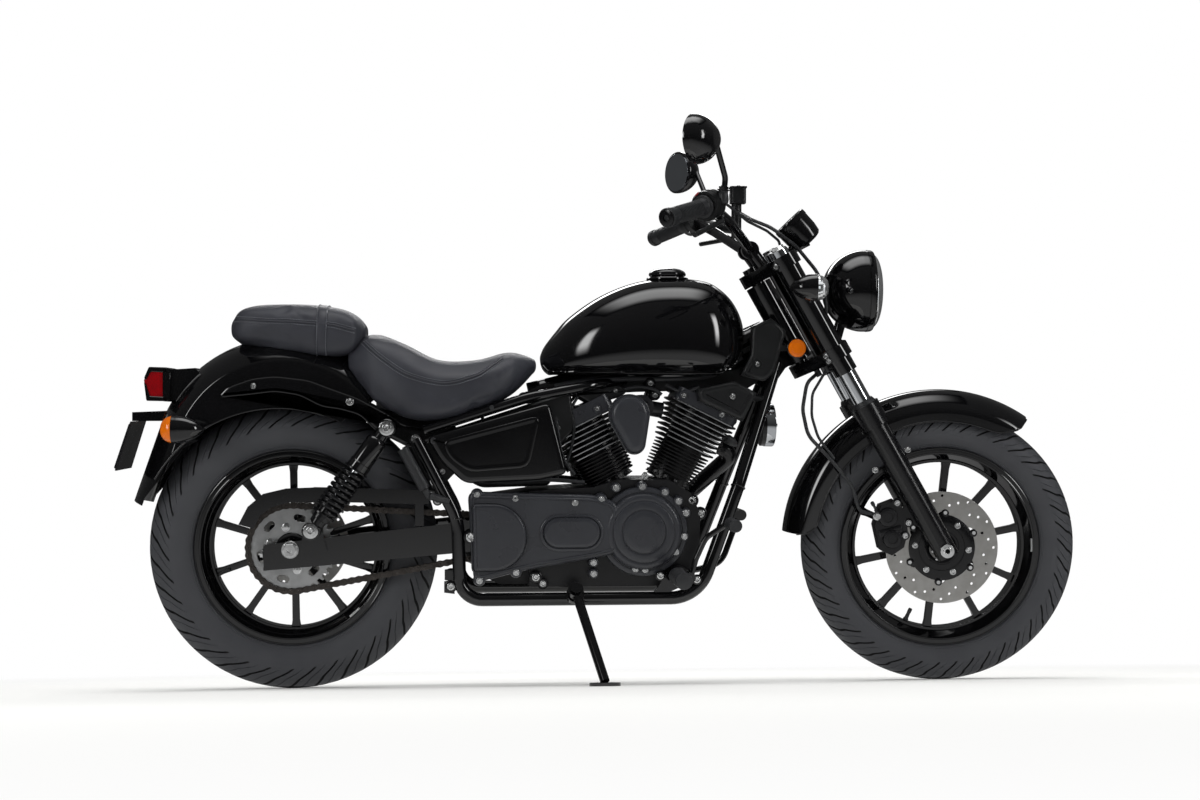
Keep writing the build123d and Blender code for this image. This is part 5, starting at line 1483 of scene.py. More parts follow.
@dataclass
class SeatPad:
    """A padded seat: a lofted foam body, blown up a little by cloth, with sewn seams laid on afterwards.

    Each station is (x, underside, top, half width) in millimetres. The mudguard below is a ring about
    `fender_at`, whose `fender_arch` is its radius and that of its rounded section. `strap` is the strap's
    place at its top, how far it leans back below, and its width.
    """

    name: str
    node: str
    stations: list[tuple[float, float, float, float]]
    seams: list[list[Flat]]
    crown: float = 0.05
    bulge_cap: float = 7.0
    fill: float = 0.75
    fender_at: Flat = (-19.0, 478.0)
    fender_arch: Flat = (163.4, 116.6)
    fender_half: float = 100.0
    fender_gap: float = 4.0
    strap: tuple[float, float, float] | None = None
    strap_centre: float = 762.0
    voxel_m: float = 0.005
    pressure: float = 4.0
    stiffness: float = 18.0
    shear: float = 6.0
    blowing_frames: int = 20

    def underside(self, x: float, y: float, z: float) -> float:
        """Lifts an underside point clear of the mudguard."""
        if abs(y) > self.fender_half:
            return z
        arch, section = self.fender_arch
        reach = arch + math.sqrt(max(section**2 - y * y, 0.0)) + self.fender_gap
        across = x - self.fender_at[0]
        if abs(across) >= reach:
            return z
        return max(z, self.fender_at[1] + math.sqrt(reach**2 - across**2))

    def ring(self, x: float, low: float, high: float, half: float) -> list[Vector]:
        """One section: a flat underside, full flanks and a crowned top with soft shoulders."""
        points, middle = [], (low + high) / 2
        for step in range(40):
            angle = 2 * math.pi * step / 40
            c, s = math.cos(angle), math.sin(angle)
            power = 2 / 3.4 if s > 0 else 2 / 5.0
            y = half * math.copysign(abs(c) ** power, c)
            z = middle + (high - low) / 2 * math.copysign(abs(s) ** power, s)
            if s > 0:
                z += self.crown * (high - low) * (1 - (y / half) ** 2) - self.crown * (high - low)
            elif s < 0:
                z = self.underside(x, y, z)
            points.append(Vector((x, y, z)))
        return points

    def profile(self) -> list[tuple[float, float, float, float]]:
        """The stations, smoothed and closed at both ends."""
        rows = []
        line = smooth_line([Vector((x, low, high)) for x, low, high, _ in self.stations], 5)
        halves = smooth_line([Vector((x, half, 0)) for x, _, _, half in self.stations], 5)
        for at, wide in zip(line, halves):
            rows.append((at.x, at.y, at.z, wide.y))
        first, last = rows[0], rows[-1]
        ends = []
        for row, way in ((first, -1), (last, 1)):
            x, low, high, half = row
            middle, reach = (low + high) / 2, (high - low) / 2
            ends.append([
                (x + way * 5 * math.sin(t), middle - reach * (0.55 + 0.45 * math.cos(t)),
                 middle + reach * (0.55 + 0.45 * math.cos(t)), half * (0.8 + 0.2 * math.cos(t)))
                for t in (math.radians(a) for a in (30, 60, 90))
            ])
        return ends[0][::-1] + rows + ends[1]

    def build(self, shop: Workshop) -> None:
        """Builds the pad, then its seams and its strap."""
        shape = Shape()
        shape.loft([self.ring(*row) for row in self.profile()])
        pad = shop.mesh(self.name, shape, Body.CHASSIS, [Coat.VINYL], 70.0)
        pad = self.blown(pad, shop)
        shop.settle(pad, Body.CHASSIS, [self.node])
        skin = Skin(pad, shop.frames.of(Body.CHASSIS))
        self.sew(shop, skin)
        if self.strap is not None:
            self.buckle_down(shop, skin, *self.strap)

    def buckle_down(self, shop: Workshop, skin: Skin, top: float, lean: float, width: float) -> None:
        """Lays the passenger's strap over the skin, where rays towards the pad's middle meet it.

        Args:
            shop: The workshop.
            skin: The finished pad's surface.
            top: The strap's place at its top.
            lean: How far it leans back below.
            width: Its width.
        """
        rings = []
        for step in range(61):
            turn = math.radians(-28 + 236 * step / 60)
            way = Vector((0, math.cos(turn), math.sin(turn)))
            edges = []
            for share in (-0.5, -0.42, 0.0, 0.42, 0.5):
                middle = Vector((top + width * share - lean * (1 - math.sin(turn)) / 2, 0, self.strap_centre))
                met = skin.meet(middle + way * 300, -way)
                if met is not None:
                    edges.append((met[0], 0.4 if abs(share) == 0.5 else 2.0))
            if len(edges) == 5:
                rings.append([p + way * lift for p, lift in edges] + [p - way * 2.0 for p, _ in reversed(edges)])
        shape = Shape()
        shape.loft(rings)
        for column in (1, 3):
            places = [ring[column] for ring in rings]
            self.stitch_row(shape, [(p, (p - Vector((p.x, 0, self.strap_centre))).normalized()) for p in places])
        coats = [Coat.VINYL, Coat.THREAD]
        shop.piece(f"{self.name}_strap", shape, Body.CHASSIS, coats, "seat_leather", smooth=50.0)

    def blown(self, pad: bpy.types.Object, shop: Workshop) -> bpy.types.Object:
        """Remeshes the pad and inflates it with cloth, so that it crowns between its edges."""
        scene = bpy.context.scene
        remesh = pad.modifiers.new("remesh", "REMESH")
        remesh.mode, remesh.voxel_size = "VOXEL", self.voxel_m
        self.bake(pad)
        rest = [v.co.copy() for v in pad.data.vertices]
        cloth = pad.modifiers.new("cloth", "CLOTH")
        cloth.settings.use_pressure = True
        cloth.settings.uniform_pressure_force = self.pressure
        cloth.settings.effector_weights.gravity = 0.0
        cloth.settings.tension_stiffness = cloth.settings.compression_stiffness = self.stiffness
        cloth.settings.shear_stiffness = self.shear
        for number in range(self.blowing_frames):
            scene.frame_set(number + 1)
        self.bake(pad)
        scene.frame_set(1)
        cap = self.bulge_cap / MM_PER_M
        for vertex, start in zip(pad.data.vertices, rest):
            move = vertex.co - start
            if move.length > cap:
                vertex.co = start + move.normalized() * cap
        soften = pad.modifiers.new("soften", "SMOOTH")
        soften.iterations = 4
        level = pad.modifiers.new("smooth_skin", "SUBSURF")
        level.levels = level.render_levels = 1
        self.bake(pad)
        pad.data.materials.clear()
        pad.data.materials.append(shop.coats[Coat.VINYL])
        pad.data.shade_smooth()
        return pad

    def bake(self, pad: bpy.types.Object) -> None:
        """Turns the pad's modifiers into its mesh."""
        graph = bpy.context.evaluated_depsgraph_get()
        made = bpy.data.meshes.new_from_object(pad.evaluated_get(graph))
        pad.modifiers.clear()
        pad.data = made

    def sew(self, shop: Workshop, skin: Skin) -> None:
        """Lays piping and stitches on the skin where a ray from each side meets it."""
        shape = Shape()
        for seam in self.seams:
            line = smooth_line([Vector((x, z, 0)) for x, z in seam], 10)
            for hand in (-1, 1):
                found = (skin.meet(Vector((at.x, hand * 400, at.y)), LEFT * -hand) for at in line)
                places = [met for met in found if met is not None]
                if len(places) < 4:
                    continue
                shape.tube([p + n * 0.3 for p, n in places], 1.9, 8)
                self.stitches(shape, places)
        coats = [Coat.VINYL, Coat.THREAD]
        shop.piece(f"{self.name}_seams", shape, Body.CHASSIS, coats, "seat_leather", smooth=60.0)

    def stitches(self, shape: Shape, skin: list[tuple[Vector, Vector]]) -> None:
        """Adds a row of short stitches each side of a seam."""
        for gap in (-5.5, 5.5):
            row = []
            for index, (at, normal) in enumerate(skin):
                after = skin[min(index + 1, len(skin) - 1)][0] - skin[max(index - 1, 0)][0]
                across = normal.cross(after.normalized()).normalized()
                row.append((at + across * gap, normal))
            self.stitch_row(shape, row)

    def stitch_row(self, shape: Shape, row: list[tuple[Vector, Vector]], pitch: float = 6.0) -> None:
        """Adds short stitches along a row of places, each with the skin's normal."""
        travelled = 0.0
        for (start, first), (end, _) in zip(row, row[1:]):
            run = (end - start).length
            while travelled < run:
                way = (end - start) / max(run, 0.001)
                low = start + way * travelled
                high = low + way * pitch * 0.66
                shape.tube([low - first * 0.9, low + first * 0.35, high + first * 0.35, high - first * 0.9], 0.85, 4, 1)
                travelled += pitch
            travelled -= run


@dataclass
class FuelTank:
    """The teardrop tank: one smooth pressed skin over a rolled seam flange, open below for the frame."""

    top: list[Flat] = field(default_factory=lambda: [
        (530, 716), (539, 738), (565, 772), (590, 800), (645, 840), (702, 868), (757, 884), (811, 889), (860, 888),
        (899, 881), (925, 866), (946, 847), (960, 827), (968, 811), (975, 790), (979, 766),
    ])
    bottom: list[Flat] = field(default_factory=lambda: [
        (530, 716), (533, 696), (545, 680), (570, 676), (888, 674), (920, 679), (944, 690), (960, 708), (972, 735),
        (979, 766),
    ])
    half: list[Flat] = field(default_factory=lambda: [
        (530, 10), (540, 34), (562, 60), (590, 84), (645, 112), (702, 130), (757, 139), (811, 142), (860, 140),
        (899, 130), (925, 117), (946, 98), (962, 72), (972, 48), (979, 12),
    ])
    backbone: list[Flat] = field(default_factory=lambda: [
        (506.0, 636.0), (650.0, 672.0), (930.0, 724.0), (1062.0, 790.0),
    ])
    clearance: float = 28.5
    tunnel_half: float = 29.0
    tail: float = 530.5
    nose: float = 978.5

    def value(self, table: list[Flat], x: float) -> float:
        """Reads a smooth table at x."""
        line = smooth_line([Vector((a, b, 0)) for a, b in table], 12)
        found = level_at(line, x)
        if found is None:
            return line[0].y if x < line[0].x else line[-1].y
        return found

    def tunnel(self, x: float) -> float:
        """The height of the channel's roof over the backbone."""
        found = level_at(self.backbone, x)
        return 690.0 if found is None else found + self.clearance

    def station(self, x: float) -> list[Vector]:
        """One section: fuller above its seam than below it."""
        high, low, half = self.value(self.top, x), self.value(self.bottom, x), self.value(self.half, x)
        seam = low + (high - low) * 0.36
        points = []
        steps = 56
        for step in range(steps):
            angle = 2 * math.pi * step / steps
            c, s = math.cos(angle), math.sin(angle)
            power = 2 / 2.25 if s > 0 else 2 / 3.6
            y = half * math.copysign(abs(c) ** power, c)
            reach = high - seam if s > 0 else seam - low
            z = seam + reach * math.copysign(abs(s) ** power, s)
            if s < 0 and abs(y) < self.tunnel_half:
                z = min(max(z, self.tunnel(x)), high - 4)
            points.append(Vector((x, y, z)))
        return points

    def build(self, shop: Workshop) -> None:
        """Builds the skin and the flange along its lower edge."""
        shape = Shape()
        shares = (0.5 - 0.5 * math.cos(math.pi * step / 60) for step in range(61))
        places = [self.tail + (self.nose - self.tail) * share for share in shares]
        shape.loft([self.station(x) for x in places])
        for hand in (-1, 1):
            path = []
            for x in places[4:-6]:
                ring = [p for p in self.station(x) if p.y * hand > 0]
                low = self.value(self.bottom, x)
                at = max((p for p in ring if p.z < low + 9), key=lambda p: abs(p.y), default=None)
                if at is not None:
                    path.append(at + Vector((0, hand * 0.6, -1.0)))
            shape.tube(smooth_line(path, 2), 2.6, 8)
        shop.piece(
            "tank_skin", shape, Body.CHASSIS, [Coat.ENAMEL], "gloss_black", ["fuel_tank"], smooth=42.0, subdivide=1
        )


@dataclass
class FuelCap:
    """The round filler cap: a low dome over its flange, with a lock cover."""

    at: Point = (811.0, 0.0, 886.3)
    flange: float = 46.0
    radius: float = 41.0
    height: float = 25.0

    def build(self, shop: Workshop) -> None:
        """Builds the cap."""
        shape, origin, axis = Shape(), Vector(self.at), UP
        shape.lathe(origin, axis, [(0, 44), (0, self.flange), (3.2, self.flange), (4.6, 44.6), (4.6, 36)], 72)
        profile = [(4.6, 36.0), (7.0, 36.4), (9.0, self.radius - 1), (11.5, self.radius)]
        for step in range(1, 9):
            turn = math.radians(step * 11.0)
            profile.append((11.5 + (self.height - 11.5) * math.sin(turn), self.radius * (0.35 + 0.65 * math.cos(turn))))
        profile.append((self.height + 0.2, 0.0))
        shape.lathe(origin, axis, profile, 96)
        top = origin + axis * (self.height - 0.4)
        shape.slab_on(top, axis, AHEAD, [(-9, -4), (7, -4), (9, 0), (7, 4), (-9, 4)], 1.8, 0.5, 1)
        shop.piece(
            "domed_cap", shape, Body.CHASSIS, [Coat.ENAMEL, Coat.CHROME], "gloss_black", ["fuel_cap"], smooth=34.0
        )


@dataclass
class SidePanels:
    """The two crowned side covers, each with a raised field, two rubber plugs and two mounts."""

    outline: list[Flat] = field(default_factory=lambda: [
        (284, 544), (544, 616), (582, 466), (523, 453), (366, 446), (314, 492),
    ])
    inset: list[Flat] = field(default_factory=lambda: [
        (318, 536), (524, 590), (500, 480), (374, 470), (332, 500),
    ])
    face: float = 134.0

    def build(self, shop: Workshop) -> None:
        """Builds both covers and their mounts."""
        for hand, name in ((-1, "near"), (1, "far")):
            shape = Shape()
            outline = rounded(self.outline, 16, 6)
            out = self.face
            levels = [(0, 3), (1.5, 0.6), (4, 0), (8, 0.4), (11.5, 2.6), (13.4, 6.5), (14.6, 12)]
            shape.relief(outline, [(hand * (out + y), gap) for y, gap in levels], 0)
            field_outline = rounded(self.inset, 22, 8)
            levels = [(11.0, -1.0), (15.4, -0.4), (16.9, 1.0), (17.4, 3.0), (17.2, 6.5), (16.6, 12)]
            shape.relief(field_outline, [(hand * (out + y), gap) for y, gap in levels], 0)
            for x, z in ((300, 536), (556, 476)):
                shape.lathe(
                    Vector((x, hand * (out + 12), z)), LEFT * hand,
                    [(0, 7), (1.4, 7), (2.0, 6), (2.0, 3), (1.2, 2.6), (1.2, 0)], 20, 1,
                )
            for at, z in ((398, 560), (414, 600)):
                start = Vector((at + 8, hand * (out + 2), z + 6))
                shape.tube([start, start - Vector((0, hand * 10, 0))], 5, 12, 1)
            replaces = ["side_covers"] if hand < 0 else []
            shop.piece(
                f"side_panel_{name}", shape, Body.CHASSIS, [Coat.GLOSS_ABS, Coat.RUBBER], "gloss_plastic", replaces,
                smooth=50.0,
            )


@dataclass
class MudguardTrim:
    """The rear mudguard's pressed strut plates, rolled edges and screws."""

    half: float = 99.0
    edge_at: Flat = (-26.0, 311.0)
    edge_radius: float = 294.0
    strut: list[Flat] = field(default_factory=lambda: [
        (-151, 626), (-129, 650), (-79, 668), (-32, 673), (37, 665), (84, 647), (140, 627), (208, 590), (234, 570),
        (290, 562), (344, 582), (344, 558), (286, 530), (250, 520), (178, 556), (145, 590), (103, 602), (65, 607),
        (19, 631), (-32, 639), (-88, 632),
    ])

    def build(self, shop: Workshop) -> None:
        """Builds the trim of both sides."""
        shape = Shape()
        for hand in (-1, 1):
            outline = rounded(self.strut, 14, 5)
            start = hand * (self.half + 8.0)
            levels = [(start, 1.4), (start + hand * 1.2, 2.4), (start + hand * 2.0, 5.0), (start + hand * 2.2, 8.0)]
            shape.relief(outline, levels, 0)
            shape.tube([Vector((x, start + hand * 0.8, z)) for x, z in shrunk(outline, 2.0)], 2.0, 8, looped=True)
            edge = []
            for step in range(33):
                angle = math.radians(-72 + 91 * step / 32)
                x = self.edge_at[0] + self.edge_radius * math.sin(angle)
                z = self.edge_at[1] + self.edge_radius * math.cos(angle)
                edge.append(Vector((x, hand * (self.half - 0.6), z)))
            edge = [p for p in edge if p.z > 455 and p.x < 128]
            shape.tube(edge, 2.6, 10, 0)
            for x, z, size in ((-77, 651, 5.2), (124, 618, 7.0)):
                shape.screw((x, hand * (self.half + 10.2), z), LEFT * hand, size, 1)
        shop.piece("rear_guard_trim", shape, Body.CHASSIS, [Coat.ENAMEL, Coat.ZINC], "gloss_black", smooth=40.0)


@dataclass
class FrontGuard:
    """The front mudguard: a round crown over straight skirts that sweep up to meet it at both ends."""

    crown: float = 345.0
    arch: float = 73.7
    half: float = 67.0
    shoulder: float = 302.0
    skirt: float = 276.0
    start: float = 56.0
    end: float = 175.0
    wall: float = 3.0
    front_sweep: float = 13.0
    rear_sweep: float = 7.0

    def lower_edge(self, turn: float) -> float:
        """How far from the axle the skirt's edge lies at an angle in degrees."""
        low = self.skirt
        for away, sweep, top in (
            (turn - self.start, self.front_sweep, self.crown - 9),
            (self.end - turn, self.rear_sweep, self.shoulder + 16),
        ):
            if away < sweep:
                share = 1 - away / sweep
                low = max(low, self.skirt + (top - self.skirt) * (1 - math.sqrt(max(1 - share * share, 0.0))))
        return low

    def half_section(self, low: float, lift: float) -> list[Flat]:
        """One half of the section from the crown down, as (side, reach), with its face moved inwards by lift."""
        middle, arch, half = self.crown - self.arch, self.arch - lift, self.half - lift
        widest = math.asin(min(half / arch, 1.0))
        if low > self.shoulder:
            widest = min(widest, math.acos(min((low - middle) / self.arch, 1.0)))
        points = [(arch * math.sin(widest * k / 14), middle + arch * math.cos(widest * k / 14)) for k in range(15)]
        side, reach = points[-1]
        foot = min(low, reach - 0.4)
        return points + [(side, reach + (foot - reach) * share) for share in (0.3, 0.65, 1.0)]

    def build(self, shop: Workshop) -> None:
        """Sweeps the guard round the axle, then adds its rolled edge and a boss on each side."""
        shape, rings = Shape(), []
        centre = Vector(FRONT_AXLE)
        edges: dict[int, list[Vector]] = {-1: [], 1: []}
        for step in range(121):
            turn = self.start + (self.end - self.start) * step / 120
            way = direction_at(math.radians(turn))
            low = self.lower_edge(turn)
            outer, inner = self.half_section(low, 0.0), self.half_section(low, self.wall)
            flat = [(-y, r) for y, r in outer[::-1]] + outer[1:] + inner[::-1] + [(-y, r) for y, r in inner[1:]]
            rings.append([centre + way * r + Vector((0, y, 0)) for y, r in flat])
            for hand in (-1, 1):
                y, r = outer[-1]
                edges[hand].append(centre + way * (r + 1.5) + Vector((0, hand * (y - 1.4), 0)))
        shape.loft(rings)
        for hand in (-1, 1):
            shape.tube(edges[hand], 2.4, 10, 0)
            boss = [(-1, 9), (0.2, 14), (2.5, 14), (3.6, 12.6), (3.6, 9), (12, 9), (12, 0)]
            shape.lathe(on_fork(0, hand * (self.half - 1), 286), LEFT * hand, boss, 28, 0)
        shop.piece("front_guard", shape, Body.STEERING, [Coat.ENAMEL], "gloss_black", ["front_fender"], smooth=40.0)


# ---------------------------------------------------------------- engine
def on_side(x: float, y: float, z: float) -> Vector:
    """A point given by its X, its distance out from the middle plane on the stand side, and its Z."""
    return Vector((x, -y, z))


@dataclass
class PrimaryCovers:
    """The die-cast covers of the stand side: long case, D-shaped and oblong bosses, round clutch cover."""

    outline: list[Flat] = field(default_factory=lambda: [
        (371, 429), (643, 421), (690, 404), (690, 300), (664, 292), (489, 262), (384, 236),
    ])
    crank: Flat = (743.0, 343.0)
    bosses: list[Flat] = field(default_factory=lambda: [
        (391, 422), (471, 415), (597, 405), (653, 412), (473, 259), (396, 242),
    ])
    ring_bosses: list[Flat] = field(default_factory=lambda: [
        (685, 436), (741, 438), (789, 426), (818, 407), (834, 382), (830, 332), (812, 299), (747, 262), (726, 264),
        (637, 278), (637, 254),
    ])

    def build(self, shop: Workshop) -> None:
        """Builds the covers with their screws."""
        shape = Shape()
        levels = [(-118, 3), (-121, 0), (-140, 0), (-143, 0.6), (-146, 2.6), (-148, 6.0), (-148.6, 10)]
        shape.relief(rounded(self.outline, 20, 6), levels)
        rim = [(-146, -0.5), (-150, 0.3), (-151.2, 1.6), (-151.2, 4.2), (-150, 5.6), (-147, 6)]
        shape.relief(rounded(shrunk(self.outline, 7), 18, 6), rim)
        self.d_boss(shape)
        self.oblong(shape)
        self.clutch(shape)
        for x, z in self.bosses:
            self.boss(shape, x, z, 122, 148, 11.5)
        for x, z in self.ring_bosses:
            self.boss(shape, x, z, 112, 140, 10.0)
        shop.piece(
            "primary_cover", shape, Body.CHASSIS, [Coat.COVER, Coat.ZINC], "cover_grey", ["engine_covers"], smooth=36.0
        )

    def boss(self, shape: Shape, x: float, z: float, start: float, face: float, reach: float) -> None:
        """Adds a screw boss and its screw."""
        profile = [(start, reach + 2), (face - 3, reach), (face - 0.8, reach - 0.6), (face, reach - 2), (face, 0)]
        shape.lathe(Vector((x, 0, z)), NEAR, profile, 28)
        shape.screw(on_side(x, face, z), NEAR, 6.0, 1)

    def d_boss(self, shape: Shape) -> None:
        """Adds the D-shaped boss over the output sprocket."""
        arc = [
            (424 + 71 * math.cos(a), 333 + 71 * math.sin(a))
            for a in (math.radians(-90 + 180 * s / 20) for s in range(21))
        ]
        outline = rounded([(383, 262), *arc, (380, 404)], 8, 3)
        shape.relief(outline, [(-146, -4.0), (-149.4, -3.6), (-150.4, -2.4), (-150.4, -1.0), (-148, 0)])
        shape.relief(outline, [(-146, 0), (-153, 0.4), (-156.4, 1.8), (-158.2, 4.4), (-158.6, 8)])

    def oblong(self, shape: Shape) -> None:
        """Adds the oblong boss with its groove."""
        outline = []
        for middle, start in ((618, -90), (562, 90)):
            for step in range(13):
                turn = math.radians(start + 15 * step)
                outline.append((middle + 37 * math.cos(turn), 342 + 37 * math.sin(turn)))
        shape.relief(outline, [(-147, -2.5), (-151, -2), (-152.4, 0), (-152.4, 3), (-150.5, 5)])
        shape.relief(outline, [(-147, 5), (-154, 5.6), (-156.6, 7.0), (-157.8, 10), (-158, 14)])

    def clutch(self, shape: Shape) -> None:
        """Turns the round cover with its stepped rings."""
        base = on_side(self.crank[0], 116, self.crank[1])
        profile = [
            (0, 95), (18, 95), (21, 93), (22, 89), (22, 84.5), (20.5, 83.5), (20.5, 82), (27, 81), (31, 79),
            (34, 75), (35.2, 70), (34.4, 67.5), (34.4, 66), (37, 64.8), (38.6, 61), (39, 50), (38.6, 47.8),
            (37.6, 47), (37.6, 45.6), (40, 44.6), (41.4, 41), (41.6, 30), (41.6, 0),
        ]
        shape.lathe(base, NEAR, profile, 96)


@dataclass
class CylinderTrim:
    """What the two cylinders carry: machined fin edges, cover screws, base nuts, ribs and plug caps."""

    fin_pitch: float = 11.1
    fin_half_depth: float = 75.0
    tilt: float = 26.5
    crank_height: float = 343.0
    rows: list[tuple[float, int, float, int]] = field(default_factory=lambda: [(757, 1, 282, 8), (739, -1, 260, 7)])

    def frame(self, foot: float, forward: int) -> tuple[Vector, Vector, Vector]:
        """The foot of a cylinder, the direction across its fins, and its own direction."""
        turn = math.radians(self.tilt) * forward
        across = Vector((math.cos(turn), 0, -math.sin(turn)))
        return Vector((foot, 0, self.crank_height)), across, Vector((math.sin(turn), 0, math.cos(turn)))

    def build(self, shop: Workshop) -> None:
        """Builds the bright edges, then the fixings."""
        edges, fixings = Shape(), Shape()
        for foot, forward, top, count in self.rows:
            origin, across, along = self.frame(foot, forward)
            for number in range(count):
                reach = (158 - 4.6 * number) / 2 - 12
                height = top - number * self.fin_pitch - 1.7
                for hand in (-1, 1):
                    face = origin + along * height + Vector((0, hand * (self.fin_half_depth - 0.5), 0))
                    edges.slab_on(face, LEFT * hand, across, rectangle(reach, 1.25), 1.3, 0.3)
            self.fixings(fixings, origin, across, along, top, forward)
        shop.piece("bright_fin_edges", edges, Body.CHASSIS, [Coat.BRIGHT_EDGE], "fin_metal", smooth=30.0)
        coats = [Coat.COVER, Coat.ZINC, Coat.RUBBER, Coat.CAST]
        shop.piece("cylinder_fixings", fixings, Body.CHASSIS, coats, "engine_black", smooth=38.0)

    def fixings(
        self, shape: Shape, origin: Vector, across: Vector, along: Vector, top: float, forward: int
    ) -> None:
        """Adds the cover's screws on their bosses, the base nuts, three ribs over the lid and a plug cap."""
        for hand in (-1, 1):
            out = LEFT * hand
            for share in (-0.78, 0.5):
                at = origin + along * (top + 13) + across * (73 * share) + out * 70
                shape.lathe(at, out, [(0, 12), (5, 11), (6.6, 9.6), (6.6, 0)], 28, 0)
                shape.screw(at + out * 6.6, out, 5.4, 1)
            for share in (-0.62, -0.2, 0.22, 0.64):
                at = origin + along * 118 + across * (58 * share) + out * 64
                shape.hexagon(at, along, 6.0, 6.0, 3)
        for share in (-0.5, 0.0, 0.5):
            lift = 34 if forward < 0 else 28
            at = origin + along * (top + lift) + across * (70 * share)
            shape.slab_on(at, along, across, rectangle(5, 58), 4.0, 1.6, 0)
        plug = origin + along * (top - 24) + across * (forward * 70)
        way = (across * forward - along * 0.1).normalized()
        shape.lathe(
            plug, way, [(0, 8), (8, 8), (9, 10), (12, 11), (26, 10), (30, 7.5), (33, 7), (38, 4.4), (38, 0)], 28, 2
        )


@dataclass
class IntakeShell:
    """The teardrop intake cover: a crowned shell over a lipped back plate."""

    top: Point = (714.0, 590.0, 43.0)
    low: Point = (725.0, 530.0, 23.0)

    def outline(self) -> list[Flat]:
        """The hull of the two circles."""
        (ax, az, ar), (bx, bz, br) = self.top, self.low
        line = math.atan2(bz - az, bx - ax)
        wrap = math.acos((ar - br) / math.hypot(bx - ax, bz - az))
        points = []
        for (x, z, r), start, sweep in (
            ((ax, az, ar), line + wrap, 2 * math.pi - 2 * wrap), ((bx, bz, br), line - wrap, 2 * wrap),
        ):
            steps = 34 if r > 30 else 14
            for step in range(steps + 1):
                angle = start + sweep * step / steps
                points.append((x + r * math.cos(angle), z + r * math.sin(angle)))
        return points

    def build(self, shop: Workshop) -> None:
        """Builds the shell."""
        shape, outline = Shape(), self.outline()
        shape.relief(outline, [(-116, 3), (-118, -1.2), (-124, -1.6), (-126, -1.4), (-127, 0.6), (-127, 3)])
        levels = [(-126, 1.0), (-140, 1.4), (-146, 3.0), (-150, 6.2), (-152.6, 11), (-153.6, 17)]
        shape.relief(outline, levels)
        shape.screw(on_side(749, 114, 461), NEAR, 6.5, 1)
        shop.piece("intake_shell", shape, Body.CHASSIS, [Coat.COVER, Coat.ZINC], "cover_grey", smooth=50.0)


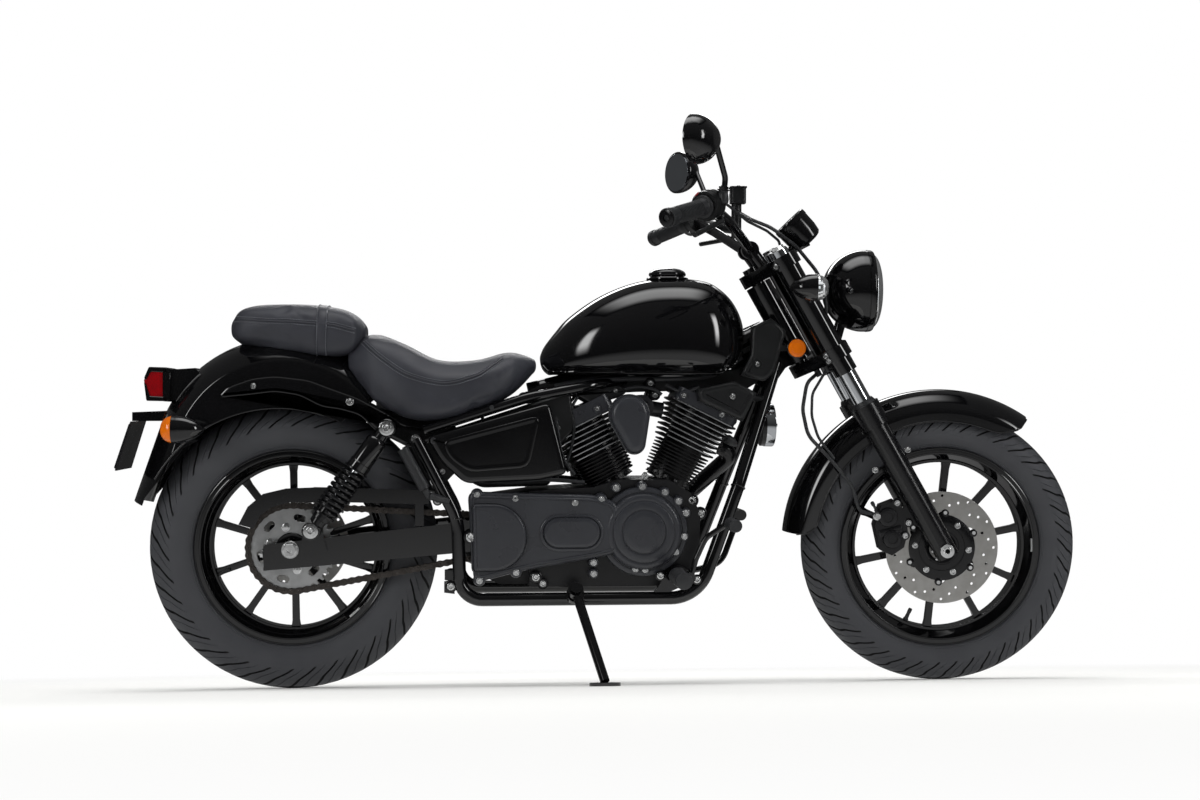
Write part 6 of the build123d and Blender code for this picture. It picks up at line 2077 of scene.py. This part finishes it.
@dataclass
class FrameFurniture:
    """Crowned frame covers, bolts along the frame, the rear axle's nuts and adjusters, and weld beads."""

    coil: list[Flat] = field(default_factory=lambda: [(863, 645), (941, 662), (988, 637), (958, 577), (865, 620)])
    neck: list[Flat] = field(default_factory=lambda: [
        (986, 781), (1028, 799), (1060, 772), (1034, 683), (1013, 663), (961, 676), (984, 720),
    ])

    def build(self, shop: Workshop) -> None:
        """Builds the furniture."""
        shape = Shape()
        for hand in (-1, 1):
            for outline, face, inset in ((self.coil, 130.0, 13.0), (self.neck, 84.0, 11.0)):
                soft = rounded(shrunk(outline, 1.0), 14, 5)
                rise = [(0.0, 0.0), (1.6, 1.4), (3.0, 4.0), (3.6, 7.5), (3.2, 9.0), (3.2, inset)]
                shape.relief(soft, [(hand * (face - 1 + y), gap) for y, gap in rise], 0)
            for x, y, z, size in ((936, 131.5, 630, 5.5), (997, 86, 700, 5.0)):
                ring = [(0, size * 2.1), (1.4, size * 2.0), (1.4, size * 1.6), (0, size * 1.5)]
                shape.lathe(Vector((x, hand * y, z)), LEFT * hand, ring, 28, 0)
                shape.screw((x, hand * y, z), LEFT * hand, size, 3)
        self.bolts(shape)
        self.adjusters(shape)
        self.welds(shape)
        coats = [Coat.ABS, Coat.ENAMEL, Coat.POWDER, Coat.ZINC, Coat.RUBBER]
        shop.piece("frame_furniture", shape, Body.CHASSIS, coats, "satin_black", smooth=38.0)

    def bolts(self, shape: Shape) -> None:
        """Adds the frame's bolts with their bosses."""
        for hand in (-1, 1):
            out = LEFT * hand
            # place, size, and whether it stands on a flat face instead of a tube
            for x, y, z, size, on_face in (
                (515, 132, 247, 7.0, 0), (530, 132, 233, 6.0, 0), (336, 140, 230, 7.0, 0), (778, 150, 250, 6.5, 1),
                (819, 150, 255, 10.5, 1), (856, 149, 241, 6.5, 1), (308, 122, 409, 6.0, 1), (378, 148, 334, 9.0, 1),
                (849, 112, 407, 8.5, 0), (869, 112, 379, 7.5, 0), (262, 128, 540, 8.0, 1),
            ):
                at = Vector((x, hand * y, z))
                collar = [(-8, size * 1.9), (-1.6, size * 1.9), (0, size * 1.6), (0, 0)]
                if on_face:
                    collar = [(-2.5, size * 1.7), (-0.4, size * 1.7), (0, size * 1.5), (0, 0)]
                shape.lathe(at, out, collar, 28, 2)
                shape.screw(at, out, size, 3)
            for x, z in ((777, 633), (767, 659), (945, 578)):
                at = Vector((x, hand * 60, z))
                shape.lathe(at - out * 40, out, [(0, 12), (37, 12), (40, 10), (40, 0)], 24, 2)
                shape.screw(at, out, 5.5, 3)

    def adjusters(self, shape: Shape) -> None:
        """Adds the chain adjusters' caps and bolts, and the axle's washers and nuts."""
        for hand in (-1, 1):
            start = Vector((-54, hand * 105, 299))
            shape.lathe(start, -AHEAD, [(-2, 13), (2, 13), (3, 12), (3, 0)], 28, 2)
            shape.hexagon(start + Vector((-3, 0, 0)), -AHEAD, 7.5, 6.0, 3)
            ring = [(117.6, 18.5), (119.4, 18.5), (120.2, 17.8), (120.2, 12)]
            shape.lathe(Vector(REAR_AXLE), LEFT * hand, ring, 40, 3)
            shape.lathe(
                Vector(REAR_AXLE), LEFT * hand,
                [(126, 12.6), (131, 12.6), (131.6, 12), (131.6, 6.2), (128, 5.4), (128, 0)], 24, 3, {0: 6, 1: 6, 2: 6},
            )

    def welds(self, shape: Shape) -> None:
        """Adds weld beads where the frame's tubes and the swingarm's boxes meet."""
        for hand in (-1, 1):
            rows = [
                (Vector((499, hand * 108, 627)), LEFT, 11.6),
                (Vector((350, hand * 134, 372)), UP, 14.6),
                (Vector((950, hand * 112, 436)), Vector((-0.33, 0.27 * hand, -0.9)), 14.6),
            ]
            for at, axis, reach in rows:
                shape.tube(circle(at, axis, reach, 28), 1.8, 8, 1, looped=True)


@dataclass
class Electrics:
    """What fills the frame: battery box, rear gussets, the hanger under the tank, a coil and the loom."""

    tray: list[Flat] = field(default_factory=lambda: [
        (306, 548), (520, 618), (592, 640), (604, 560), (566, 520), (548, 438), (400, 434), (340, 468),
    ])
    coil: list[Flat] = field(default_factory=lambda: [(598, 636), (700, 655), (716, 640), (700, 628), (640, 612)])
    gusset: list[Flat] = field(default_factory=lambda: [
        (176, 640), (200, 648), (250, 612), (300, 590), (348, 566), (348, 470), (322, 444), (294, 470), (278, 536),
        (225, 556), (180, 600),
    ])
    hanger: list[Flat] = field(default_factory=lambda: [
        (560, 655), (700, 668), (860, 674), (950, 690), (1000, 700), (1012, 664), (960, 632), (900, 630), (820, 642),
        (740, 640), (640, 634), (560, 625),
    ])

    def build(self, shop: Workshop) -> None:
        """Builds the box, the brackets, the coil and the loom."""
        shape = Shape()
        tray = rounded(self.tray, 12, 4)
        shape.relief(tray, [(-78, 6), (-76, 2), (-72, 0), (72, 0), (76, 2), (78, 6)], 0)
        for x in (400, 440, 480, 520):
            rib = rounded([(x, 446), (x + 7, 446), (x + 7, 590), (x, 590)], 3, 3)
            shape.relief(rib, [(-76, 0), (-80, 0.4), (-81, 2)], 0)
        gusset = rounded(self.gusset, 8, 4)
        for hand in (-1, 1):
            shape.relief(gusset, [(hand * 93, 1), (hand * 94, 0), (hand * 99, 0), (hand * 100, 1), (hand * 100, 3)], 0)
            for x, z in ((250, 583), (306, 556), (318, 470)):
                shape.screw((x, hand * 100, z), LEFT * hand, 5.5, 2)
        shape.relief(rounded(self.hanger, 8, 4), [(-26, 2), (-24, 0), (24, 0), (26, 2)], 0)
        coil = rounded(self.coil, 8, 4)
        for hand in (-1, 1):
            shape.relief(coil, [(hand * 30, 3), (hand * 32, 0), (hand * 66, 0), (hand * 69, 2), (hand * 70, 6)], 0)
            shape.screw((690, hand * 70, 642), LEFT * hand, 4.5, 2)
            runs = [
                ([(560, 40, 652), (640, 46, 664), (730, 50, 668), (820, 50, 668), (900, 48, 676), (970, 44, 716)], 6.0),
                ([(700, 62, 642), (736, 66, 650), (770, 70, 646), (790, 74, 634)], 3.6),
                ([(610, 62, 630), (596, 70, 604), (600, 78, 560), (588, 84, 500), (560, 92, 452)], 3.4),
                ([(560, 70, 600), (566, 84, 548), (574, 96, 500), (600, 100, 462)], 4.2),
                ([(800, 60, 655), (836, 66, 640), (872, 74, 650)], 4.0),
                ([(380, 96, 452), (450, 104, 446), (540, 106, 452), (620, 104, 446)], 4.6),
            ]
            for points, reach in runs:
                path = smooth_line([(x, hand * y, z) for x, y, z in points], 8)
                shape.tube(path, reach, 10, 1)
        coats = [Coat.ABS, Coat.RUBBER, Coat.ZINC]
        shop.piece("battery_box_and_loom", shape, Body.CHASSIS, coats, "black_plastic", smooth=38.0)


@dataclass
class PegTrim:
    """Ribbed rubbers on the rider's pegs and the gear lever."""

    def build(self, shop: Workshop) -> None:
        """Builds the rubbers."""
        shape = Shape()
        for hand in (-1, 1):
            profile = [(180, 12), (180, 18.2)]
            for number in range(10):
                start = 183 + number * 10
                profile += [(start, 18.4), (start + 6, 18.4), (start + 7.2, 17.2), (start + 8.8, 17.2)]
            profile += [(286, 18.4), (291, 17.4), (293, 14), (293, 0)]
            shape.lathe(Vector((810, 0, 252)), LEFT * hand, profile, 28, 0)
        profile = [(196, 10)]
        for number in range(7):
            start = 197 + number * 10
            profile += [(start, 13.8), (start + 5.5, 13.8), (start + 7, 12.6), (start + 8.6, 12.6)]
        profile += [(268, 13.4), (270, 11), (270, 0)]
        shape.lathe(Vector((920, 0, 362)), NEAR, profile, 28, 0)
        shop.piece("peg_rubbers", shape, Body.CHASSIS, [Coat.RUBBER], "rubber", smooth=34.0)


# ---------------------------------------------------------------- front end
@dataclass
class Headlamp:
    """A bullet headlamp: deep shell, rolled rim, aluminised bowl and a bulb behind a domed glass."""

    at: Point = (1245.0, 0.0, 864.0)
    radius: float = 90.0

    def build(self, shop: Workshop) -> None:
        """Builds the shell with its bowl."""
        shape, origin, axis = Shape(), Vector(self.at), AHEAD
        shell = []
        for step in range(25):
            turn = math.pi / 2 * step / 24
            shell.append((-4 - 86 * math.cos(turn) ** 1.15, 0.4 + (self.radius - 0.4) * math.sin(turn) ** 0.92))
        shell += [(4, 90), (4.6, 88.6), (6, 88.6), (6.6, 90.6), (16, 89.6), (19.5, 87.6), (21, 84.6), (20, 82.4)]
        bowl = [(17.6, 82.0)]
        for step in range(1, 17):
            turn = math.pi / 2 * step / 16
            bowl.append((17.0 - 62 * math.sin(turn) ** 1.4, 81.5 * math.cos(turn) + 0.2))
        shape.lathe(origin, axis, shell + [(17.6, 82.2)], 80, 0)
        shape.lathe(origin, axis, bowl, 80, 1)
        bulb = [(-46, 11), (-40, 11), (-38, 8), (-24, 8), (-10, 8), (-5, 6), (-3, 3), (-2.6, 0)]
        shape.lathe(origin, axis, bulb, 28, 2)
        foot = on_fork(16, 0, LOWER_CLAMP + CLAMP_DEPTH - 6)
        shape.tube([Vector((1200, 0, 806)), foot], 12, 24, 0)
        coats = [Coat.ENAMEL, Coat.REFLECTOR, Coat.BULB]
        shop.piece("headlamp", shape, Body.STEERING, coats, "gloss_black", ["headlamp_shell"], smooth=34.0)


@dataclass
class Lenses:
    """The clear and amber lamp glasses with moulded rings, and the rims that hold them."""

    lamp: Point = (1245.0, 0.0, 864.0)
    signal: float = 165.0

    def build(self, shop: Workshop) -> None:
        """Builds the front glasses on the fork and the rear ones on the chassis."""
        clear = Shape()
        outer = [(18.6, 81.6)] + [
            (18.6 + 22.4 * math.sin(t), 81.6 * math.cos(t) ** 0.8) for t in (math.pi / 2 * s / 14 for s in range(1, 14))
        ] + [(41, 0.3)]
        inner = [(along - 2.6, reach * 0.975) for along, reach in reversed(outer)]
        clear.lathe(Vector(self.lamp), AHEAD, outer + inner, 80, 0)
        for hand in (-1, 1):
            self.dome(clear, Vector((1122.4, hand * self.signal, 868)), AHEAD, 27.6)
        shop.piece("clear_glasses", clear, Body.STEERING, [Coat.CLEAR], "clear_lens", ["front_lenses"], smooth=40.0)
        rims = Shape()
        for hand in (-1, 1):
            at = Vector((1120, hand * self.signal, 868))
            rims.lathe(at, AHEAD, [(-3, 26), (-3, 29.4), (2, 29.6), (3, 28.6), (3, 26)], 48, 0)
            rims.lathe(at, AHEAD, [(2.2, 26), (2.6, 12), (2.6, 0)], 32, 1)
            rims.lathe(at, AHEAD, [(2, 6), (10, 6), (14, 4), (15, 0)], 20, 2)
        coats = [Coat.ENAMEL, Coat.REFLECTOR, Coat.BULB]
        shop.piece("front_signal_rims", rims, Body.STEERING, coats, "gloss_black", smooth=40.0)
        amber, holders = Shape(), Shape()
        for hand in (-1, 1):
            at = Vector((-230.4, hand * 185, 561))
            self.dome(amber, at, -AHEAD, 27.8)
            holders.lathe(at, -AHEAD, [(-4, 26), (-4, 29.4), (1.6, 29.6), (2.6, 28.6), (2.6, 26)], 48, 0)
            side = LEFT * hand
            at = Vector((1086, hand * 70.3, 735))
            disc = [(0, 19.6), (5.5, 19.6), (7.4, 18), (8.2, 14), (7.6, 13), (8.4, 12), (8.8, 6), (8.9, 0)]
            amber.lathe(at, side, disc, 40, 0)
            holders.lathe(at, side, [(-3, 19), (-3, 21.8), (4.6, 21.8), (5.4, 20.8), (5.4, 19)], 40, 0)
        shop.piece("amber_glasses", amber, Body.CHASSIS, [Coat.AMBER], "amber_lens", ["amber_lenses"], smooth=30.0)
        shop.piece("amber_holders", holders, Body.CHASSIS, [Coat.ENAMEL], "gloss_black", smooth=40.0)

    def dome(self, shape: Shape, at: Vector, axis: Vector, reach: float) -> None:
        """Adds a signal's domed glass with moulded rings."""
        profile = [(0, reach - 1)]
        for step in range(22):
            turn = math.pi / 2 * step / 22
            ripple = 0.35 if step % 3 == 1 else 0.0
            profile.append((1 + 25.0 * math.sin(turn) - ripple, reach * math.cos(turn) ** 0.85 - ripple))
        profile.append((26.0, 0.2))
        shape.lathe(at, axis, profile, 48)


@dataclass
class Gauge:
    """The round instrument: cup, bezel, printed dial with a needle, and its glass."""

    at: Point = (1103.0, 0.0, 994.0)
    tilt: float = 44.0

    def build(self, shop: Workshop) -> None:
        """Builds the gauge."""
        turn = math.radians(self.tilt)
        normal = Vector((-math.sin(turn), 0, math.cos(turn)))
        right, up = NEAR, direction_at(turn)
        shape, origin = Shape(), Vector(self.at)
        cup = [
            (-33, 0), (-33, 22), (-31, 30), (-26, 35.5), (-8, 38.6), (20, 39.4), (21, 40.4), (30, 40.4), (33, 39),
            (34, 36.6), (32.4, 35.4), (27, 35.4), (27, 0),
        ]
        shape.lathe(origin, normal, cup, 64, 0)
        shape.lathe(origin, normal, [(27.1, 35.2), (27.5, 35.2), (27.5, 0)], 64, 1)
        face = origin + normal * 27.7
        for number in range(31):
            angle = math.radians(225 - 9 * number)
            way = turned(right, up, angle)
            inner = 27.5 if number % 5 == 0 else 30.5
            shape.tube([face + way * inner, face + way * 33.5], 0.75 if number % 5 == 0 else 0.4, 6, 2)
        angle = math.radians(214)
        way = turned(right, up, angle)
        lift = normal * 2.4
        shape.tube([face - way * 7 + lift, face + lift, face + way * 26 + lift], [1.3, 1.2, 0.4], 8, 3)
        shape.lathe(face, normal, [(0, 4.4), (3.2, 4.4), (3.8, 3.2), (3.8, 0)], 28, 0)
        foot = on_fork(22, 0, UPPER_CLAMP + CLAMP_DEPTH - 1)
        shape.tube([foot, origin - normal * 30], 9, 20, 0)
        glass = [(32.6, 35.3), (33.4, 33), (34.2, 20), (34.6, 0.2), (33.4, 0.2), (33.0, 20), (31.8, 33), (31.6, 35.3)]
        coats = [Coat.GLOSS_ABS, Coat.DIAL, Coat.INK, Coat.RED]
        shop.piece("round_gauge", shape, Body.STEERING, coats, "gloss_plastic", ["instrument"], smooth=36.0)
        pane = Shape()
        pane.lathe(origin, normal, glass, 64, 0)
        shop.piece("gauge_glass", pane, Body.STEERING, [Coat.CLEAR], "clear_lens", smooth=40.0)


@dataclass
class BarFurniture:
    """Moulded grips, switch housings' seams and buttons, lever pivots, the reservoir's lid, mirror boots."""

    bar_end: Point = (797.0, 410.0, 1000.0)
    grip_inner: Point = (874.0, 300.0, 1029.0)

    def side(self, hand: int, point: Sequence[float]) -> Vector:
        """A point put on that side."""
        return Vector((point[0], hand * point[1], point[2]))

    def build(self, shop: Workshop) -> None:
        """Builds both sides."""
        grips, kit = Shape(), Shape()
        for hand in (-1, 1):
            inner, outer = self.side(hand, self.grip_inner), self.side(hand, self.bar_end)
            line = (outer - inner).normalized()
            length = (outer - inner).length
            self.grip(grips, inner, line, length)
            self.housing(kit, hand, inner, line)
        self.reservoir(kit)
        shop.piece("moulded_grips", grips, Body.STEERING, [Coat.RUBBER, Coat.POWDER], "rubber", ["grips"], smooth=30.0)
        coats = [Coat.ABS, Coat.POWDER, Coat.ZINC, Coat.RED, Coat.RUBBER]
        shop.piece("bar_furniture", kit, Body.STEERING, coats, "black_plastic", smooth=38.0)

    def grip(self, shape: Shape, inner: Vector, line: Vector, length: float) -> None:
        """Adds one grip: flange, ribbed middle, plain bands and an end cap with a hole."""
        profile = [(-2, 12), (-2, 22.5), (1.4, 24), (4, 23.4), (5.4, 18.6), (9, 17.4), (20, 17.4)]
        start = 22.0
        while start < length - 30:
            profile += [(start, 17.7), (start + 2.6, 17.7), (start + 3.2, 16.6), (start + 4.6, 16.6)]
            start += 5.2
        profile += [(length - 24, 17.6), (length - 8, 17.6), (length - 7, 19.4), (length + 3, 19.6)]
        shape.lathe(inner, line, profile + [(length + 4, 17)], 36, 0)
        cap = [(length + 3.6, 17.4), (length + 7.2, 16.6), (length + 8.2, 14.6), (length + 8.2, 7), (length + 3, 6.4),
               (length + 3, 0)]
        shape.lathe(inner, line, cap, 36, 1)

    def housing(self, shape: Shape, hand: int, inner: Vector, line: Vector) -> None:
        """Adds a switch housing's seams, its rocker, button and clamp screws."""
        across, over = perpendicular(line)
        if over.z < 0:
            across, over = -across, -over
        for along, reach in ((-36.4, 30), (-20, 31.2), (-3.4, 30)):
            shape.tube(circle(inner + line * along, line, reach, 44), 1.1, 8, 0, looped=True)
        top = inner - line * 13
        facing = (over * 0.8 + Vector((-0.6, 0, 0))).normalized()
        shape.lathe(top + facing * 29, facing, [(0, 6.4), (3, 6.4), (4, 5), (4.4, 0)], 24, 3)
        shape.lathe(top + facing * 28.4, facing, [(0, 8.4), (2.2, 8), (2.2, 6.6)], 24, 0)
        second = inner - line * 28
        right = facing.cross(line).normalized()
        shape.slab_on(second + facing * 29, facing, right, rectangle(7, 4), 4.2, 1.2, 0)
        for share in (-1, 1):
            at = inner - line * 19 + (over * -0.86 + across * 0.5 * share).normalized() * 30
            shape.screw(at, over * -1, 3.6, 2)
        pivot = Vector((912, -262, 1010)) if hand < 0 else Vector((985, 262, 1006))
        shape.lathe(pivot, Vector((0.1, 0, 1)), [(-12, 8), (-11, 9.5), (11, 9.5), (12, 8), (12, 0)], 28, 1)
        shape.screw(pivot + Vector((0, 0, 11.6)), (0.1, 0, 1), 5, 2)
        stem = Vector((914, hand * 292, 1052))
        boot = [(-14, 12), (-8, 12.6), (0, 11.4), (7, 9.4), (8, 10.2), (12, 10.2), (13, 8), (20, 6.6)]
        shape.lathe(stem, Vector((0.07, 0.15 * hand, 1)), boot, 28, 4)
        shape.hexagon(stem + Vector((1, 0, 12)), (0.07, 0.15 * hand, 1), 9.5, 7.0, 1)

    def reservoir(self, shape: Shape) -> None:
        """Adds the fluid reservoir's lid, its two screws and the sight glass."""
        at = Vector((988, 262, 1109))
        outline = rounded(rectangle(20, 29), 7, 4)
        shape.slab_on(at, UP, AHEAD, outline, 4.6, 1.4, 1)
        for y in (-20, 20):
            shape.screw(at + Vector((0, y, 4.2)), (0, 0, 1), 3.6, 2)
        shape.lathe(Vector((970.4, 262, 1090)), -AHEAD, [(0, 9), (1.6, 9), (2.2, 7.6), (2.2, 0)], 28, 2)


@dataclass
class ForkTrim:
    """Dust seals, clamp bolts and fork caps, with the caliper's piston housings and fixings."""

    half: float = FORK_HALF

    def build(self, shop: Workshop) -> None:
        """Builds the fork's small parts."""
        shape = Shape()
        sideways = NEAR
        for hand in (-1, 1):
            y = hand * self.half
            for height, reach in ((359, 31.6), (352, 31.9), (313, 31.9)):
                ring = [(-2.5, reach - 3), (-2.5, reach), (2.5, reach), (2.5, reach - 3)]
                shape.lathe(on_fork(0, y, height - 1), FORK_UP, ring, 40, 1)
            seal = [(358, 30), (359, 27.6), (366, 25), (371, 22.6), (371.5, 20.4)]
            shape.lathe(on_fork(0, y, 0), FORK_UP, seal, 40, 0)
            cap = [(0, 19), (4, 19), (5.6, 17), (5.6, 14.4), (11, 14), (12, 12.8), (12, 6), (9, 5.4), (9, 0)]
            shape.lathe(on_fork(0, y, 740), FORK_UP, cap, 24, 2, {4: 6, 5: 6})
            for height in (LOWER_CLAMP + 8, LOWER_CLAMP + 20, UPPER_CLAMP + 14):
                at = on_fork(-24, hand * (self.half + 27), height)
                shape.lathe(at, LEFT * hand, [(-8, 8.4), (0, 8.4), (1, 7.4), (1, 0)], 24, 1)
                shape.screw(at + LEFT * hand, LEFT * hand, 5.0, 2)
            for height in (-8, 8):
                at = on_fork(-24.5, y, height * 1.2)
                shape.screw(at, (-math.cos(RAKE), 0, -math.sin(RAKE)), 4.4, 2)
        for x, z, size in ((1261, 475, 6.0), (1331, 519, 6.0)):
            shape.screw((x, -97.5, z), sideways, size, 2)
        self.caliper(shape)
        coats = [Coat.RUBBER, Coat.POWDER, Coat.ZINC, Coat.CAST]
        shop.piece("fork_trim", shape, Body.STEERING, coats, "satin_black", smooth=38.0)

    def caliper(self, shape: Shape) -> None:
        """Adds the caliper's two piston housings, bridge, pins, bolts, bleed nipple and hose union."""
        out = NEAR
        for x, z in ((1290, 372), (1300, 325)):
            barrel = [(92, 21), (98, 21), (101, 19.5), (102.4, 16), (102.4, 10.5), (100.4, 9.8), (100.4, 0)]
            shape.lathe(Vector((x, 0, z)), out, barrel, 36, 3)
        bridge = rounded([(1268, 342), (1320, 356), (1324, 340), (1272, 326)], 5, 3)
        shape.relief(bridge, [(-93, 0), (-97, 0.4), (-99, 2.4), (-99.4, 5)], 3)
        for x, z in ((1310, 403), (1335, 360), (1328, 332)):
            shape.lathe(Vector((x, 0, z)), out, [(88, 10.5), (95, 10), (96, 8.6), (96, 0)], 28, 3)
            shape.screw((x, -96, z), out, 5.6, 2)
        shape.screw((1274, -96, 372), out, 4.2, 2)
        nipple = [(0, 5), (5, 5), (6, 3.2), (14, 3.0), (15, 4.2), (22, 4.2), (24, 2.4), (24, 0)]
        shape.lathe(Vector((1268, -84, 384)), Vector((-0.5, 0, 0.85)), nipple, 20, 0)
        banjo = [(-1, 9), (1.5, 9), (2, 7), (9, 7), (10, 6), (10, 0)]
        shape.lathe(Vector((1267, -93, 374)), out, banjo, 24, 2)


@dataclass
class TailTrim:
    """The tail lamp's ribs and black frame, the number plate's rim and the signals' boots."""

    def build(self, shop: Workshop) -> None:
        """Builds the tail."""
        shape = Shape()
        for z in (640, 651, 662, 673):
            bow = smooth_line([(-300, -52, z), (-309, -30, z), (-311, 0, z), (-309, 30, z), (-300, 52, z)], 4)
            shape.tube([Vector((p.x + abs(z - 662) * 0.25, p.y, p.z)) for p in bow], 1.1, 6, 1)
        for band in (
            [(-272, 619), (-272, 689), (-256, 690), (-256, 618)],
            [(-262, 680), (-262, 691), (-301, 692), (-311, 668), (-307, 664), (-297, 682)],
            [(-262, 619), (-262, 628), (-299, 630), (-307, 656), (-311, 660), (-306, 620)],
        ):
            shape.relief(rounded(band, 3, 3), [(-60, 1.5), (-58.6, 0), (58.6, 0), (60, 1.5)], 0)
        rim = rectangle(86, 47)
        normal = Vector((-0.949, 0, 0.316))
        middle = Vector((-350.5, 0, 525))
        for left, right_end in zip(rim, rim[1:] + rim[:1]):
            up = Vector((0.316, 0, 0.949))
            a = middle + LEFT * left[0] + up * left[1]
            b = middle + LEFT * right_end[0] + up * right_end[1]
            shape.tube([a, b], 2.6, 8, 0)
        for y in (-60, 60):
            shape.screw(middle + Vector((0, y, 0)) + normal * 2.4 + Vector((0.316, 0, 0.949)) * 34, normal, 4.4, 2)
        for hand in (-1, 1):
            at = Vector((-206, hand * 100.5, 561))
            shape.lathe(at, LEFT * hand, [(-0.5, 16), (3, 15.4), (8, 11), (12, 9.4), (12, 8)], 28, 3)
        coats = [Coat.GLOSS_ABS, Coat.RED, Coat.ZINC, Coat.RUBBER]
        shop.piece("tail_trim", shape, Body.CHASSIS, coats, "gloss_plastic", smooth=38.0)


@dataclass
class HornTrim:
    """The horn's rolled rim, its pressed rings and centre nut."""

    def build(self, shop: Workshop) -> None:
        """Builds the horn's face."""
        shape, axis = Shape(), AHEAD
        at = Vector((1046, 0, 567))
        shape.lathe(at, axis, [(-20, 44), (-20, 47), (-3, 47.4), (-0.6, 46.6), (0.4, 44.4), (-0.6, 42)], 56, 1)
        rings = [(-0.8, 43), (0.6, 40), (-0.4, 36), (1.2, 31), (-0.2, 26), (1.6, 20), (0.6, 14), (3.4, 12), (3.8, 0)]
        shape.lathe(at, axis, rings, 56, 0)
        shape.hexagon(at + Vector((3.2, 0, 0)), axis, 6.5, 4, 1)
        shop.piece("horn_face", shape, Body.CHASSIS, [Coat.POWDER, Coat.CHROME], "chrome", smooth=36.0)


class Assembly(Protocol):
    """One group of pieces that main() builds."""

    def build(self, shop: Workshop) -> None:
        """Builds its pieces."""


ASSEMBLIES: list[Assembly] = [
    Tyre("rear_road_tyre", "rear_tyre", Body.REAR_WHEEL, REAR_AXLE, REAR_RADIUS, REAR_HALF_WIDTH, REAR_BEAD),
    Tyre(
        "front_road_tyre", "front_tyre", Body.FRONT_WHEEL, FRONT_AXLE, FRONT_RADIUS, FRONT_HALF_WIDTH, FRONT_BEAD,
        pitches=42, groove=4.2, tread=44.0,
    ),
    WheelTrim("rear_wheel_trim", Body.REAR_WHEEL, REAR_AXLE, REAR_BEAD, REAR_HALF_WIDTH),
    WheelTrim("front_wheel_trim", Body.FRONT_WHEEL, FRONT_AXLE, FRONT_BEAD, FRONT_HALF_WIDTH, 248.0),
    DiscFixings("front_disc_carrier", Body.FRONT_WHEEL, FRONT_AXLE, 62.25),
    DiscFixings("rear_disc_carrier", Body.REAR_WHEEL, REAR_AXLE, 80.25, 54.0, 10.0, 1),
    HubDetails(),
    RollerChain(),
    CoilShocks(),
    SeatPad(
        "rider_pad", "rider_seat",
        [
            (122, 668, 742, 84), (150, 640, 758, 106), (177, 615, 761, 124), (240, 581, 735, 148), (310, 578, 702, 156),
            (395, 604, 703, 146), (465, 640, 725, 114), (513, 688, 717, 52),
        ],
        [[
            (149, 747), (178, 720), (211, 695), (238, 678), (265, 668), (292, 661), (320, 657), (347, 660), (368, 666),
            (397, 676), (422, 693), (445, 710),
        ]],
    ),
    SeatPad(
        "pillion_pad", "pillion_seat",
        [
            (-127, 748, 788, 58), (-104, 740, 815, 86), (-20, 726, 821, 100), (60, 710, 819, 106), (108, 710, 812, 103),
            (134, 722, 799, 97), (150, 746, 783, 66),
        ],
        [[
            (-119, 793), (-77, 790), (-41, 788), (-3, 787), (25, 785), (56, 783), (88, 780), (105, 776), (120, 772),
            (132, 769),
        ]],
        strap=(66.0, 4.0, 23.0),
    ),
    FuelTank(),
    FuelCap(),
    SidePanels(),
    MudguardTrim(),
    FrontGuard(),
    PrimaryCovers(),
    CylinderTrim(),
    IntakeShell(),
    FrameFurniture(),
    Electrics(),
    PegTrim(),
    Headlamp(),
    Lenses(),
    Gauge(),
    BarFurniture(),
    ForkTrim(),
    TailTrim(),
    HornTrim(),
]


def main() -> None:
    """Builds the studio and the machine."""
    logging.basicConfig(level=logging.INFO, format="%(name)s %(message)s")
    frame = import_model()
    frames = WorkingFrames.from_joints(frame["joints"])
    front = next(joint for joint in frame["joints"] if joint["name"] == "front_wheel_spin")
    coats = finish_shelf(tuple(front["pos_m"]), tuple(front["axis"]))
    shop = Workshop(frames, coats, frame["nodes"])
    Studio().build(frames)
    for node, (coat, edge) in NODE_COATS.items():
        shop.coat_node(node, coat, edge)
    for assembly in ASSEMBLIES:
        assembly.build(shop)
        log.info("%s done", type(assembly).__name__)


if __name__ == "__main__":
    main()
